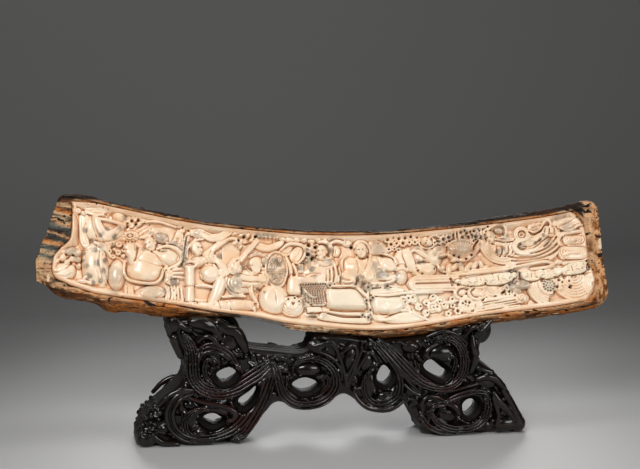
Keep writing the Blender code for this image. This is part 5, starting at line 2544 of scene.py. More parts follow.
@dataclass
class SeatedPair(Scene):
    """Two seated men with rods and a whisk; one holds a painted fan over a gourd."""

    def carve(self) -> None:
        """Carve the ground forms, the left man, then the right."""
        self.cloths()
        self.left_man()
        self.right_man()
        self.lap()
        self.fan_and_gourd()

    def cloths(self) -> None:
        """Carve the cloths and pebbles under the top border."""
        b = self.block
        b.egg((-149, 63, -6.6), (8.6, 6, 6), -20, 0.6)
        b.score([arc((-149, 63), (6.6, 4.4), 30, 210)], 0.5, 0.7)
        scarf = (
            (-157, 64, -5, 7), (-146, 64, -4, 8), (-133, 57, -3, 9), (-121, 59, -3, 8), (-109, 66, -5, 5)
        )
        self.all(Flutes(scarf, 3, 1.0, 0.9, 0.7, 0.7))
        b.score([[(-143, 64), (-133, 60), (-123, 62)], [(-141, 66), (-132, 63), (-125, 65)]], 0.5, 1.0)
        b.plate(
            [(-121, 20), (-121, 49), (-112, 53), (-98, 48), (-99, 30), (-112, 18)], -26, -7.6, 1,
            0.5, smooth=False
        )
        b.rope([(-139, 40, -5), (-127, 49, -3.4), (-116, 57, -3), (-107, 64, -4)], [2.4, 2.2, 1.9, 1.4], 0.3)
        hook = [
            (-138, 36, -5), (-127, 45, -4), (-117, 52, -3), (-109, 55.6, -2.6), (-103.6, 54.6, -2.6),
            (-102.6, 50.6, -3)
        ]
        b.rope(hook, [2.6, 2.6, 2.4, 2.2, 2.0, 1.8], 0.3)
        b.egg((-105.6, 49.4, -2), (3, 2.5, 3), 0, 0.3)
        b.score([[(-136, 42), (-124, 51), (-112, 58)], [(-130, 42), (-120, 50), (-110, 53.6)]], 0.5, 0.8)
        for x, v, r in (
            (-104, 62, 3.6), (-96, 60, 3.6), (-88, 60, 4), (-84, 54, 3.4), (-92, 51, 3),
            (-98, 45, 3), (-80, 60, 3)
        ):
            b.egg((x, v, -6), (r * 1.3, r * 0.8, 4.5), x * 13 % 60, 0.3)
            b.score([curl((x, v), r * 0.85, 0.9, x * 5), arc((x, v), (r, r * 0.6), 20, 170)], 0.5, 0.8)
        plume = [(-82, 57, -5, 5), (-74, 59, -4, 6), (-62, 58.5, -4, 6), (-53, 55.5, -5, 4)]
        self.all(Flutes(tuple(plume), 3, 0.8, 0.9, 0.5, 0.7))
        b.score([[(-80 + 5 * i, 61.5 - i), (-78 + 5 * i, 56 - i)] for i in range(6)], 0.5, 0.9)
        bowl = [
            (-85, 49), (-78, 42), (-66, 38.5), (-54, 41), (-45, 47), (-45, 52), (-53, 51),
            (-65, 47.5), (-76, 51.5)
        ]
        b.plate(bowl, -16, -3.0, 2.0, 0.5, dome=1.4)
        b.score(
            [[(-77, 47), (-67, 43.6), (-56, 45), (-49, 48.6)], [(-70, 51), (-64, 49.6), (-58, 51)]],
            0.6, 0.8
        )
        self.holes((-93, 58), (-99.5, 54.5), (-79, 57.5), radius=1.5)

    def left_man(self) -> None:
        """Carve the man on the left: head, sleeve and knee."""
        b = self.block
        self.all(Head((-151, 44, -4.8), 9.4, 34, 4, 2, Hair.KNOT))
        b.rope([(-163, 33, -6), (-162, 45, -4.4), (-154, 54, -3.6), (-143, 56, -4.4)], 1.3, 0.3)
        b.score([[(-165, 38), (-163, 49), (-155, 57)], [(-157, 37), (-158, 46)]], 0.6, 1.0)
        self.lumps((-138, 32, -8, 11, 11, 8), (-149, 29, -9, 9, 8, 8), blend=2.0)
        b.score(
            [[(-146, 36), (-141, 31), (-139, 25)], [(-134, 41), (-137, 33), (-133, 27)],
             [(-128, 42), (-131, 34)]], 0.7, 1.1
        )
        self.all(Folds(((-136, 37), (-125, 33)), ((-124, 9), (-114, 13)), 4, -4, -4, 4.0, -0.15, 3))
        b.egg((-124, 36, -5), (2.4, 6.4, 4), 14, 0.6, take=True)
        b.egg((-136, 13, -8), (12.6, 11.6, 9.4), -12, 0.5)
        b.score(
            [[(-149, 21), (-141, 25.6), (-130, 25), (-124.6, 18)],
             [(-147, 14), (-143, 4), (-134, 1.6), (-126, 6)]], 0.9, 1.5
        )
        b.score([[(-144, 10), (-138, 6), (-131, 7)]], 0.5, 0.7)
        b.rope([(-124, 3, -7), (-129, -10, -7), (-136, -24, -7.4)], [8, 7.6, 6], 1.2)
        b.score([[(-120, 8), (-116, 0), (-119, -11), (-127, -22)], [(-134, -3), (-139, -12)]], 0.7, 1.2)
        b.rope([(-150, 0, -4.6), (-142, -1.6, -3.4), (-133, -3.6, -4.2)], [1.8, 2.3, 1.6], 0.4)
        b.rope([(-148, -23, -5), (-138, -26, -4.4), (-128, -28, -5)], [2.6, 3.6, 2.6], 0.8)
        # the first blot is painted shade in the gap cut beside the sleeve
        self.face.stain((-123, 35, 4.4, 0.9), (-150, 64, 6, 0.35), (-160, 41, 3, 0.3), (-147, 36, 3, 0.45))

    def right_man(self) -> None:
        """Carve the man in the middle with a whisk over one shoulder."""
        b = self.block
        b.egg((-87, 5, -9), (20, 14, 9), 0, 1.0)
        b.egg((-69, 7, -8), (9, 11, 8), 10, 2.0)
        self.all(Flutes(((-77, 53, -3, 6), (-88, 41, -2, 6), (-99, 29, -3, 6.6)), 2, 0.6))
        self.all(Flutes(((-99, 31, -3, 6), (-106, 25, -3, 8), (-112, 14, -5, 8)), 4, 0.7))
        b.egg((-105, 20, -7.4), (8.4, 10, 7.6), 20, 0.7)
        b.rope([(-114, 12, -6), (-113, 23, -4.4), (-107.6, 30.6, -4), (-99, 33.4, -5)], 1.4, 0.4)
        b.score(
            [[(-110, 17), (-107, 25), (-102, 29)], [(-104, 12), (-102, 20), (-98, 24)],
             [(-99, 8), (-97, 16)]], 0.6, 1.0
        )
        self.all(Head((-81, 21.4, -3.8), 10.4, -12, 2, 10, Hair.COMBED))
        b.rope(
            [(-89, 32.6, -1.4), (-81, 36.6, 0), (-73, 34.6, 0), (-66, 30, -1.6)], [1.2, 1.5, 1.5, 1.2], 0.3
        )
        b.score(
            [[(-90, 34.6), (-81, 39), (-72, 37), (-64, 31.6)],
             [(-87, 30.6), (-80, 34.4), (-72, 32.4), (-67, 28.6)]], 0.6, 1.3
        )
        b.egg((-68.6, 26, -6), (4.6, 6, 5), 30, 0.6)
        b.score([[(-94, 22), (-88.6, 13), (-82, 9.6), (-74, 12)], [(-91, 23), (-86, 15)]], 0.7, 1.4)
        b.rope([(-74, 18, -4), (-66, 15.6, -3), (-61.6, 9, -3.6), (-62.4, 1, -4.6), (-69, -3, -5)], 1.6, 0.5)
        b.rope([(-100, 8, -3.4), (-90, 5, -2), (-80, 4.6, -1.8), (-74, 3, -2.4)], [3.8, 3.6, 3.2, 2.6], 0.6)
        b.rope([(-97, -1, -3.4), (-88, -1.4, -2.8), (-78, 0, -3.4)], [3.4, 3.2, 2.4], 0.6)
        b.score(
            [[(-99, 12.6), (-89, 9.4), (-78, 8.6)], [(-98, 3), (-88, 1.4), (-78, 1)],
             [(-72, 12), (-68, 6), (-70, 0)]], 0.6, 1.2
        )
        for i in range(3):
            b.rope(
                [(-77, 9.6 - 2.6 * i, -1.6), (-72.6, 8.4 - 2.6 * i, -1.2), (-69.6, 6.4 - 2.4 * i, -2)],
                [1.3, 1.2, 1.0], 0.2
            )
        self.face.stain((-68, 26, 5, 0.65), (-95, 20, 4, 0.7), (-88, 17, 2.6, 0.5))
        self.face.stain(
            *[(x, v, 1.6, 0.8) for x, v in ((-89, 34), (-84, 37), (-78, 38), (-72, 36.6), (-67, 33))]
        )

    def lap(self) -> None:
        """Carve the folds over the lap, the pouch, the ribbons and the bench."""
        b = self.block
        self.lumps((-104, 0, -8, 10, 12, 8), blend=1.5)
        for i in range(4):
            bow = arc((-103, 1), (5.4 + 3.2 * i, 5 + 3.1 * i), 150, 290)
            b.rope(np.column_stack([bow, np.full(len(bow), -2.8 - 0.5 * i)]), 1.25, 0.4, steps=1)
        b.plate([(-101, -3), (-91, -4), (-89, -10), (-99, -11.6)], -12, -1.8, 1.4, 0.4, dome=1)
        b.score([[(-99, -5.4), (-93, -6), (-91, -9)], [(-100, -1), (-92, -2.4)]], 0.5, 0.9)
        b.rope([(-87, 1, -4), (-87.6, -11, -2.8), (-84, -22, -4)], [2.4, 3.2, 2.2], 0.5)
        b.rope([(-84, -16, -3.4), (-80.6, -24, -3.6)], [2.0, 1.4], 0.4)
        b.score([[(-88.6, 0), (-89, -12), (-85.6, -22)], [(-84.4, -1), (-84, -11), (-80, -19)]], 0.5, 1.1)
        b.score([[(-83, -5), (-77, -8), (-71, -12)], [(-80, -10), (-73, -9)]], 0.9, 1.5)
        b.score([[(-122, -18.4), (-110, -17.6), (-97, -18.4)]], 0.8, 1.8)
        b.rope([(-122, -15.4, -4.6), (-108, -14.8, -4), (-95, -15.6, -4.6)], [1.6, 1.7, 1.6], 0.4)
        b.rope([(-128, -26, -7), (-108, -26, -6.4), (-91, -26.6, -7)], [6.8, 7.4, 6.8], 1.0)
        b.score(
            [[(-121, -20), (-116, -26), (-113, -32)], [(-114, -20), (-109, -26)],
             [(-128, -20), (-126, -30)]], 0.7, 1.2
        )
        b.score([[(-100, -20), (-98, -30)], [(-118, -22), (-111, -30)]], 0.5, 0.6)
        for x, v, turn in ((-88.4, -29, 30), (-84.6, -31.6, 5), (-80, -26.6, -10)):
            b.egg((x, v, -4.6), (1.9, 4.4, 3.4), turn, 0.3)
        self.face.stain((-105, 0, 8, 0.55), (-112, -6, 6, 0.6), (-103, 10, 4, 0.7), (-106, -13, 5, 0.4))
        self.face.stain((-95, -7, 5, 0.3), (-76, -8.6, 2.4, 0.8), (-79, -6, 2, 0.6), (-72, -11, 2, 0.8))

    def fan_and_gourd(self) -> None:
        """Carve the oval fan with its scored pattern, and the smooth gourd."""
        b = self.block
        b.egg((-60, -19, -9.6), (19, 19.6, 12), 0, 0.6)
        b.score(
            [[(-66, -1.6), (-57, -1.8), (-49, -5.4), (-43.4, -13)], [(-78, -14), (-79, -22), (-75, -33)]],
            0.8, 1.4
        )
        fan = arc((-55.6, 16), (13.2, 21.6), 0, 340, 18)
        b.plate(fan, -16, -2.8, 1.2, 0.4, dome=0.6)
        ring = np.vstack([fan, fan[:1]])
        b.rope(np.column_stack([ring, np.full(len(ring), -2.2)]), 1.3, 0.3)
        b.score([arc((-55.6, 16), (10.6, 18.6), 0, 360, 24)], 0.5, 0.9)
        b.score(
            [[(-66, 13.4), (-45, 13.4)], [(-66, 16), (-45, 16)], [(-64, 10.6), (-48, 10.6)]], 0.5,
            1.0, smooth=False
        )
        b.score(
            [curl((-57, 7), 4.4, 1.8, 90), curl((-59, 25), 4.4, 1.2, 20), arc((-56, 0), 5, 20, 160),
             arc((-49, 8), 3, 0, 300)], 0.5, 1.0
        )
        b.score([[(-64 + 3 * i, 17), (-62.6 + 3 * i, 21.5)] for i in range(6)], 0.4, 0.7, smooth=False)
        b.egg((-51.4, 28, -0.8), (2.8, 4.8, 2.4), -20, 0.3)
        b.score([arc((-51.4, 28), (4.4, 6.6), 0, 360)], 0.6, 1.2)
        self.face.stain(
            (-57, 24, 9, 0.7), (-57, 7, 9, 0.65), (-50, 12, 6, 0.6), (-63, 15, 6, 0.6), (-64, 2, 4, 0.6)
        )
        self.face.stain(*[(x, 58.6, 4.0, 0.6) for x in (-76, -70, -64, -58)])
        self.face.stain((-55, 0, 6, 0.5), (-47, 24, 3, 0.4))


@dataclass
class ElderAndDrum(Scene):
    """An elder behind a cloth of curls, a flower boss, and the broad smooth drum."""

    def carve(self) -> None:
        """Carve cloths, elder, left blocks, curl cloth, sleeve and drum."""
        self.cloths()
        self.elder()
        self.blocks()
        self.cloth()
        self.sleeve()
        self.drum()

    def cloths(self) -> None:
        """Carve the looped ribbon, the soft lumps and the rocks under the top border."""
        b = self.block
        b.plate(
            [(-52, 34), (-50, 42), (-41, 46), (-33, 44), (-37, 35), (-44, 32)], -16, -4.6,
            2.0, 0.5, dome=1.4
        )
        b.plate(
            [(-38, 28), (-37, 37), (-29, 44), (-22, 42), (-22, 34), (-29, 25)], -16, -4.2,
            1.6, 0.4, dome=0.8
        )
        ribbon = [
            (-49, 40, -4), (-40, 46.6, -2.8), (-29, 46.6, -2.4), (-20.6, 43, -2.4), (-19.6, 35, -3),
            (-24, 27, -3.4)
        ]
        b.rope(ribbon + [(-30, 23.4, -4), (-36, 27, -4)], [1.4, 2, 2.2, 2.2, 2, 1.8, 1.6, 1.2], 0.3)
        b.score(
            [[(-49, 38), (-42, 35.6), (-36, 39), (-33, 43.6)], [(-32, 31), (-28, 35), (-25, 40)]], 0.6, 1.0
        )
        b.score([[(-45, 31), (-41, 20), (-40, 6)], [(-34, 22), (-35, 12), (-34, 4)]], 0.9, 1.4)
        b.rope([(-43, 31, -5), (-38.6, 19, -3.6), (-37.6, 6, -4)], [2.0, 2.6, 2.2], 0.4)
        b.rope([(-35, 23, -6), (-31.4, 14, -5), (-31, 5, -5.4)], [1.8, 2.2, 2.0], 0.4)
        for x, v, r in (
            (-46, 54, 3.4), (-38, 53, 4.4), (-29, 53, 4), (-20, 52, 3.6), (-11, 50, 3.6),
            (-2, 52, 3.4), (6, 51, 3)
        ):
            b.egg((x, v, -6), (r * 1.3, r, 4.6), x * 17 % 50 - 25, 0.4)
            b.score([arc((x, v), (r * 0.8, r * 0.6), x * 31 % 360, x * 31 % 360 + 200)], 0.45, 0.6)
        b.rope([(11, 45, -5), (18, 49, -3.4), (26, 48, -3.4), (30, 44, -4.4)], [1.8, 2.8, 2.8, 1.8], 0.5)
        b.score([[(13, 50.6), (20, 52), (28, 50)], [(14, 45), (20, 46), (26, 44)]], 0.7, 1.2)
        self.all(Swirl((34, 47.5), 5.4, -4.4, 1.3, 40, 2.4))
        for i in range(5):
            b.rope(
                [(42 + 0.5 * i, 41 + 1.2 * i, -5), (47 + 0.4 * i, 44 + 1.8 * i, -4),
                 (52, 46 + 1.6 * i, -5)], [0.7, 1.1, 0.8], 0.2
            )
        for i in range(15):
            x, v = -18.6 + i * 7.3 % 10.5, 21 + 1.75 * i
            b.egg((x, v, -6), (2.6 + i % 3 * 0.7, 2.2 + i % 2, 4.2), i * 37, 0.3)
        self.holes((-14.6, 45.4), (-5.6, 43.6), (39, 42), (-22, 22.6), (-16, 34), (-11, 29), radius=1.7)
        self.face.stain(
            (-13, 29, 7, 0.7), (-21, 23, 5, 0.7), (-16, 38, 5, 0.5), (-12, 34, 4, 0.4), (14, 52.6, 5, 0.3)
        )

    def elder(self) -> None:
        """Carve the elder: cap, long beard, joined sleeves."""
        b = self.block
        b.egg((-8, 10, -9), (20, 15, 9), 0, 1.0)
        b.egg((4, 22, -7), (13, 10, 8), 0, 2.0)
        cap = [(-6, 45, -5), (1, 48.6, -4), (8, 47, -3.4), (13, 40, -3.6), (12, 32, -5)]
        b.rope(cap, [1.4, 2.2, 3, 3.2, 2], 0.4)
        b.score([[(-5, 47), (2, 46.4), (8, 43.6), (10, 37), (9.4, 30)]], 0.8, 1.6)
        self.all(Head((1, 36.6, -4.6), 9.2, -16, 4, 6, Hair.SHAVEN, 0.0))
        b.plate(
            [(14, 31), (14.6, 41), (19, 44.6), (24, 41), (24.6, 35), (21.6, 31)], -20, -4.6,
            2.0, 0.6, dome=1
        )
        b.score([[(25.6, 42), (26, 36), (22.6, 30)], [(15, 31), (15.6, 38)], [(17, 30), (19, 39)]], 0.8, 1.5)
        b.rope([(-5, 30, -3), (1, 27.4, -1), (8, 27, -1), (14, 29.4, -3)], [1.4, 2.2, 2.2, 1.4], 0.3)
        b.rope([(-4, 24, -2), (4, 21, 0), (12, 22.6, -1.6)], [1.8, 2.8, 1.8], 0.3)
        b.score(
            [[(-5, 26.6), (1, 24.6), (6, 25.6), (12, 25)], [(3, 30), (5, 27), (9, 28)],
             [(-3, 19), (5, 17.6), (13, 20)]], 0.7, 1.4
        )
        self.all(Swirl((9.6, 23.6), 3, -1.2, 0.8, 200, 1.6))
        wrap = [(-33, 14), (-26, 25), (-10, 27), (-3, 20), (-7, 7), (-28, 4)]
        b.plate(wrap, -16, -3.6, 3.0, 1.0, dome=1.6)
        b.plate([(-29.6, 11), (-28.6, 21.6), (-22, 22), (-22.6, 11)], -6, -1.4, 0.8, 0.3, smooth=False)
        b.plate([(-17, 11), (-16.6, 18.6), (-8, 18), (-8.6, 11.6)], -6, -0.8, 0.8, 0.3, smooth=False)
        b.score(
            [[(-28, 13), (-24, 20)], [(-28, 17), (-25.6, 21)], [(-15.6, 12.6), (-9.6, 17)],
             [(-13, 12), (-9, 14.4)]], 0.4, 0.7, smooth=False
        )
        for i in range(4):
            b.rope(
                [(-32 + i, 5.6 - 2.0 * i, -4), (-17, 4.6 - 1.9 * i, -1.8), (0, 6.4 - 2.6 * i, -2.4)],
                [1.3, 1.8, 1.3], 0.35
            )
        b.score([[(-20, 8), (-11, 10), (-2, 9)], [(-14, 6), (-8, 7)]], 0.8, 1.4)
        for x, bend in ((2.6, 0), (7, 0.4), (11.6, 0.4), (16, 1.6), (19.6, 2)):
            b.rope([(x, 17 + bend * 3, -3.6), (x + bend, 8, -3), (x - 0.4, -1, -3.8)], [1.5, 1.9, 1.5], 0.35)
        b.egg((7, -2.6, -5), (5, 3.4, 4), 0, 0.5)
        self.all(Flower((9, -5), 3.4, 5, -4, 1), Flower((15, -3.6), 2.8, 5, -4.4, 1))
        self.face.stain(
            (-26, 17, 4.6, 0.85), (-12.6, 15, 5, 0.8), (-12, 38.6, 4, 0.4), (12, 38, 4.4, 0.75),
            (8, 45, 3, 0.5)
        )
        self.face.stain(
            (-9, 7, 4, 0.4), (3, 26, 4, 0.35), (9, 23, 3.6, 0.5), (8, -5, 4, 0.6), (-24, 2, 5, 0.35)
        )

    def blocks(self) -> None:
        """Carve the rounded block and the flower boss left of the cloth."""
        b = self.block
        b.plate(
            [(-43, -2), (-40, 7), (-32, 7.6), (-27, 0), (-26, -12), (-30, -16), (-42, -14)], -18, -1.4,
            3.6, 0.5, dome=1.8
        )
        b.score([[(-44, 0), (-41, 8), (-33, 9.6)], [(-43, -15), (-34, -17), (-26, -17)]], 1.0, 1.8)
        b.egg((-38, -29, -8.4), (15, 13.4, 9), 0, 0.6)
        for step in range(3):
            b.score([arc((-38.6, -27.6), (13.4 - 2.4 * step, 12.0 - 2.4 * step), 170, 370)], 0.7, 1.0)
        b.score([arc((-38.6, -27), (13.6, 11), 20, 160)], 0.6, 0.9)
        self.all(
            Flower((-37.6, -26.6), 6.4, 7, -0.6, 3), Flower((-30, -24), 3.4, 5, -1.6, 1),
            Flower((-43, -21), 3.2, 5, -1.6, 1)
        )
        self.all(Flower((-35, -19.6), 3, 5, -2, 1))

    def cloth(self) -> None:
        """Carve the cloth of small curls with its strap and tassel of beads."""
        b = self.block
        cloth = [
            (-29, -1), (-16, -2), (3, -3), (4.6, -14), (3, -28), (-8, -29.6), (-15, -28),
            (-22, -20), (-25, -9)
        ]
        b.plate(cloth, -16, -2.8, 1.6, 0.6, dome=1.2)
        rows = []
        for row in range(10):
            v = -3.6 - 2.6 * row
            left = -26.6 + max(0, row - 3) * 1.8 + (row % 2) * 1.5
            rows += [(x, v) for x in np.arange(left, 3.6, 3.0)]
        b.prick(rows, 0.9, 2.0, low=-9)
        for x, v in rows:
            b.egg((x + 1.5, v, -2.1), (0.95, 0.9, 1.3), 0, 0.2)
        b.rope(
            [(-23, -9.6, -1.6), (-18, -16, -0.6), (-13, -19.6, -0.8), (-9, -19.6, -1.4)],
            [1.4, 1.7, 1.5, 1.1], 0.2
        )
        for x, v in [(-24.6 + 0.16 * i, -10 - 2.5 * i) for i in range(12)]:
            b.egg((x, v, -2.4), (1.3, 1.1, 1.5), 0, 0.2)
            self.face.stain((x - 0.4, v + 1.2, 1.3, 0.9))
        b.plate([(-21, -30.6), (-4, -30.6), (0, -37.6), (-20, -38)], -16, -4.2, 1.4, 0.5, smooth=False)
        b.rope([(-22, -40.6, -5), (-11, -41, -4.4), (-7, -44, -5)], [1.6, 2, 1.4], 0.4)
        b.score([[(-20, -38.6), (-9, -38.8), (3, -37)], [(-18, -42), (-10, -42.6)]], 0.9, 1.8)
        self.all(Swirl((-2, -42.6), 4, -4.4, 1.1, 30, 2.2))
        self.face.stain(*[(x, v, 2.4, 0.5) for x, v in rows[::2]])
        self.face.stain(
            (-10, -15, 13, 0.45), (-18, -6, 8, 0.5), (-14, -41, 5, 0.6), (0, -43, 4, 0.3), (-26, -5, 4, 0.6)
        )

    def sleeve(self) -> None:
        """Carve the square sleeve between the elder and the sitter."""
        b = self.block
        b.plate(
            [(25, -5), (22, 10), (24, 26), (32, 30), (41, 27), (43, 6), (40, -5)], -18, -3.4,
            3.4, 0.8, dome=1.6
        )
        b.rope([(31, 30.6, -3), (26.6, 27, -2), (24.6, 19, -2), (25.6, 12, -3)], [1.6, 2.0, 1.8, 1.2], 0.3)
        b.score([[(33, 28.4), (29, 26.4), (27.4, 20), (28, 13)], [(21, 24), (20, 14), (22, 4)]], 0.9, 1.6)
        b.score(
            [[(38, 25), (39.6, 15), (39, 8)], [(22, 3), (27, 2.4), (33, 1)], [(30, -2), (38, -3)]], 0.8, 1.3
        )
        b.rope([(24, 0, -3), (30, -1.6, -2.6), (37, -1, -3.4)], [1.2, 1.7, 1.2], 0.4)
        b.rope([(44, 8, -5), (47, 1, -4), (46, -6, -4.6)], [1.6, 2.2, 1.6], 0.4)
        b.score([[(42, 8), (43.6, 0), (41.6, -7)], [(49, 9), (50, 2), (52, -4)]], 1.0, 1.8)
        self.face.stain(
            (24, 3, 3, 0.6), (45, 3, 4, 0.75), (49, -4, 5, 0.6), (42, -4, 3, 0.6), (50, 3, 3, 0.6)
        )

    def drum(self) -> None:
        """Carve the broad smooth drum and the steps under it."""
        b = self.block
        drum = [
            (4, -9), (20, -8.6), (39, -9.6), (48, -18), (53, -28), (51, -36), (28, -35.6),
            (7, -33), (2.4, -22)
        ]
        b.plate(drum, -20, 2.0, 7.5, 0.4, dome=3.2)
        b.rope([(12, -6.4, -4), (26, -6.4, -3.6), (42, -7.4, -4)], 1.6, 0.4)
        b.score([[(12, -8.2), (26, -8.4), (40, -9.4), (50, -20)]], 0.9, 2.2)
        b.rope([(43, -9, -5), (51, -17, -4), (56, -22, -5)], [1.8, 2.2, 1.6], 0.4)
        b.plate(
            [(6, -36.4), (24, -38.6), (52, -39.6), (50, -44), (24, -42.4), (5, -38.6)], -20, -1.6,
            1.6, 0.4, dome=0.6
        )
        b.plate(
            [(2, -39), (24, -45), (52, -46), (54, -53), (20, -51), (-6, -46)], -20, -2.6, 1.8, 0.4, dome=0.5
        )
        b.score([[(9, -34.6), (24, -37), (51, -38)], [(4, -39.4), (22, -43.8), (46, -45)]], 0.9, 2.0)
        self.face.stain((25, -30, 14, 0.08))


@dataclass
class RobedSitter(Scene):
    """A broad sitter in a loose robe, his bundle, a child, and the bank of long clouds."""

    def carve(self) -> None:
        """Carve sitter, bundle, blossoms, child and clouds."""
        self.sitter()
        self.bundle()
        self.blossoms()
        self.child()
        self.clouds()

    def sitter(self) -> None:
        """Carve the sitter with his knee up."""
        b = self.block
        self.lumps((66, 12, -9, 27, 19, 10), (44, 16, -9, 17, 14, 9), blend=1.5)
        b.plate(
            [(62, 32), (60, 42), (60, 52), (67, 52.6), (76, 49), (82, 42), (84, 33)], -16, -4.4,
            2.2, 0.4, dome=1.2
        )
        b.score([arc((62, 34), (20.6, 18), 6, 84), arc((62, 34), (16.6, 14), 30, 80)], 0.6, 1.1)
        b.score([[(63, 40), (68, 44), (73, 45.6)], [(66, 50), (74, 45)]], 0.5, 0.7)
        self.all(Head((50, 37, -5.0), 10.2, -6, 0, 3))
        b.rope([(41, 41, -6), (45, 47.4, -4.4), (54, 48, -4.4), (60, 42, -5), (61.6, 34, -6)], 1.5, 0.3)
        b.score(
            [[(42, 29), (50, 26.6), (60, 30)], [(59, 30), (57, 22), (53, 14)],
             [(43, 25), (45, 16), (44, 8)]], 0.9, 1.5
        )
        b.rope([(61, 31, -4), (59.6, 23, -2.6), (55.6, 14, -3)], [1.8, 2.4, 1.6], 0.5)
        b.rope([(44, 28, -5), (47, 20, -4), (46.6, 11, -4.6)], [2, 2.4, 1.6], 0.5)
        b.egg((83, 18.6, -5.6), (13.6, 10, 8.4), -8, 0.5)
        b.rope(
            [(74, 32.6, -5), (81, 30.4, -3), (88.6, 27, -3), (93.4, 20, -4), (93, 14, -5)],
            [1.4, 2.2, 2.4, 1.8, 1.2], 0.3
        )
        b.score(
            [[(75, 30.6), (81, 28.4), (87.6, 25), (91.4, 18)], [(92, 16), (99, 17.6), (105, 16)]], 1.0, 2.2
        )
        b.score([[(72, 18), (76, 12), (84, 9.6), (92, 11)], [(68, 27), (71, 20), (70, 13)]], 0.7, 1.2)
        b.egg((56, 4, -6), (8.5, 8, 7), 0, 0.6)
        cuffs = [(60, -3, -5), (68, -5, -4), (78, -4, -4), (88, 0, -4), (96, 4, -5)]
        b.rope(cuffs, [2.4, 3, 3, 2.6, 2], 0.6)
        b.rope([(62, 9, -3), (70, 2, -2.5), (80, 1, -3), (90, 5, -4)], [2, 2.4, 2.2, 1.8], 0.5)
        b.score(
            [[(58, 20), (62, 14), (64, 4)], [(68, 14), (76, 10), (86, 8)], [(70, -1), (80, -2), (90, 1)]],
            0.8, 1.2
        )
        b.egg((98, 4, -8), (8, 10, 7), 0, 1.0)
        self.all(
            Flower((56, -9), 5.5, 7, -3.5, 1), Flower((80, -8), 4.0, 6, -4, 1),
            Flower((74, -9), 2.6, 5, -4, 0)
        )
        b.rope([(61, -8, -4), (70, -8.5, -4)], 1.2, 0.2)
        b.rope([(84, -8, -4), (92, -10, -5)], 1.2, 0.2)
        self.face.stain(
            (65, 18, 5.5, 0.5), (66, 12, 4, 0.45), (72, 6, 6.5, 0.8), (79, 7, 4.5, 0.6), (94, 6, 4.5, 0.6)
        )
        self.face.stain(
            (70, 39, 11, 0.45), (56, -9, 6.5, 0.7), (67, -8.5, 3, 0.7), (80, -8, 5, 0.75), (92, 1, 3, 0.5)
        )
        self.face.stain((46, 2, 5, 0.6), (52, -3, 4, 0.5), (75, 30, 3, 0.5))

    def bundle(self) -> None:
        """Carve the smooth bundle tied with a knotted cord."""
        b = self.block
        b.plate(
            [(61, -21), (80, -21), (97, -22), (101, -34), (90, -42), (70, -42), (60, -38)], -20, 0.8,
            6, 0.4, dome=2.8
        )
        b.plate(
            [(60, -11), (80, -10), (100, -11), (100, -15), (84, -17.4), (60, -18)], -18, -3.4,
            1.8, 0.4, dome=0.8
        )
        b.score([[(61, -19.4), (76, -19.6), (90, -17.4), (100, -16.6)]], 0.9, 2.0)
        b.rope([(56, -12, -4), (55, -24, -4), (57, -36, -4), (54, -46, -5)], 1.5, 0.3)
        self.all(
            Flower((53, -25), 3.4, 5, -3, 1), Flower((61, -22), 3.6, 5, -3, 1),
            Flower((57, -37), 3.2, 6, -2.6, 1)
        )
        self.all(Flower((47, -43), 3.0, 5, -3, 1), Flower((54, -46), 4.0, 5, -3, 1))
        b.rope(
            [(58, -40, -4), (61, -46, -3), (67, -49, -2.6), (82, -49, -3), (92, -47, -4)],
            [2, 2.4, 2.4, 2.2, 1.6], 0.5
        )
        b.score(
            [[(60, -41), (63, -46), (68, -48.5), (80, -48.5)], [(68, -40), (73, -42), (80, -41)]], 0.9, 1.4
        )
        b.plate(
            [(72, -50), (84, -44), (98, -40), (112, -42), (126, -51), (110, -55), (88, -55)], -20, -1.8,
            3, 0.5, dome=1.5
        )
        b.rope(
            [(62, -18, -5), (80, -19, -4), (100, -17, -4), (124, -17, -4), (148, -17, -5)],
            [1.6, 1.8, 1.8, 1.8, 1.4], 0.3
        )
        self.face.stain(
            (53, -25, 3.4, 0.6), (61, -23, 3.6, 0.6), (57, -37, 3, 0.5), (47, -43, 3.4, 0.55),
            (55, -46, 4.4, 0.6)
        )

    def blossoms(self) -> None:
        """Carve the bed of pitted blossoms above the sitter and the foam under the clouds."""
        places = (
            (84, 50, 5), (91, 52, 4.4), (98, 51, 5), (106, 52, 5), (113, 53, 5), (121, 52, 4.4),
            (88, 44, 4.6),
            (95, 45, 4.4), (103, 45, 5), (111, 46, 4.4), (118, 46, 4), (85, 38, 3.6), (92, 38, 3.4),
            (97, 37, 3),
        )  # fmt: skip
        foam = (
            (98, -28, 7.5), (112, -25, 6), (104, -36, 4.6), (118, -34, 5), (137, -24, 5.4), (145, -27, 5.4),
            (134, -36, 6.4), (142, -37, 5), (128, -29, 4.6), (126, -42, 4.6), (150, -34, 4.6), (106, -22, 4),
        )  # fmt: skip
        for number, (x, v, radius) in enumerate(places):
            self.all(
                Flower((x, v), radius, 5 + number % 3, -4.6 - number % 2, 4 if radius > 4.5 else 1,
                 number * 23)
            )
        for number, (x, v, radius) in enumerate(foam):
            self.all(Swirl((x, v), radius, -4.8, 1.15, number * 67, radius * 0.5))
            self.holes(
                (x + 0.4 * radius * math.cos(2.1 * number), v + 0.4 * radius * math.sin(2.1 * number)),
                radius=0.9, depth=3
            )
        self.block.rope([(84, -24, -5), (86, -32, -4), (95, -38, -4), (106, -38, -5)], [1.4, 2, 2, 1.4], 0.4)
        self.block.rope([(106, -40, -4), (116, -46, -3), (128, -51, -4)], [1.6, 2.2, 1.6], 0.4)

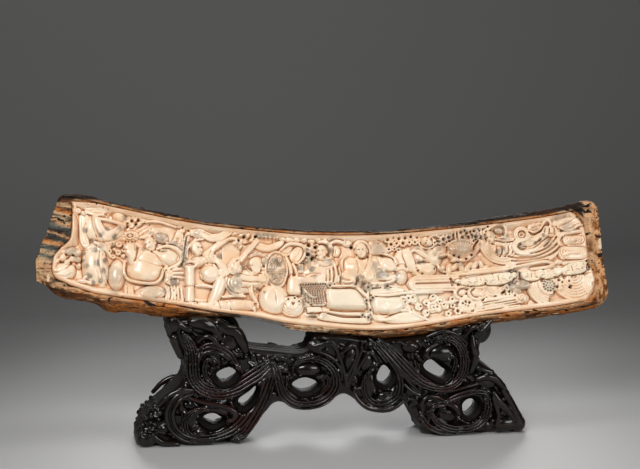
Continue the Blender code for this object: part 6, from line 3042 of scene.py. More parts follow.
    def child(self) -> None:
        """Carve the fluted robe edge, and the child with a leaf."""
        b = self.block
        b.plate(
            [(91, 15), (90, 26), (95, 35), (102, 36), (105, 26), (104, 14)], -16, -3.4, 3.0, 0.5, dome=1.4
        )
        b.score(
            [[(90, 13), (88.6, 26), (93, 36)], [(93, 17), (99, 19), (104, 18)],
             [(94, 13), (100, 14.6), (106, 13)]], 0.7, 1.3
        )
        self.all(Flutes(((105, 37, -5, 9), (107, 30, -3, 11), (110, 20, -3, 11), (113, 11, -5, 9)), 4, 0.8))
        b.rope([(92, 12, -4), (100, 14, -4), (106, 11, -5)], [2, 2.4, 2], 0.4)
        b.rope([(113, 34, -5), (118, 39, -4), (124, 38, -4), (130, 32, -5)], 1.6, 0.3)
        self.lumps((127, 11, -8, 16, 11, 8.5), (138, 26, -8, 14, 11, 8), (122, 26, -9, 8, 9, 7), blend=1.2)
        b.rope([(117, 36, -4), (124, 32, -2), (133, 26, -2), (140, 22, -3)], [2.6, 3.4, 3.0, 2], 0.5)
        self.all(Head((133, 46, -5.5), 7.2, -12, 8, 62, Hair.KNOT))
        b.rope(np.column_stack([arc((133, 45.5), (10, 7.5), 160, 400), np.full(16, -6)]), 1.2, 0.3)
        b.score(
            [[(120, 20), (127, 21), (134, 20)], [(117, 14), (119, 8), (126, 6)],
             [(118, 2), (130, 3), (144, 2)]], 1.0, 1.8
        )
        self.all(
            Leaf(((138, 34), (143, 40), (151, 40), (155, 33), (151, 25), (142, 24)), (141, 28), -4, 3, 1.5,
             5)
        )
        b.rope([(144, 18, -5), (147, 11, -4), (152, 8, -5)], [1.6, 2, 1.6], 0.4)
        b.rope([(137, 52, -6), (143, 55, -5), (148, 52, -6)], [1.6, 2, 1.6], 0.4)
        self.holes((119, 10), (124, 6), (140, 12), radius=1.1, depth=3)
        self.face.stain(
            (127, 20.5, 3, 0.8), (122, 20.5, 3, 0.8), (147, 37, 4, 0.6), (150, 24, 4.5, 0.6),
            (141, 31, 3.4, 0.4)
        )
        self.face.stain(
            (119, 22, 4, 0.45), (148, 48, 5, 0.4), (131, 36, 6, 0.3), (119, 38, 4, 0.5), (148, 10, 4, 0.4)
        )

    def clouds(self) -> None:
        """Carve the bank of long cloud ridges with curled ends."""
        b = self.block
        b.plate([(104, -5), (110, 3), (168, 4), (168, -15), (110, -15)], -20, -5.5, 2, 0.5, smooth=False)
        for reach, level in ((2.4, -3.6), (5.6, -3.0), (8.8, -3.4)):
            bend = arc((115 + 0.4 * reach, -6), (reach * 1.25, reach), 90, 270, 10)
            line = np.vstack([[(169, -6 + reach)], bend, [(166, -6 - reach)]])
            b.rope(np.column_stack([line, np.full(len(line), level)]), 1.55, 0.3, steps=1)
        for v in (-15.2,):
            b.rope([(106, v, -5), (130, v, -4), (165, v + 1, -5)], 1.5, 0.3)


@dataclass
class FlyingLady(Scene):
    """Lotus bowl and blossoms, the lady with streaming sleeves, and the waves below."""

    def carve(self) -> None:
        """Carve bowl, blossoms, leaves, lady and waves."""
        self.bowl()
        self.leaves()
        self.lady()
        self.under_strip()

    def bowl(self) -> None:
        """Carve the fluted bowl and the blossoms over it."""
        b = self.block
        b.egg((175, 35, -7), (17.6, 12, 4.8), 0, 0.8)
        for i in range(11):
            across = i - 5
            b.rope([(175 + 3.1 * across, 44.6 - 0.16 * across**2, -3.4 - 0.08 * across**2),
                     (175 + 2.5 * across, 35, -1.6 - 0.1 * across**2),
                    (175 + 1.3 * across, 25.4 + 0.1 * across**2, -5)], [1.3, 1.7, 1.0], 0.3)  # fmt: skip
        b.rope(
            [(156, 40, -6), (164, 45, -4), (175, 47.4, -3), (187, 45.6, -4), (193, 41, -5)],
            [1.2, 1.7, 1.9, 1.7, 1.2], 0.4
        )
        b.score([[(158, 36), (164, 28), (172, 23)], [(192, 38), (188, 29), (180, 23)]], 0.9, 1.6)
        places = (
            (149, 46, 4.4), (154, 49, 5.4), (161, 51, 5), (167, 54, 4), (158, 45, 3.4), (176, 57, 5),
            (184, 56, 4.6), (193, 58.6, 5),
            (200, 58.6, 4.4), (178, 50.6, 4.8), (186, 50.6, 4.6), (195, 51, 5), (202, 51.6, 4),
            (192, 46, 3.4), (143, 45, 3.6),
            (198, 46, 3), (207, 61, 3),
        )  # fmt: skip
        for number, (x, v, radius) in enumerate(places):
            self.all(Flower((x, v), radius, 5 + number % 2, -4.8, 4 if radius > 4.5 else 1, number * 31))
            self.holes((x + radius, v + 1.6), radius=1.2, depth=4)
        b.rope([(170, 46, -5), (169, 54, -4), (170, 61, -5)], 1.4, 0.3)
        b.rope([(173.4, 46, -5), (172.8, 54, -4), (174.4, 60, -5)], 1.2, 0.3)
        b.score([[(167.4, 47), (166.6, 54), (167.6, 60)], [(171.6, 46), (171, 60)]], 0.7, 1.6)
        b.rope([(193, 36, -5), (197, 41, -4), (202, 47, -5)], [1.2, 2.0, 1.6], 0.4)
        b.score([[(191, 38), (196, 44), (201, 50)], [(195, 34), (199, 39), (203, 44)]], 0.8, 1.8)
        self.face.stain((176, 37, 14, 0.45), (155, 48, 5, 0.5), (162, 51, 5, 0.45), (178, 56, 5, 0.4))
        self.face.stain(
            (183, 50, 6, 0.45), (195, 51, 6, 0.6), (197, 58, 5, 0.5), (148, 44, 5, 0.4), (199, 41, 3, 0.4)
        )

    def leaves(self) -> None:
        """Carve the leaves and petals under the bowl, and the long cloud below them."""
        b = self.block
        for x, v, turn in (
            (161, 27, -35), (168, 23.6, -20), (176, 22, 0), (184, 24.6, 25), (191, 30, 50), (196, 36, 60)
        ):
            b.egg((x, v, -5.4), (6.6, 2.9, 4.4), turn, 0.3)
            rise = math.radians(turn)
            b.score(
                [[(x - 5 * math.cos(rise), v - 5 * math.sin(rise)),
                  (x + 5 * math.cos(rise), v + 5 * math.sin(rise))]], 0.5, 0.9
            )
        self.holes((166, 28.4), (181, 23.4), (188, 28), (172, 26), radius=1.3, depth=4)
        petals = (
            (152, 28, 6, 3.4, 20), (158, 11, 8, 4, 80), (150, 12, 5, 3, 60), (166, 14, 7, 3.6, 40),
            (165, 22, 5, 2.6, 10), (174, 13, 7, 3.8, 100),
            (183, 14, 7.4, 3.4, 45), (191, 15, 7.4, 3.6, 60), (199, 16, 6, 3.2, 110), (180, 9, 5, 2.6, 10),
            (205, 12, 5, 3, 30),
        )  # fmt: skip
        for x, v, long, wide, turn in petals:
            b.egg((x, v, -6), (long, wide, 5), turn, 0.4)
            rise = math.radians(turn)
            for side in (-0.45, 0, 0.45):
                ox, ov = -wide * side * math.sin(rise), wide * side * math.cos(rise)
                reach = long * (0.75 - abs(side))
                line = [(x + ox - reach * math.cos(rise), v + ov - reach * math.sin(rise))]
                line += [(x + ox + reach * math.cos(rise), v + ov + reach * math.sin(rise))]
                b.score([line], 0.45, 0.7)
        self.all(Swirl((201, 9), 4.4, -5, 1.2, 100, 2.2), Swirl((160, 4), 3.6, -5, 1.0, 0, 2.0))
        for v, level, wide in ((4.4, -4.6, 1.9), (7.4, -5, 1.7)):
            line = [
                (163, v - 1, level), (186, v + 0.6, level + 0.8), (212, v + 3, level + 1),
                (238, v + 5.6, level)
            ]
            b.rope(line, [1.2, wide, wide * 1.1, wide], 0.4)
        b.score([[(146, 24), (151, 25), (156, 27)]], 1.0, 2.0)
        self.face.stain(
            (172, 17, 5, 0.5), (150, 25, 4, 0.5), (170, 27, 5, 0.4), (190, 33, 5, 0.35), (161, 37, 5, 0.35)
        )

    def lady(self) -> None:
        """Carve the lady: bent head, looped hair, nested sleeve folds."""
        b = self.block
        self.lumps(
            (226, 36, -8, 17, 15, 6.5), (212, 30, -9, 13, 16, 4.5), (236, 24, -9, 18, 12, 5), blend=2.0
        )
        for i in range(6):
            bend = arc((228, 44), (13 + 3.1 * i, 11 + 3.3 * i), 174, 292 + 3 * i, 16)
            b.rope(np.column_stack([bend, np.full(len(bend), -2.6 - 0.42 * i)]), 1.55, 0.35, steps=1)
        self.all(Head((213, 50, -4.8), 8.4, -30, -6, 14, Hair.SHAVEN))
        b.rope([(206, 58, -5), (203.6, 51, -3.6), (205, 44, -3.6), (209, 40, -5)], [1.4, 2.6, 2.4, 1.2], 0.4)
        b.score([[(207, 57), (205.4, 51), (207.4, 44)], [(204, 56), (202, 50), (203.6, 44)]], 0.6, 1.4)
        loop = [
            (211, 59, -4), (216, 63.4, -2.6), (224, 65.4, -2.2), (231, 63.6, -2.4), (233.6, 57, -3),
            (231.6, 50, -4)
        ]
        b.rope(loop, [1.8, 2.5, 2.7, 2.6, 2.4, 1.6], 0.4)
        b.score(
            [[(212, 60.6), (217, 64.6), (225, 66.6), (232, 64.6), (235, 57)],
             [(213, 58), (218, 61.6), (225, 63), (230, 60.6), (231, 54)]], 0.6, 1.4
        )
        b.egg((224, 57.6, -5), (6, 4.2, 5), -10, 0.4)
        b.score([curl((224, 57.6), 4.4, 1.1, 30), arc((224, 58), (6, 4.4), 0, 300)], 0.6, 1.0)
        b.rope([(219, 47, -3), (229, 44.6, -3), (241, 45.6, -4)], [1.6, 2.2, 1.6], 0.4)
        b.score(
            [[(220, 45), (230, 42.6), (241, 43.6)], [(219, 49.6), (228, 47.6), (240, 48.4)],
             [(214, 41.6), (222, 38), (230, 38)]], 0.8, 1.8
        )
        b.egg((230, 33, -1.4), (3.2, 7.4, 3.2), -28, 0.3)
        b.egg((223, 31, -2), (3.0, 5.8, 3), -18, 0.3)
        b.egg((217, 34, -3), (2.6, 6, 3), -8, 0.3)
        self.all(Folds(((232, 42), (245, 42)), ((226, 26), (243, 28)), 5, -3, -4, 2.2, -0.2, 9))
        b.score(
            [[(226, 37), (226, 30), (223, 25)], [(220, 37), (219, 30)], [(234, 37), (235, 31), (230, 25)]],
            0.7, 1.6
        )
        b.rope([(206, 56, -6), (204, 48, -5), (202, 40, -5)], [2, 2.4, 2], 0.5)
        self.all(Swirl((239, 13.6), 4, -4, 1.0, 60, 2.0), Swirl((233, 14.6), 3, -4, 1.0, 60, 1.8))
        self.face.stain(
            (224, 60, 8, 0.5), (215, 57, 5, 0.35), (221, 31, 3.4, 0.9), (227, 34.6, 4, 0.75),
            (232, 50, 5, 0.35)
        )
        self.face.stain((205, 50, 4, 0.5), (210, 30, 6, 0.2), (233, 46, 5, 0.5), (226, 46, 3, 0.4))

    def under_strip(self) -> None:
        """Carve curls, blossoms and long waves below the left cloud strip."""
        b = self.block
        self.lumps(
            (172, -18, -8, 8, 7, 6.4), (192, -20, -8, 12, 9, 6.6), (212, -18, -9, 12, 9, 6.6), blend=1.5
        )
        b.rope(
            [(182, -12, -4), (171, -11.6, -3), (164, -17, -2.6), (165, -23.6, -2.8), (174, -26, -4)],
            [1.4, 2.2, 2.5, 2.3, 1.4], 0.4
        )
        b.score(
            [[(180, -14), (171.6, -14.4), (167.6, -18), (168.6, -22), (174, -23.6)],
             [(184, -14.6), (178, -20), (172, -24)]], 0.8, 1.9
        )
        b.rope(
            [(186, -13, -3.6), (181, -18, -2.8), (183, -24, -2.8), (190, -27.4, -3), (198, -26, -3.6)],
            [1.6, 2.3, 2.5, 2.2, 1.4], 0.4
        )
        b.score([[(188, -14.6), (184, -18), (185.6, -22.6), (190, -24.6), (196, -23)]], 0.8, 1.9)
        b.rope([(188, -12, -4), (196, -13.4, -3.4), (202, -12, -4), (210, -15, -5)], [1.6, 2, 1.8, 1.4], 0.4)
        for centre, radii, start, end in (
            ((196, -15), (4.4, 7.4, 10.4), 255, 372),
            ((212, -12), (5, 8, 11, 14), 200, 322),
            ((232, -12), (6, 9, 12), 190, 262),
        ):
            self.all(WaveComb(centre, radii, start, end, -3.2, 0.35, 1.45))
        self.all(
            Flower((178, -33), 11.5, 8, -3.6, 4, 10), Flower((219, -26), 4.8, 5, -4.2, 1),
            Flower((227, -22), 4.6, 5, -4.2, 1)
        )
        self.all(
            Flower((236, -20), 4.6, 6, -4.2, 1), Flower((160, -26), 4.6, 5, -4.6, 1),
            Flower((166, -41), 5.4, 6, -4.4, 4)
        )
        self.all(
            Swirl((195, -35), 6, -4.0, 1.5, 90, 2.8), Flower((154, -44), 4.8, 5, -4.6, 1),
            Flower((160, -34), 4, 5, -4.4, 1)
        )
        self.holes(
            (172.6, -32), (176, -29.6), (181, -31), (223, -20.6), (232, -19), (214, -25),
            radius=1.2, depth=4
        )
        for i in range(6):
            rise = 2.9 * i
            line = [
                (188 + 2.4 * i, -43 + rise, -4.6), (204, -40.4 + rise * 0.92, -3.6),
                (222, -38 + rise * 0.84, -3.6)
            ]
            b.rope(line + [(244, -36 + rise * 0.9, -4.6)], [1.0, 1.6, 1.6, 1.3], 0.35)
        for i in range(4):
            rise = 4.2 * i
            line = [(176 + 6 * i, -46 + rise), (196 + 2 * i, -42.6 + rise * 0.9), (216, -40 + rise * 0.84)]
            b.score([line + [(236, -35.4 + rise * 0.7), (250 - 3 * i, -34 + rise * 0.55)]], 0.7, 1.1)
        b.rope([(150, -30, -5), (158, -30, -4), (168, -27, -5)], [1.6, 2.2, 1.6], 0.4)
        for i in range(3):
            b.rope(
                [(186 + 3 * i, -27, -4), (191 + 2.6 * i, -34, -3.4), (187 + 3 * i, -42, -4.6)],
                [1.2, 1.6, 1.0], 0.3
            )
        b.rope([(150, -53, -5), (166, -49, -4), (182, -48, -4), (196, -45.6, -5)], [2, 2.8, 2.6, 1.8], 0.6)
        self.face.stain((203, -15, 4, 0.25), (228, -14, 4, 0.3), (187, -13, 4, 0.3), (168, -16, 3, 0.3))


@dataclass
class SleevesAndLotus(Scene):
    """The right end: streaming sleeves, a lotus leaf, cloud curls, a seed pod and combed waves."""

    def carve(self) -> None:
        """Carve sleeves, lotus, clouds and sea."""
        self.sleeves()
        self.lotus()
        self.clouds()
        self.sea()

    def sleeves(self) -> None:
        """Carve the ribbon's rosette and the long streaming folds."""
        b = self.block
        self.lumps((270, 38, -9, 28, 12, 4.5), (262, 25, -10, 26, 10, 5), blend=2.0)
        for radius, level, thick in ((7.6, -3.2, 2.9), (2.6, -4.4, 1.3)):
            b.rope(
                np.column_stack([arc((253, 52), radius, 0, 360, 22), np.full(22, level)]),
                thick, 0.2, steps=1
            )
        b.score([arc((253, 52), 7.8, -60, 250), arc((253, 52), 4.6, 0, 360)], 0.8, 1.7)
        b.prick([(253, 52)], 1.4, 4)
        b.rope([(243, 47, -5), (236, 47, -4), (228, 50, -5)], [1.6, 2, 1.6], 0.4)
        ribbon = [
            (263, 49, -4), (256, 44.8, -3), (246.6, 43, -2.2), (242.6, 37, -2), (246, 31, -2.2),
            (256, 28.8, -2.6)
        ]
        ribbon += [(268, 32, -3), (278, 38.5, -3.4), (285, 45, -4.6)]
        b.rope(ribbon, [2.2, 3.2, 3.6, 3.8, 3.8, 3.8, 3.8, 3.2, 2.0], 0.15)
        b.score(
            [[(258, 46.6), (247, 44.2), (241.6, 37), (245, 30), (256, 27.4), (269, 31), (280, 38.4)]],
            0.6, 1.2
        )
        b.score(
            [[(257, 42.6), (249, 41), (245.4, 37), (248.6, 33), (257, 31), (266, 34), (275, 40)]], 0.6, 1.2
        )
        b.egg((253, 36.8, -6), (5, 2.6, 3.4), -10, 0.3)
        b.score([arc((253, 36.8), (5.6, 3.2), 0, 360), [(249, 36), (257, 37.4)]], 0.6, 1.6)
        flows = (
            (((238, 22, -8, 4), (247, 23.4, -5, 8), (260, 25, -3, 12), (278, 30, -2.4, 14),
            (293, 40, -2.6, 14), (304, 52, -4, 9)), 6),
            (((252, 41, -4, 6), (264, 42, -3, 9), (276, 48, -2.6, 10), (288, 55, -4, 6)), 4),
            (((240, 16, -5, 6), (258, 17.6, -4, 8), (276, 20, -4, 9), (290, 26, -4, 9), (302, 36, -5, 6)), 4),
            (((262, 52, -4, 6), (272, 53, -3, 8), (284, 57, -3, 9), (300, 56, -4, 6)), 4),
        )
        for line, ridges in flows:
            self.all(Flutes(line, ridges, 1.1, 0.9, 0.15, 0.53))
        b.rope([(267, 39, -3), (273, 43.4, -3), (281, 50, -3)], [1.0, 1.9, 1.0], 0.5, take=True)
        b.score([[(234, 25), (250, 23), (268, 24.4), (284, 30), (296, 38.6), (303, 49)]], 0.9, 1.9)
        b.score([[(238, 19.4), (256, 19.8), (276, 22.4), (292, 28.4), (303, 37)]], 0.8, 1.7)
        b.score(
            [[(262, 27.6), (275, 30.6), (288, 37.6), (297, 48)], [(280, 36), (288, 43), (293, 50)]],
            0.8, 1.6
        )
        b.rope(
            [(240, 12, -5), (262, 15, -3), (280, 17.4, -2.6), (289.6, 14, -2.8), (283, 10.4, -3.6),
             (262, 8.6, -5)], [2, 2.6, 2.8, 2.8, 2.4, 2], 0.4
        )
        b.score(
            [[(244, 14.6), (262, 17.4), (280, 19.6), (289, 17)], [(262, 12), (276, 13.6), (284, 13.6)]],
            0.8, 1.5
        )
        b.rope([(290, 12, -4), (296, 17, -3.6), (302, 16, -4)], [1.6, 2.4, 1.6], 0.4)
        # the first three blots are painted shade along the groove cut into the ribbon
        self.face.stain(
            (270, 41, 3, 0.8), (275, 45, 3, 0.8), (280, 50, 2.6, 0.8), (286, 44, 5, 0.45),
            (252, 36, 5, 0.55)
        )
        self.face.stain((255, 40, 4, 0.3), (262, 44, 3, 0.3), (285, 38, 7, 0.3))

    def lotus(self) -> None:
        """Carve the ruffled lotus leaf under the top border."""
        b = self.block
        left = ((261, 57), (263, 65), (270, 71), (278, 70), (280, 64), (275, 57), (267, 54))
        right = (
            (291, 64), (301, 72), (318, 73), (329, 70), (333, 62), (325, 60), (318, 56),
            (309, 57), (300, 61)
        )
        self.all(Leaf(left, (263, 56), -2.6, 7, 1.4, 6), Leaf(right, (300, 60), -2.2, 8, 1.4, 8))
        self.all(Leaf(((293, 71), (300, 77), (312, 78), (318, 74), (306, 72)), (316, 75), -3.4, 5, 1, 3))
        b.plate([(279, 53), (281, 62), (294, 63), (304, 58), (303, 50), (290, 49)], -18, -4, 2, 0.6, dome=1)
        b.score([[(282, 54), (284, 61)], [(288, 52), (289, 61)], [(295, 51), (295, 60)]], 0.6, 1.0)
        b.rope([(280, 64, -4), (286, 70, -3), (291, 66, -3), (290, 60, -4)], [1.6, 2, 2, 1.6], 0.4)
        b.rope([(262, 57, -3), (268, 54, -1.5), (276, 58, -1.5), (281, 64, -2.5)], [1.4, 2, 2, 1.4], 0.4)
        b.rope(
            [(300, 60, -3), (309, 56, -1.5), (318, 57, -1.5), (326, 62, -2), (333, 62, -3)],
            [1.4, 2, 2, 2, 1.4], 0.4
        )
        b.score(
            [[(262, 55), (268, 52), (277, 56), (282, 62)],
             [(300, 58), (309, 53.6), (319, 54.6), (327, 59.4)]], 0.9, 1.9
        )
        b.score([[(303, 61.6), (313, 66), (322, 71)], [(266, 60), (272, 62), (278, 64)]], 0.8, 1.3)
        b.rope([(303, 52, -5), (316, 54, -4), (330, 55, -5)], [2, 3, 2], 0.8)
        b.rope(
            [(324, 74, -2), (329.6, 70.6, -4), (332.6, 66, -4), (333.4, 61, -4)],
            [1.2, 2.2, 2.2, 1.2], 0.4, take=True
        )
        # painted shade: the cut along the leaf's right edge is blotted near-black
        self.face.stain(
            (326, 73, 2.2, 1.0), (330, 70, 2.6, 1.0), (332.4, 66, 2.6, 1.0), (333.2, 62, 2.0, 1.0)
        )
        self.face.stain(
            (300, 73, 7, 0.55), (270, 59, 6, 0.4), (312, 62, 9, 0.45), (283, 46, 5, 0.3), (308, 75, 4, 0.6)
        )

    def clouds(self) -> None:
        """Carve the stacked cloud curls beside the end wall."""
        b = self.block
        upper = [(307, 40), (306, 47), (312, 51), (331, 50.6), (336, 47), (335, 40), (328, 37.6), (312, 38)]
        lower = [
            (300, 22), (298, 30), (303, 36), (318, 37.6), (333, 36), (339.4, 31), (339, 23),
            (330, 18.6), (306, 19)
        ]
        for outline, middle, rings in ((upper, (320, 44.4), 3), (lower, (321, 27.6), 5)):
            b.plate(outline, -18, -2.6, 3.0, 0.6, dome=1.6)
            edge = through([*outline, outline[0]], 5)
            for ring in range(rings):
                shrink = (1 - 0.8 * (ring + 0.9) / (rings + 1), 1 - 0.98 * (ring + 0.9) / (rings + 1))
                line = [tuple(np.array(middle) + (np.array(p) - middle) * shrink) for p in edge]
                b.score([line[ring * 3 :]], 0.75, 1.7)
        b.rope([(303, 38, -4), (299, 43, -3.4), (303, 49, -4)], [1.8, 2.6, 1.8], 0.5)
        b.score([[(305, 38), (302, 43), (305, 48)]], 0.7, 1.3)
        self.all(Swirl((318, 44), 3.4, -1.6, 1.0, 0, 1.6))
        for x, v in ((299, 16), (306, 14.6)):
            b.egg((x, v, -5), (4.6, 2.6, 4), 15, 0.4)
        self.face.stain((336, 39, 2.4, 0.6), (337, 18, 2.6, 0.7))

    def sea(self) -> None:
        """Carve the seed pod, the grey stones and the combed waves."""
        b = self.block
        for centre, radii, start, end in (
            ((316, -1), np.arange(5, 33, 3.5), 190, 354),
            ((283, -11), np.arange(13, 30, 3.4), 150, 262),
            ((341, -13), (5, 8, 11, 14), 100, 230),
        ):
            self.all(WaveComb(centre, tuple(radii), start, end, -2.8, 0.3, 1.55))
        b.egg((282, -13, -5), (11.6, 10.8, 7), 0, 0.4)
        b.rope(np.column_stack([arc((282, -13), (10.8, 10), 0, 360, 22), np.full(22, -2)]), 1.6, 0.3, steps=1)
        seeds = [(282, -13)]
        for radius, first, last, count in ((3.4, 0, 300, 6), (6.8, 15, 345, 12)):
            seeds += [tuple(p) for p in arc((282, -13), radius, first, last, count)]
        b.prick(seeds, 1.0, 2.6, low=-6)
        # painted shade: the seed pits are blotted near-black, with a lighter blot over the pod
        self.face.stain(*[(x, v, 1.7, 0.95) for x, v in seeds], (282, -13, 9, 0.35))
        self.lumps(
            (250, -11, -3.6, 10.4, 5.8, 5.5, 4), (236, -13, -4.6, 7, 5.6, 5, -10), (242, -18, -5, 6, 4, 4),
            (230, -11, -5, 4, 3, 4)
        )
        b.score(
            [arc((250, -11), (8, 4), 10, 200), arc((250, -11), (4.6, 2.2), 190, 380),
             arc((236, -13), (4.6, 3.4), 60, 250)], 0.6, 0.8
        )
        self.lumps((248, -28, -9, 10, 8, 6), blend=1.2)
        self.all(
            Swirl((247, -27), 6.4, -3.6, 1.5, 200, 2.8), Flower((239, -24), 4.8, 6, -4.4, 1),
            Swirl((259, -35), 4, -4, 1.2, 100, 2.2)
        )
        self.all(
            Flower((300, -9), 4.8, 6, -3.4, 1), Flower((309, -8), 4.6, 6, -3.4, 1),
            Swirl((296, -17), 3.6, -2.6, 1.1, 0, 2)
        )
        for i in range(3):
            lift = 2.9 * i
            b.rope(
                [(248, -43 + lift, -4), (270, -42 + lift, -3.4), (292, -40 + lift, -3.4),
                 (316, -36 + lift, -4)], [1.2, 1.7, 1.7, 1.1], 0.35
            )
        self.holes(
            (259, -8), (274, -7), (303, -3), (313, -2), (310, -15), (293, -15), (226, -19), (296, -6),
            (289, -21), radius=1.4, depth=5
        )
        self.face.stain(
            (250, -11, 9, 0.65), (236, -13, 7, 0.65), (242, -17, 5, 0.5), (248, -31, 3, 0.5),
            (224, -14, 4, 0.3)
        )


@dataclass
class CloudStrips:
    """Two pale cloud strips let in over the old crack, scored with curls."""

    form: TuskForm
    left: tuple = (
        (164, -4), (168, -1), (180, 0.3), (190, 1.2), (200, 2.4), (210, 3.6), (220, 4.9), (231, 5.3),
        (240, 5.2), (243.4, 3.6),
        (243.6, 0.8), (241, -2.4), (236, -5.8), (229, -8.5), (219, -10.2), (209, -10), (205, -9.6),
        (203, -7.6), (200, -9.8), (190, -10.5),
        (179, -10.2), (171, -8.6), (166, -6.8),
    )  # fmt: skip
    right: tuple = (
        (249.6, -2), (249.4, 5.4), (258, 6.2), (266, 5.6), (270, 7), (277, 8.1), (287, 8.6), (296, 9.6),
        (301, 9.4), (305, 11.6),
        (311, 14), (319, 15.8), (328, 16.6), (333, 15.8), (334, 11), (333, 6.4), (330, 3.4), (323, 1.4),
        (313, 0), (304, -0.2),
        (301, 2.2), (297, -0.6), (289, -3.4), (280, -4.6), (273, -3.6), (270.4, -5.2), (263, -6.6),
        (255, -5.6),
    )  # fmt: skip
    left_curls: tuple = (
        (171, -4, 4.0), (181, -4.6, 5), (192, -4.4, 5), (202, -3, 4.6), (213, -3, 6.4), (225, -1.6, 6),
        (236, 0.4, 4.6)
    )
    right_curls: tuple = (
        (257, 0.4, 5), (266, 0, 4.4), (277, 2, 6), (290, 3, 5.4), (309, 6.6, 5.4), (320, 8.4, 6.4),
        (329, 10.4, 4.4)
    )
    back: float = -11.2
    front: float = -0.9
    cell: float = 0.55
    keep: float = 0.6
    crease: float = 1.5

    def sink(self, block: Block) -> None:
        """Open the pockets and the crack that the strips lie in; the crack's dark is painted shade, laid as
        blots.

        Args:
            block: The block to carve.
        """
        for outline in (self.left, self.right):
            middle = np.mean(outline, axis=0)
            grown = [tuple(middle + (np.array(p) - middle) * (1.02, 1.1) + (0, -0.5)) for p in outline]
            block.plate(grown, self.back - 1.0, 12, 1.0, 0.4, take=True)
        crack = [(236, 7.4), (243, 7), (247, 4.6), (248, 0.4), (245.4, -4), (241, -6.6), (235, -9)]
        block.rope(
            [(x, v, -4) for x, v in crack], [0.8, 1.5, 2.2, 2.2, 1.8, 1.4, 1.0], 0.5, flat=3.2, take=True
        )
        block.rope(
            [(334, 17.6, -4), (336.4, 13, -4), (336.4, 8, -4)], [1.0, 1.8, 1.4], 0.4, flat=3.2, take=True
        )
        block.rope([(333, 4, -2), (338, 5.6, -2), (344, 5, -2)], 1.2, 0.4, flat=3.0, take=True)
        block.rope([(336, 18, -3), (339, 20.6, -2), (344, 21, -2)], 1.0, 0.4, flat=3.0, take=True)
        block.rope([(159, -1, -5), (161, -5, -5), (161, -9, -5)], 1.8, 0.5, flat=2.0, take=True)

    def stain_and_shade_blots(self) -> tuple:
        """Return the painted shade of the crack round the strips.

        Returns:
            Blots as (x, v, radius, strength).
        """
        crack = [
            (236, 7.4), (240, 7.4), (244, 7), (247, 4.6), (248.4, 1), (247, -3), (243.6, -6),
            (238, -8.6), (232, -10.4)
        ]
        corner = [
            (334, 17.6, 1.8), (336.4, 14, 2.4), (336.8, 10, 2.4), (335.6, 6, 1.8), (330, 2, 1.6),
            (322, -0.4, 1.5), (313, -2, 1.5)
        ]
        blots = [(x, v, 2.5, 1.0) for x, v in crack] + [(x, v, r, 1.0) for x, v, r in corner]
        return (*blots, (161, -5, 2.4, 0.8))

    def build(self) -> None:
        """Build both strips, each in the place of the model's own."""
        for name, outline, curls in (
            ("left", self.left, self.left_curls), ("right", self.right, self.right_curls)
        ):
            edge = np.array(outline)
            low, high = edge.min(0) - 3, edge.max(0) + 3
            spans = ((low[0], high[0]), (low[1], high[1]), (-13.5, 2.5))
            block = Block(*(np.arange(a, b, self.cell) for a, b in spans))
            block.plate(outline, self.back, self.front, 2.4, SHARP, dome=1.6)
            for number, (x, v, radius) in enumerate(curls):
                faces = 200 if number % 2 else -20
                sizes = [(radius * share, radius * share * 0.9) for share in (1.0, 0.68, 0.38)]
                rings = [arc((x, v), size, faces - 115, faces + 115) for size in sizes]
                block.score(rings, 0.75, 1.3, smooth=False)
            net = block.net({"hollow": block.occupancy(self.crease)})
            piece = mesh_object(f"pale_cloud_{name}", self.form.to_model(net.points), net.quads, net.values)
            thin(piece, self.keep)
            dress(piece, PaleIvory(), "pale_ivory", f"cloud_strip_{name}")


# ---------------------------------------------------------------- the stand


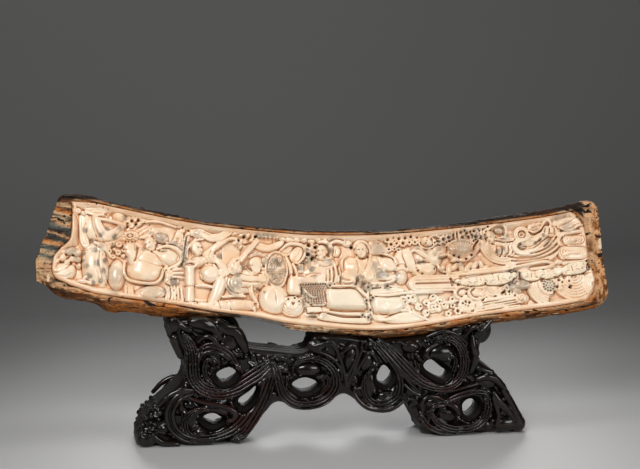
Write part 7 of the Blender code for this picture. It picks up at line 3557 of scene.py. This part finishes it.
@dataclass
class Stand:
    """The pierced hardwood stand: scrolls, knobs and beads carved on both its faces.

    Its carving axes are X along it, V up it and N out of its front, with N at 0 on the front plane.
    """

    form: TuskForm
    cell: float = 1.1
    depth: float = 88.0
    front: float = -54.9
    ground: float = -13.0
    parts: int = 3
    keep: float = 0.42
    span: tuple = (-233, 257)
    height: tuple = (-2, 164)
    top: float = 2.6
    crease: float = 2.4
    seed: int = 11
    ripples: int = 420
    saddle: tuple = ((-126, 142), (-109, 134), (-97, 119), (-60, 112), (-26, 109), (-17, 116), (-12, 132))
    outline: tuple = (
        (-228, 10), (-220, 32), (-204, 49), (-187, 63), (-172, 80), (-170, 97), (-178, 112), (-186, 132),
        (-187, 152), (-131, 152), (-122, 138), (-110, 134), (-98, 118), (-60, 111), (-24, 108), (-15, 130),
        (21, 130), (67, 123), (116, 125), (153, 136), (190, 141), (209, 148), (205, 128), (193, 109),
        (195, 90), (214, 76), (229, 56), (239, 33), (252, 17), (243, 0), (135, 0), (118, 14), (107, 34),
        (97, 43), (83, 34), (66, 32), (46, 42), (25, 55), (4, 44), (-25, 38), (-56, 48), (-72, 35),
        (-84, 18), (-100, 1), (-119, 4), (-128, 0), (-218, 0),
    )  # fmt: skip
    openings: tuple = (
        ((-131, 86), (-118, 92), (-110, 86), (-116, 78), (-126, 76)),
        ((-86, 67), (-94, 61), (-104, 54), (-104, 48), (-98, 45), (-89, 54)),
        ((-149, 31), (-138, 36), (-127, 29), (-138, 23)),
        ((-38, 70), (-24, 76), (-10, 69), (-18, 61), (-30, 61)),
        ((74, 88), (67, 78), (68, 70), (77, 66), (83, 76)),
        ((126, 86), (133, 93), (143, 86), (152, 78), (147, 71), (136, 76)),
        ((175, 36), (184, 42), (191, 35), (188, 26), (178, 23)),
    )
    # each band: its number of ridges, then (x, v, n, width) along it
    bands: tuple = (
        (5, ((-64, 99, -7, 13), (-79, 87, -4, 23), (-97, 76, -3, 23), (-113, 68, -2.5, 20),
         (-130, 65.5, -2.5, 18),
             (-147, 70, -2.5, 17), (-158, 81, -2.5, 17), (-161, 95, -3, 18), (-161, 110, -4, 17),
             (-164, 124, -5, 14), (-171, 138, -6, 9))),
        (2, ((-104, 84, -7, 6), (-118, 76, -7, 7), (-132, 75, -6.5, 7), (-143, 82, -6, 7), (-147, 94, -5, 7),
             (-144, 105, -4, 6), (-136, 107, -3, 4))),
        (2, ((-156, 108, -6, 5), (-151, 119, -5, 7), (-140, 124, -4, 8), (-127, 120, -3.5, 9),
         (-116, 112, -3, 9),
             (-109, 102, -3, 7), (-106, 95, -2.5, 5))),
        (2, ((-160, 66, -6, 6), (-176, 62, -4, 12), (-187, 50, -3.5, 15), (-189, 36, -3.5, 15),
         (-184, 22, -4, 14),
             (-172, 11, -4.5, 12), (-155, 6, -5, 9), (-138, 5, -5.5, 7))),
        (3, ((-142, 41, -2.5, 4), (-150, 45, -3, 6), (-160, 43, -3.5, 7), (-169, 36, -4, 9),
         (-171, 25, -4.5, 9),
             (-166, 14, -5, 9), (-154, 9, -5, 10), (-140, 9, -5, 11), (-124, 13, -4.5, 12),
             (-110, 20, -4.5, 13),
             (-98, 32, -4.5, 14), (-88, 48, -4.5, 14), (-80, 64, -4.5, 14), (-73, 80, -5, 13),
             (-65, 96, -6.5, 9))),
        (3, ((-113, 6, -6, 7), (-99, 13, -5.5, 10), (-87, 29, -5.5, 11), (-78, 45, -5, 11), (-70, 62, -5, 11),
             (-65, 78, -5.5, 10), (-61, 92, -6.5, 8))),
        (3, ((-75, 104, -8, 6), (-63, 97, -5.5, 9), (-58, 84, -4, 11), (-55, 70, -3, 12), (-50, 58, -3, 12),
             (-40, 49, -3, 12), (-27, 45.5, -3, 12), (-12, 46.5, -3, 12), (0, 51, -3, 12), (9, 60, -3, 12),
             (14, 71, -3, 12), (12, 84, -3, 11), (5, 94, -3.5, 10), (-6, 101, -4, 9), (-18, 103, -4.5, 8),
             (-30, 101, -4.5, 7), (-38, 95, -4, 5), (-40, 87, -3.5, 4))),
        (2, ((-46, 80, -7.5, 5), (-45, 67, -7, 6), (-37, 58, -7, 7), (-24, 55, -7, 7), (-9, 57, -7, 7),
             (1, 65, -6.5, 7), (5, 74, -5, 6), (1, 81, -3.5, 5), (-6, 80, -3, 4))),
        (3, ((56, 123, -7, 6), (66, 112, -5, 9), (76, 100, -4, 10), (85, 87, -3.5, 11), (91, 73, -3.5, 12),
             (91, 59, -3.5, 12), (83, 48, -3.5, 12), (71, 43, -3.5, 12), (58, 46, -4, 11), (50, 57, -4, 9),
             (48, 69, -4, 8), (52, 80, -4, 6), (60, 87, -3.5, 4))),
        (4, ((68, 122, -7.5, 8), (79, 111, -5, 12), (90, 99, -3.5, 15), (101, 87, -3, 16), (112, 76, -3, 15),
             (124, 67.5, -3, 14), (137, 63, -3, 13), (150, 62.5, -3, 13), (163, 68, -3, 13),
             (171, 80, -3, 13),
             (173, 95, -3, 13), (169, 110, -3.5, 12), (160, 120, -4, 11), (148, 124, -4.5, 9),
             (136, 122, -5, 7))),
        (2, ((112, 94, -7.5, 5), (119, 81, -7, 6), (131, 73.5, -7, 7), (144, 71.5, -7, 7), (155, 76, -6.5, 7),
             (161, 86, -6, 7), (162, 96, -4.5, 6), (157, 101, -3.5, 4))),
        (3, ((131, 34, -3.5, 5), (135, 24, -3.5, 8), (144, 15, -3.5, 10), (157, 9.5, -3.5, 10),
         (172, 8, -3.5, 10),
             (187, 11, -3.5, 11), (198, 20, -3.5, 11), (203, 32, -3.5, 11), (203, 44, -4.5, 9),
             (198, 55, -5, 6))),
        (2, ((119, 30, -5.5, 6), (124, 19, -4.5, 8), (134, 10, -4.5, 8), (149, 4.5, -4.5, 7),
         (170, 3.5, -6, 5))),
        (2, ((148, 41, -6, 5), (160, 48, -5, 8), (175, 53, -4, 9), (189, 55, -3.5, 8), (200, 53, -3, 6),
             (203, 48, -2.5, 4), (198, 44, -2.5, 4))),
    )  # fmt: skip
    # each stem: (x, v, n, radius) along it
    stems: tuple = (
        ((-153, 104, -5, 1.4), (-149, 113, -4, 1.8), (-138, 116, -3.5, 2), (-126, 112, -3.5, 2),
        (-117, 105, -4, 1.6)),
        ((-154, 128, -5, 1.8), (-149, 133, -4, 2.2), (-142, 134.5, -3, 2.6), (-135, 131, -3, 3),
        (-132, 126, -3, 3)),
        ((-183, 146, -5, 5), (-184, 154, -4, 4.5), (-177, 151, -3.5, 4), (-170, 146, -3.5, 3.2),
        (-164, 143, -3, 3)),
        ((-183, 134, -6, 5), (-180, 124, -6, 4.6), (-175, 112, -6, 4)),
        ((-160, 152, -7, 6), (-146, 150, -6, 7), (-134, 143, -7, 6), (-128, 132, -7, 4)),
        ((-130, 150, -8, 5), (-120, 142, -7, 6), (-108, 138, -7, 6.5), (-101, 126, -7, 6), (-97, 116, -7, 4)),
        ((-106, 95, -2.5, 4), (-112, 92, -3, 3), (-116, 94, -4, 2)),
        ((-166, 60, -6, 1.6), (-158, 57, -5, 2), (-146, 53, -4.5, 2.2), (-131, 50, -4, 2.4),
        (-119, 46, -3, 2.8),
         (-110, 39, -2.5, 3), (-114, 31, -3, 2.6), (-124, 30, -4, 2)),
        ((-203, 51, -5, 2.4), (-193, 61, -4.5, 2.8), (-183, 67, -4.5, 2.8), (-172, 70, -4.5, 2.4),
        (-160, 69, -6, 2)),
        ((-209, 15, -6, 3), (-198, 6, -6, 3.5), (-180, 3, -6, 3)),
        ((-3, 128, -6, 1.8), (6, 125, -4, 2.2), (12, 119, -3.5, 2.2), (17, 107, -3.5, 2.2), (21, 95, -3.5, 2),
         (24, 82, -4, 2), (26, 70, -5, 1.8)),
        ((-14, 118, -6, 2.6), (0, 121, -4, 2.2), (9, 119, -4, 2), (14, 111, -4.5, 1.8), (16, 100, -5, 1.4)),
        ((-12, 112, -6, 2), (0, 108, -5, 2), (12, 100, -5, 1.8), (19, 88, -5, 1.6), (21, 76, -6, 1.4)),
        ((21, 109, -4, 1.8), (27, 114, -3, 2.2), (33, 118, -2.5, 2.4), (38, 115, -2.5, 2.2), (39, 106, -3, 2),
         (34, 94, -3.5, 1.8), (28, 81, -4, 1.8), (25, 67, -5, 1.6)),
        ((46, 122, -6, 1.6), (44, 108, -5, 1.8), (38, 93, -5, 1.8), (32, 78, -5, 1.8), (28, 63, -6, 1.6)),
        ((38, 82, -5, 1.6), (42, 91, -4, 1.8), (48, 101, -3, 2.2), (54, 108, -2.5, 2.4), (60, 105, -2.5, 2.2),
         (64, 98, -3, 2)),
        ((36, 60, -6, 2.4), (41, 50, -5, 2.8), (51, 41, -4.5, 3), (63, 37, -4.5, 3), (77, 36, -4.5, 3),
         (88, 40, -5, 2.8), (97, 46, -6, 2)),
        ((86, 95, -5, 1.6), (96, 80, -4, 2), (107, 67, -4, 2), (118, 57, -5, 1.8)),
        ((96, 70, -6, 1.6), (103, 62, -5, 2), (112, 55, -5, 2), (120, 53, -6, 1.6)),
        ((139, 116, -4, 1.8), (130, 112, -3.5, 2.4), (124.5, 105, -3, 3), (128, 99, -3, 3),
        (134, 97, -3, 2.6)),
        ((126, 125, -6, 2), (140, 130.5, -4.5, 2.2), (153, 131, -4, 2.2), (165, 126, -4.5, 2),
        (176, 116, -5.5, 1.8)),
        ((174, 125, -5, 2), (180, 133, -4, 2.4), (187, 136, -3, 2.6), (193, 131, -3.5, 2.4),
        (200, 136, -4, 2.4),
         (207, 144, -4, 1.8)),
        ((183, 124, -5, 2.6), (184, 113, -4, 3.4), (187, 103, -4, 4.2)),
        ((192, 122, -6, 3), (188, 111, -6, 3), (186, 92, -6, 4), (182, 80, -6.5, 3)),
        ((122, 33, -5, 1.8), (120.5, 44, -4, 2.2), (127, 50, -4, 2.2), (139, 50, -4, 2.2),
        (147, 46, -5, 1.8)),
        ((140, 54, -7, 1.6), (160, 57, -6, 1.8), (178, 61, -6, 1.8), (192, 64, -7, 1.6)),
        ((129, 32, -4, 1.6), (135, 38, -3, 2.2), (147, 39, -3, 2.2)),
        ((153, 41, -6, 3), (162, 37, -5, 4), (167, 29, -4, 3.4)),
        ((116, 24, -5, 1.6), (120, 27, -4, 2), (126, 22, -5, 1.8)),
        ((189, 85, -7, 2.6), (199, 81, -6, 3), (208, 78, -6, 3)),
        ((190, 70, -6, 3), (202, 73, -5, 4), (213, 69, -4.5, 4.2), (222, 60, -5, 3.6)),
        ((221, 42, -6, 1.8), (230, 47, -5, 2.2)),
        ((211, 52, -5, 2.6), (219, 39, -3.5, 4), (229, 29, -3.5, 3.6), (236, 19, -4, 2.6)),
        ((210, 47, -5, 2.2), (214, 35, -4, 2.8), (217, 23, -4, 2.6), (215, 13, -5, 2)),
        ((224, 54, -7, 4), (233, 38, -7, 4.4), (243, 18, -7, 5)),
    )  # fmt: skip
    # each swelling: (x, v, n, rx, rv, rn, turn)
    swells: tuple = (
        (-146, 146, -10, 20, 11, 6, -12), (-116, 126, -10, 12, 11, 5, 0), (-133, 43, -8, 18, 8, 5, -12),
        (-217, 9, -9, 11, 9, 6, 0), (-196, 8, -10, 16, 7, 5, -20), (-20, 88, -9, 16, 9, 5, 0),
        (31, 102, -8, 7, 15, 5, -14), (52, 96, -9, 8, 12, 5, -20), (58, 68, -9, 9, 15, 5, 0),
        (76, 52, -9, 12, 7, 5, 0), (145, 103, -8, 17, 11, 6, 0), (106, 113, -9, 12, 8, 5, 0),
        (108, 57, -9, 10, 7, 5, -30), (140, 42, -9, 16, 8, 5, 0), (152, 26, -9, 12, 9, 5, -30),
        (196, 128, -8, 10, 14, 6, -25), (200, 66, -9, 14, 9, 5, -20), (226, 12, -7, 14, 9, 6, 0),
        (243, 12, -8, 9, 10, 7, 0), (-10, 118, -9, 11, 9, 5, 0),
    )  # fmt: skip
    # each knob: (x, v, n, radius)
    knobs: tuple = (
        (-134, 103, -2, 3.2), (-129.6, 95, -3, 3.6), (-137, 95, -4, 2.4), (-105, 95, -2, 4),
        (-132, 126, -2.5, 3.4),
        (-185, 151, -4, 6), (-163.5, 143, -2.5, 3.4), (-186, 134, -4, 3), (-170, 130, -5, 2.6),
        (-164, 133, -5, 2.2),
        (-181, 122, -6, 3.6), (-175.5, 112, -6, 3), (-183, 126, -22, 4), (-177, 113, -24, 4),
        (-186, 140, -24, 4.4),
        (-103, 124, -3, 2.4), (-96, 107, -5, 3.2), (-103, 115, -5, 2.6),
        (-106, 129, -3, 2.2), (-142, 40, -2, 3.4), (-175, 54, -3, 2.8), (-107, 5, -4, 4),
        (-211.5, 40, -38, 4),
        (-219, 33, -19, 3.6), (-217, 35, -7, 3), (-211, 38, -5, 3.4), (-221, 27, -9, 3.6),
        (-218, 20, -4, 2.8),
        (-213, 24, -4, 3), (-206.5, 28, -4, 3.4), (-201, 42, -3.5, 4.4), (-209, 15, -5, 2.8),
        (-222, 13, -4, 3.2),
        (-212, 31, -4, 2.6), (-206, 46, -14, 3.6), (-209.5, 42, -20, 3.4), (-223, 18, -6, 3),
        (-220, 30, -32, 4), (-225, 16, -22, 4),
        (-213, 38, -28, 3.4), (-204, 47, -30, 4), (-224, 21, -38, 4), (-203, 44, -6, 2.6), (-202, 34, -5, 3),
        (-201, 24, -5, 2.8), (-74, 43, -4, 3.6), (-62, 60, -5, 4), (-38, 84, -2, 3.2), (-30, 81, -3.5, 2.8),
        (-9, 78.5, -2, 3.4), (-7, 114, -3, 3.2), (-2.5, 117, -3, 2.6), (-12, 127, -4, 3.2), (-18, 121, -6, 3),
        (63.5, 99, -2.5, 2.8), (67, 85, -2.5, 5.2), (61, 59, -4, 3), (69, 60, -4, 2.6), (37.4, 64, -3, 3.4),
        (42.8, 63.6, -3.5, 3), (113, 113, -3.5, 3.2), (97, 117, -4, 2.6), (104, 48, -4, 2.5),
        (109, 47.5, -3.5, 2.5),
        (114, 48.5, -3.5, 2.5), (117.5, 52.5, -3.5, 2.7), (134, 97, -2, 3), (154, 96, -2, 3.4),
        (158, 100, -2.5, 2.8),
        (143, 88, -4, 3.6), (148, 39, -2, 3), (155.6, 29, -3, 3.2), (168, 27, -3, 2.8), (225, 8.5, -3, 5.6),
        (215.5, 6.5, -4, 4.2), (210, 17, -4, 2.8), (224, 57, -4, 3.8), (203, 133, -5, 2), (200, 126, -5, 2),
        (207, 79, -4, 3), (191.5, 85, -5, 2.6), (176, 131, -4, 2.6), (235, 20, -3, 3), (61, 120, -5, 2.6),
        (50, 121, -5, 3), (55, 117, -5, 2.4), (85, 119, -6, 3), (127, 120, -5, 2.6),
    )  # fmt: skip

    def face(self, block: Block) -> None:
        """Carve the scrolls of one face of the stand.

        Args:
            block: The block to carve.
        """
        block.plate(self.outline, -self.depth, self.ground, 7.0, SHARP)
        for x, v, n, rx, rv, rn, turn in self.swells:
            block.egg((x, v, n), (rx, rv, rn), turn, 2.5)
        random = np.random.default_rng(self.seed)
        spans = ((-222, 248), (4, 146), (0, 180))
        for x, v, turn in zip(*(random.uniform(low, high, self.ripples) for low, high in spans)):
            if outline_distance(np.array([[x]]), np.array([[v]]), self.outline)[0, 0] < -5:
                block.egg((x, v, self.ground - 1.2), (9, 4.5, 3.2 + turn / 90), turn, 1.5)
        for ridges, line in self.bands:
            rows = np.array(line)
            under = rows[:, 3] * 0.42
            block.rope(np.column_stack([rows[:, :2], rows[:, 2] - 0.8 - under * 0.5]), under * 1.1, 2.5, 0.5)
            Flutes(line, ridges, 1.2, 1.0, 0.9, 0.36).carve(block)
        for line in self.stems:
            rows = np.array(line)
            block.rope(rows[:, :3], rows[:, 3] * 1.15, 0.7)
        for x, v, n, radius in self.knobs:
            block.egg((x, v, n - radius * 0.75), (radius, radius, radius), 0, 0.5)

    def blank(self) -> Block:
        """Return the block with both faces carved, the back a mirror of the front.

        Returns:
            The block, before it is pierced and bedded.
        """
        x = np.arange(*self.span, self.cell)
        up = np.arange(*self.height, self.cell)
        half = self.depth / 2
        deep = np.concatenate([np.arange(-half, -20, 4.0), np.arange(-20, self.top, self.cell)])
        block = Block(x, up, deep)
        self.face(block)
        both = Block(x, up, np.concatenate([-self.depth - deep[::-1], deep[1:]]))
        both.value = np.concatenate([block.value[:, :, ::-1], block.value[:, :, 1:]], axis=2)
        return both

    def pierce(self, block: Block) -> None:
        """Cut the openings, wider and lower towards the back.

        Args:
            block: The block to carve.
        """
        for corners in self.openings:
            line = through(corners, 5, closed=True)
            middle = line.mean(0)
            for reach, low, blend in ((0.0, -self.depth - 5, 1.5), (5.0, -19.0, 5.0)):

                def hole(x: Array, v: Array, n: Array, line: Array = line, reach: float = reach) -> Array:
                    """Return the distance to the opening.

                    Args:
                        x: Places along X.
                        v: Places along V.
                        n: Places along N.
                        line: Outline of the opening.
                        reach: How far it is widened.

                    Returns:
                        The distances.
                    """
                    share = np.clip(-n / self.depth, 0, 1)
                    grow = 1 + 0.45 * share
                    across = middle[0] + (x - middle[0] - 9 * share) / grow
                    up = middle[1] + (v - middle[1] + 8 * share) / grow
                    return outline_distance(across, up, line) * grow - reach

                block.cut((*(line.min(0) - 12), low), (*(line.max(0) + 20), 6), hole, blend)

    def scallop(self, block: Block) -> None:
        """Gouge rows of hollows across the low saddle between the two cradles.

        Args:
            block: The block to carve.
        """
        for n in np.arange(-self.depth + 8, -12, 11.0):
            line = [(x, v + 2.5, n) for x, v in self.saddle]
            block.rope(line, 6.0, 1.0, take=True)

    def bed(self, block: Block) -> None:
        """Cut the bed that the tusk lies in, and level the feet.

        Args:
            block: The block to carve.
        """
        form = self.form

        def tusk(x: Array, v: Array, n: Array) -> Array:
            """Return the distance to the tusk.

            Args:
                x: Places along X.
                v: Places along V.
                n: Places along N.

            Returns:
                The distances.
            """
            y, z = self.front - n - form.seat[1], v - form.seat[2]
            c, s = math.cos(math.radians(form.lean)), math.sin(math.radians(form.lean))
            up, deep = y * s + z * c, y * c - z * s
            x = x + 0 * up
            station = x - form.tilt(x) * (up - form.along(form.middle, x))
            up = np.abs(up - form.along(form.middle, station))
            taper = form.taper(station)
            half = form.along(form.half, station) * taper
            lip = half * (1 - form.share)
            a, b = up / half, (deep - form.widest) / (form.bulge * taper)
            c, d = np.maximum(up - half + lip, 0) / lip, (form.widest - deep) / form.widest
            round_back = (np.hypot(a, b) - 1) * np.hypot(a, b) / np.hypot(a / half, b / (form.bulge * taper))
            rim = (np.hypot(c, d) - 1) * np.hypot(c, d) / np.maximum(np.hypot(c / lip, d / form.widest), 1e-6)
            return np.where(deep > form.widest, round_back, rim) - 0.4

        left, right = self.span
        block.cut((left, 100, -self.depth), (right, 170, 3), tusk, 0.8)
        block.cut((left, -9, -self.depth), (right, 1, 3), lambda x, v, n: v - 0.1 + 0 * (x + n), SHARP)
        block.cut((left, -9, -3), (right, 170, 3), lambda x, v, n: -0.1 - n + 0 * (x + v), SHARP)

    def build(self) -> None:
        """Build the stand as closed pieces side by side."""
        block = self.blank()
        self.pierce(block)
        self.scallop(block)
        self.bed(block)
        grids = {"hollow": block.occupancy(self.crease)}
        for number, (part, maps) in enumerate(block.slices(self.parts, grids), 1):
            net = part.net(maps)
            x, v, n = net.points.T
            inner = smooth_step(self.depth / 2 - np.abs(n + self.depth / 2), 14, 26)
            low = np.interp(x, *np.transpose(self.saddle)) - 7
            on_saddle = smooth_step(v - low, 0, 3) * (np.abs(x + 60) < 48) * smooth_step(-n, 4, 9)
            net.values["inner"] = np.maximum(inner, on_saddle)
            points = np.column_stack([x + self.form.seat[0], self.front - n, v])
            piece = mesh_object(f"stand_{number}", points, net.quads, net.values)
            thin(piece, self.keep)
            dress(piece, DarkHardwood(), "dark_hardwood", *(["stand"] if number == 1 else []))


SCENES = [PeachAndFlutist, RecliningMonk, SeatedPair, ElderAndDrum, RobedSitter, FlyingLady, SleevesAndLotus]


# ---------------------------------------------------------------- the studio


@dataclass
class Studio:
    """A plain pale floor that sweeps up behind, soft lights, and the camera."""

    azimuth: float = -9.0
    elevation: float = 8.5
    distance: float = 2.4
    lens: float = 110.66
    aim: tuple = (-0.0069, -0.0109, 0.2487)
    sensor: float = 36.0
    depth: float = 1.3
    sweep: float = 0.9
    sky: tuple = (0.95, 0.97, 1.0, 1)
    sky_strength: float = 0.1
    # each light: name, place, aim, size, power and spread
    lights: tuple = (
        ("key", (-0.9, -1.9, 1.6), (0, 0, 0.2), (1.0, 0.7), 36, 180),
        ("fill", (1.2, -2.2, 0.8), (0, 0, 0.2), (1.1, 0.9), 18, 180),
        ("top", (0.1, -0.3, 1.8), (0, 0, 0.1), (1.6, 0.4), 7, 180),
        ("pool", (0.22, 1.22, 0.62), (0.03, -0.12, 0.0), (1.0, 0.25), 1.15, 70),
        ("glow", (0.1, 0.7, 0.3), (0.3, 2.2, 0.6), (0.5, 0.3), 1.6, 180),
    )

    def floor(self) -> None:
        """Lay the paper: flat under the object, curved up behind it."""
        flat = [(-3.2, 0.0), (self.depth, 0.0)]
        bend = [
            (self.depth + self.sweep * math.sin(math.radians(a)),
            self.sweep * (1 - math.cos(math.radians(a))))
            for a in range(6, 91, 6)
        ]
        line = flat + bend + [(self.depth + self.sweep, 3.4)]
        points = np.array([(x, y, z) for y, z in line for x in (-5.0, 5.0)]) / MM
        faces = [(2 * i, 2 * i + 1, 2 * i + 3, 2 * i + 2) for i in range(len(line) - 1)]
        paper = mesh_object("studio_paper", points, faces)
        paper.data.materials.append(StudioPaper().material())

    def light(self, name: str, place: Point, aim: Point, size: Point, watts: float, spread: float) -> None:
        """Add a soft rectangular light at place that faces aim.

        Args:
            name: Name of the light.
            place: Where it stands.
            aim: Where it points.
            size: Its width and height.
            watts: Its power.
            spread: How wide it shines, in degrees.
        """
        lamp = bpy.data.lights.new(name, "AREA")
        lamp.shape = "RECTANGLE"
        lamp.size, lamp.size_y = size
        lamp.energy = watts
        lamp.spread = math.radians(spread)
        obj = bpy.data.objects.new(name, lamp)
        bpy.context.scene.collection.objects.link(obj)
        obj.location = place
        obj.rotation_euler = (Vector(aim) - Vector(place)).to_track_quat("-Z", "Y").to_euler()

    def build(self) -> None:
        """Set up floor, lights, surroundings and camera."""
        self.floor()
        for light in self.lights:
            self.light(*light)
        world = bpy.data.worlds.new("studio")
        world.use_nodes = True
        inputs = world.node_tree.nodes["Background"].inputs
        inputs["Color"].default_value = self.sky
        inputs["Strength"].default_value = self.sky_strength
        bpy.context.scene.world = world
        bpy.context.scene.view_settings.view_transform = "Standard"
        self.camera()

    def camera(self) -> None:
        """Place the camera on its line of sight."""
        a, e = math.radians(self.azimuth), math.radians(self.elevation)
        back = Vector((math.sin(a) * math.cos(e), -math.cos(a) * math.cos(e), math.sin(e)))
        data = bpy.data.cameras.new("camera")
        data.lens = self.lens
        data.sensor_width = self.sensor
        data.clip_start, data.clip_end = 0.05, 50.0
        obj = bpy.data.objects.new("camera", data)
        bpy.context.scene.collection.objects.link(obj)
        obj.location = Vector(self.aim) + back * self.distance
        obj.rotation_euler = (-back).to_track_quat("-Z", "Y").to_euler()
        bpy.context.scene.camera = obj


# ---------------------------------------------------------------- assembly


def main() -> None:
    """Build every piece in order, then the studio."""
    logging.basicConfig(level=logging.INFO, format="%(message)s")
    form = TuskForm()
    face = CarvedFace(form)
    block = face.grid()
    face.ground(block)
    for scene in SCENES:
        scene(face, block).carve()
    strips = CloudStrips(form)
    face.trim(block)
    strips.sink(block)
    # painted shade: the crack round the strips is blotted near-black
    face.stain(*strips.stain_and_shade_blots())
    face.build(block)
    Crust(form, face.field(-0.5)).build()
    Splinters(form).build()
    strips.build()
    Stand(form).build()
    Studio().build()


if __name__ == "__main__":
    main()
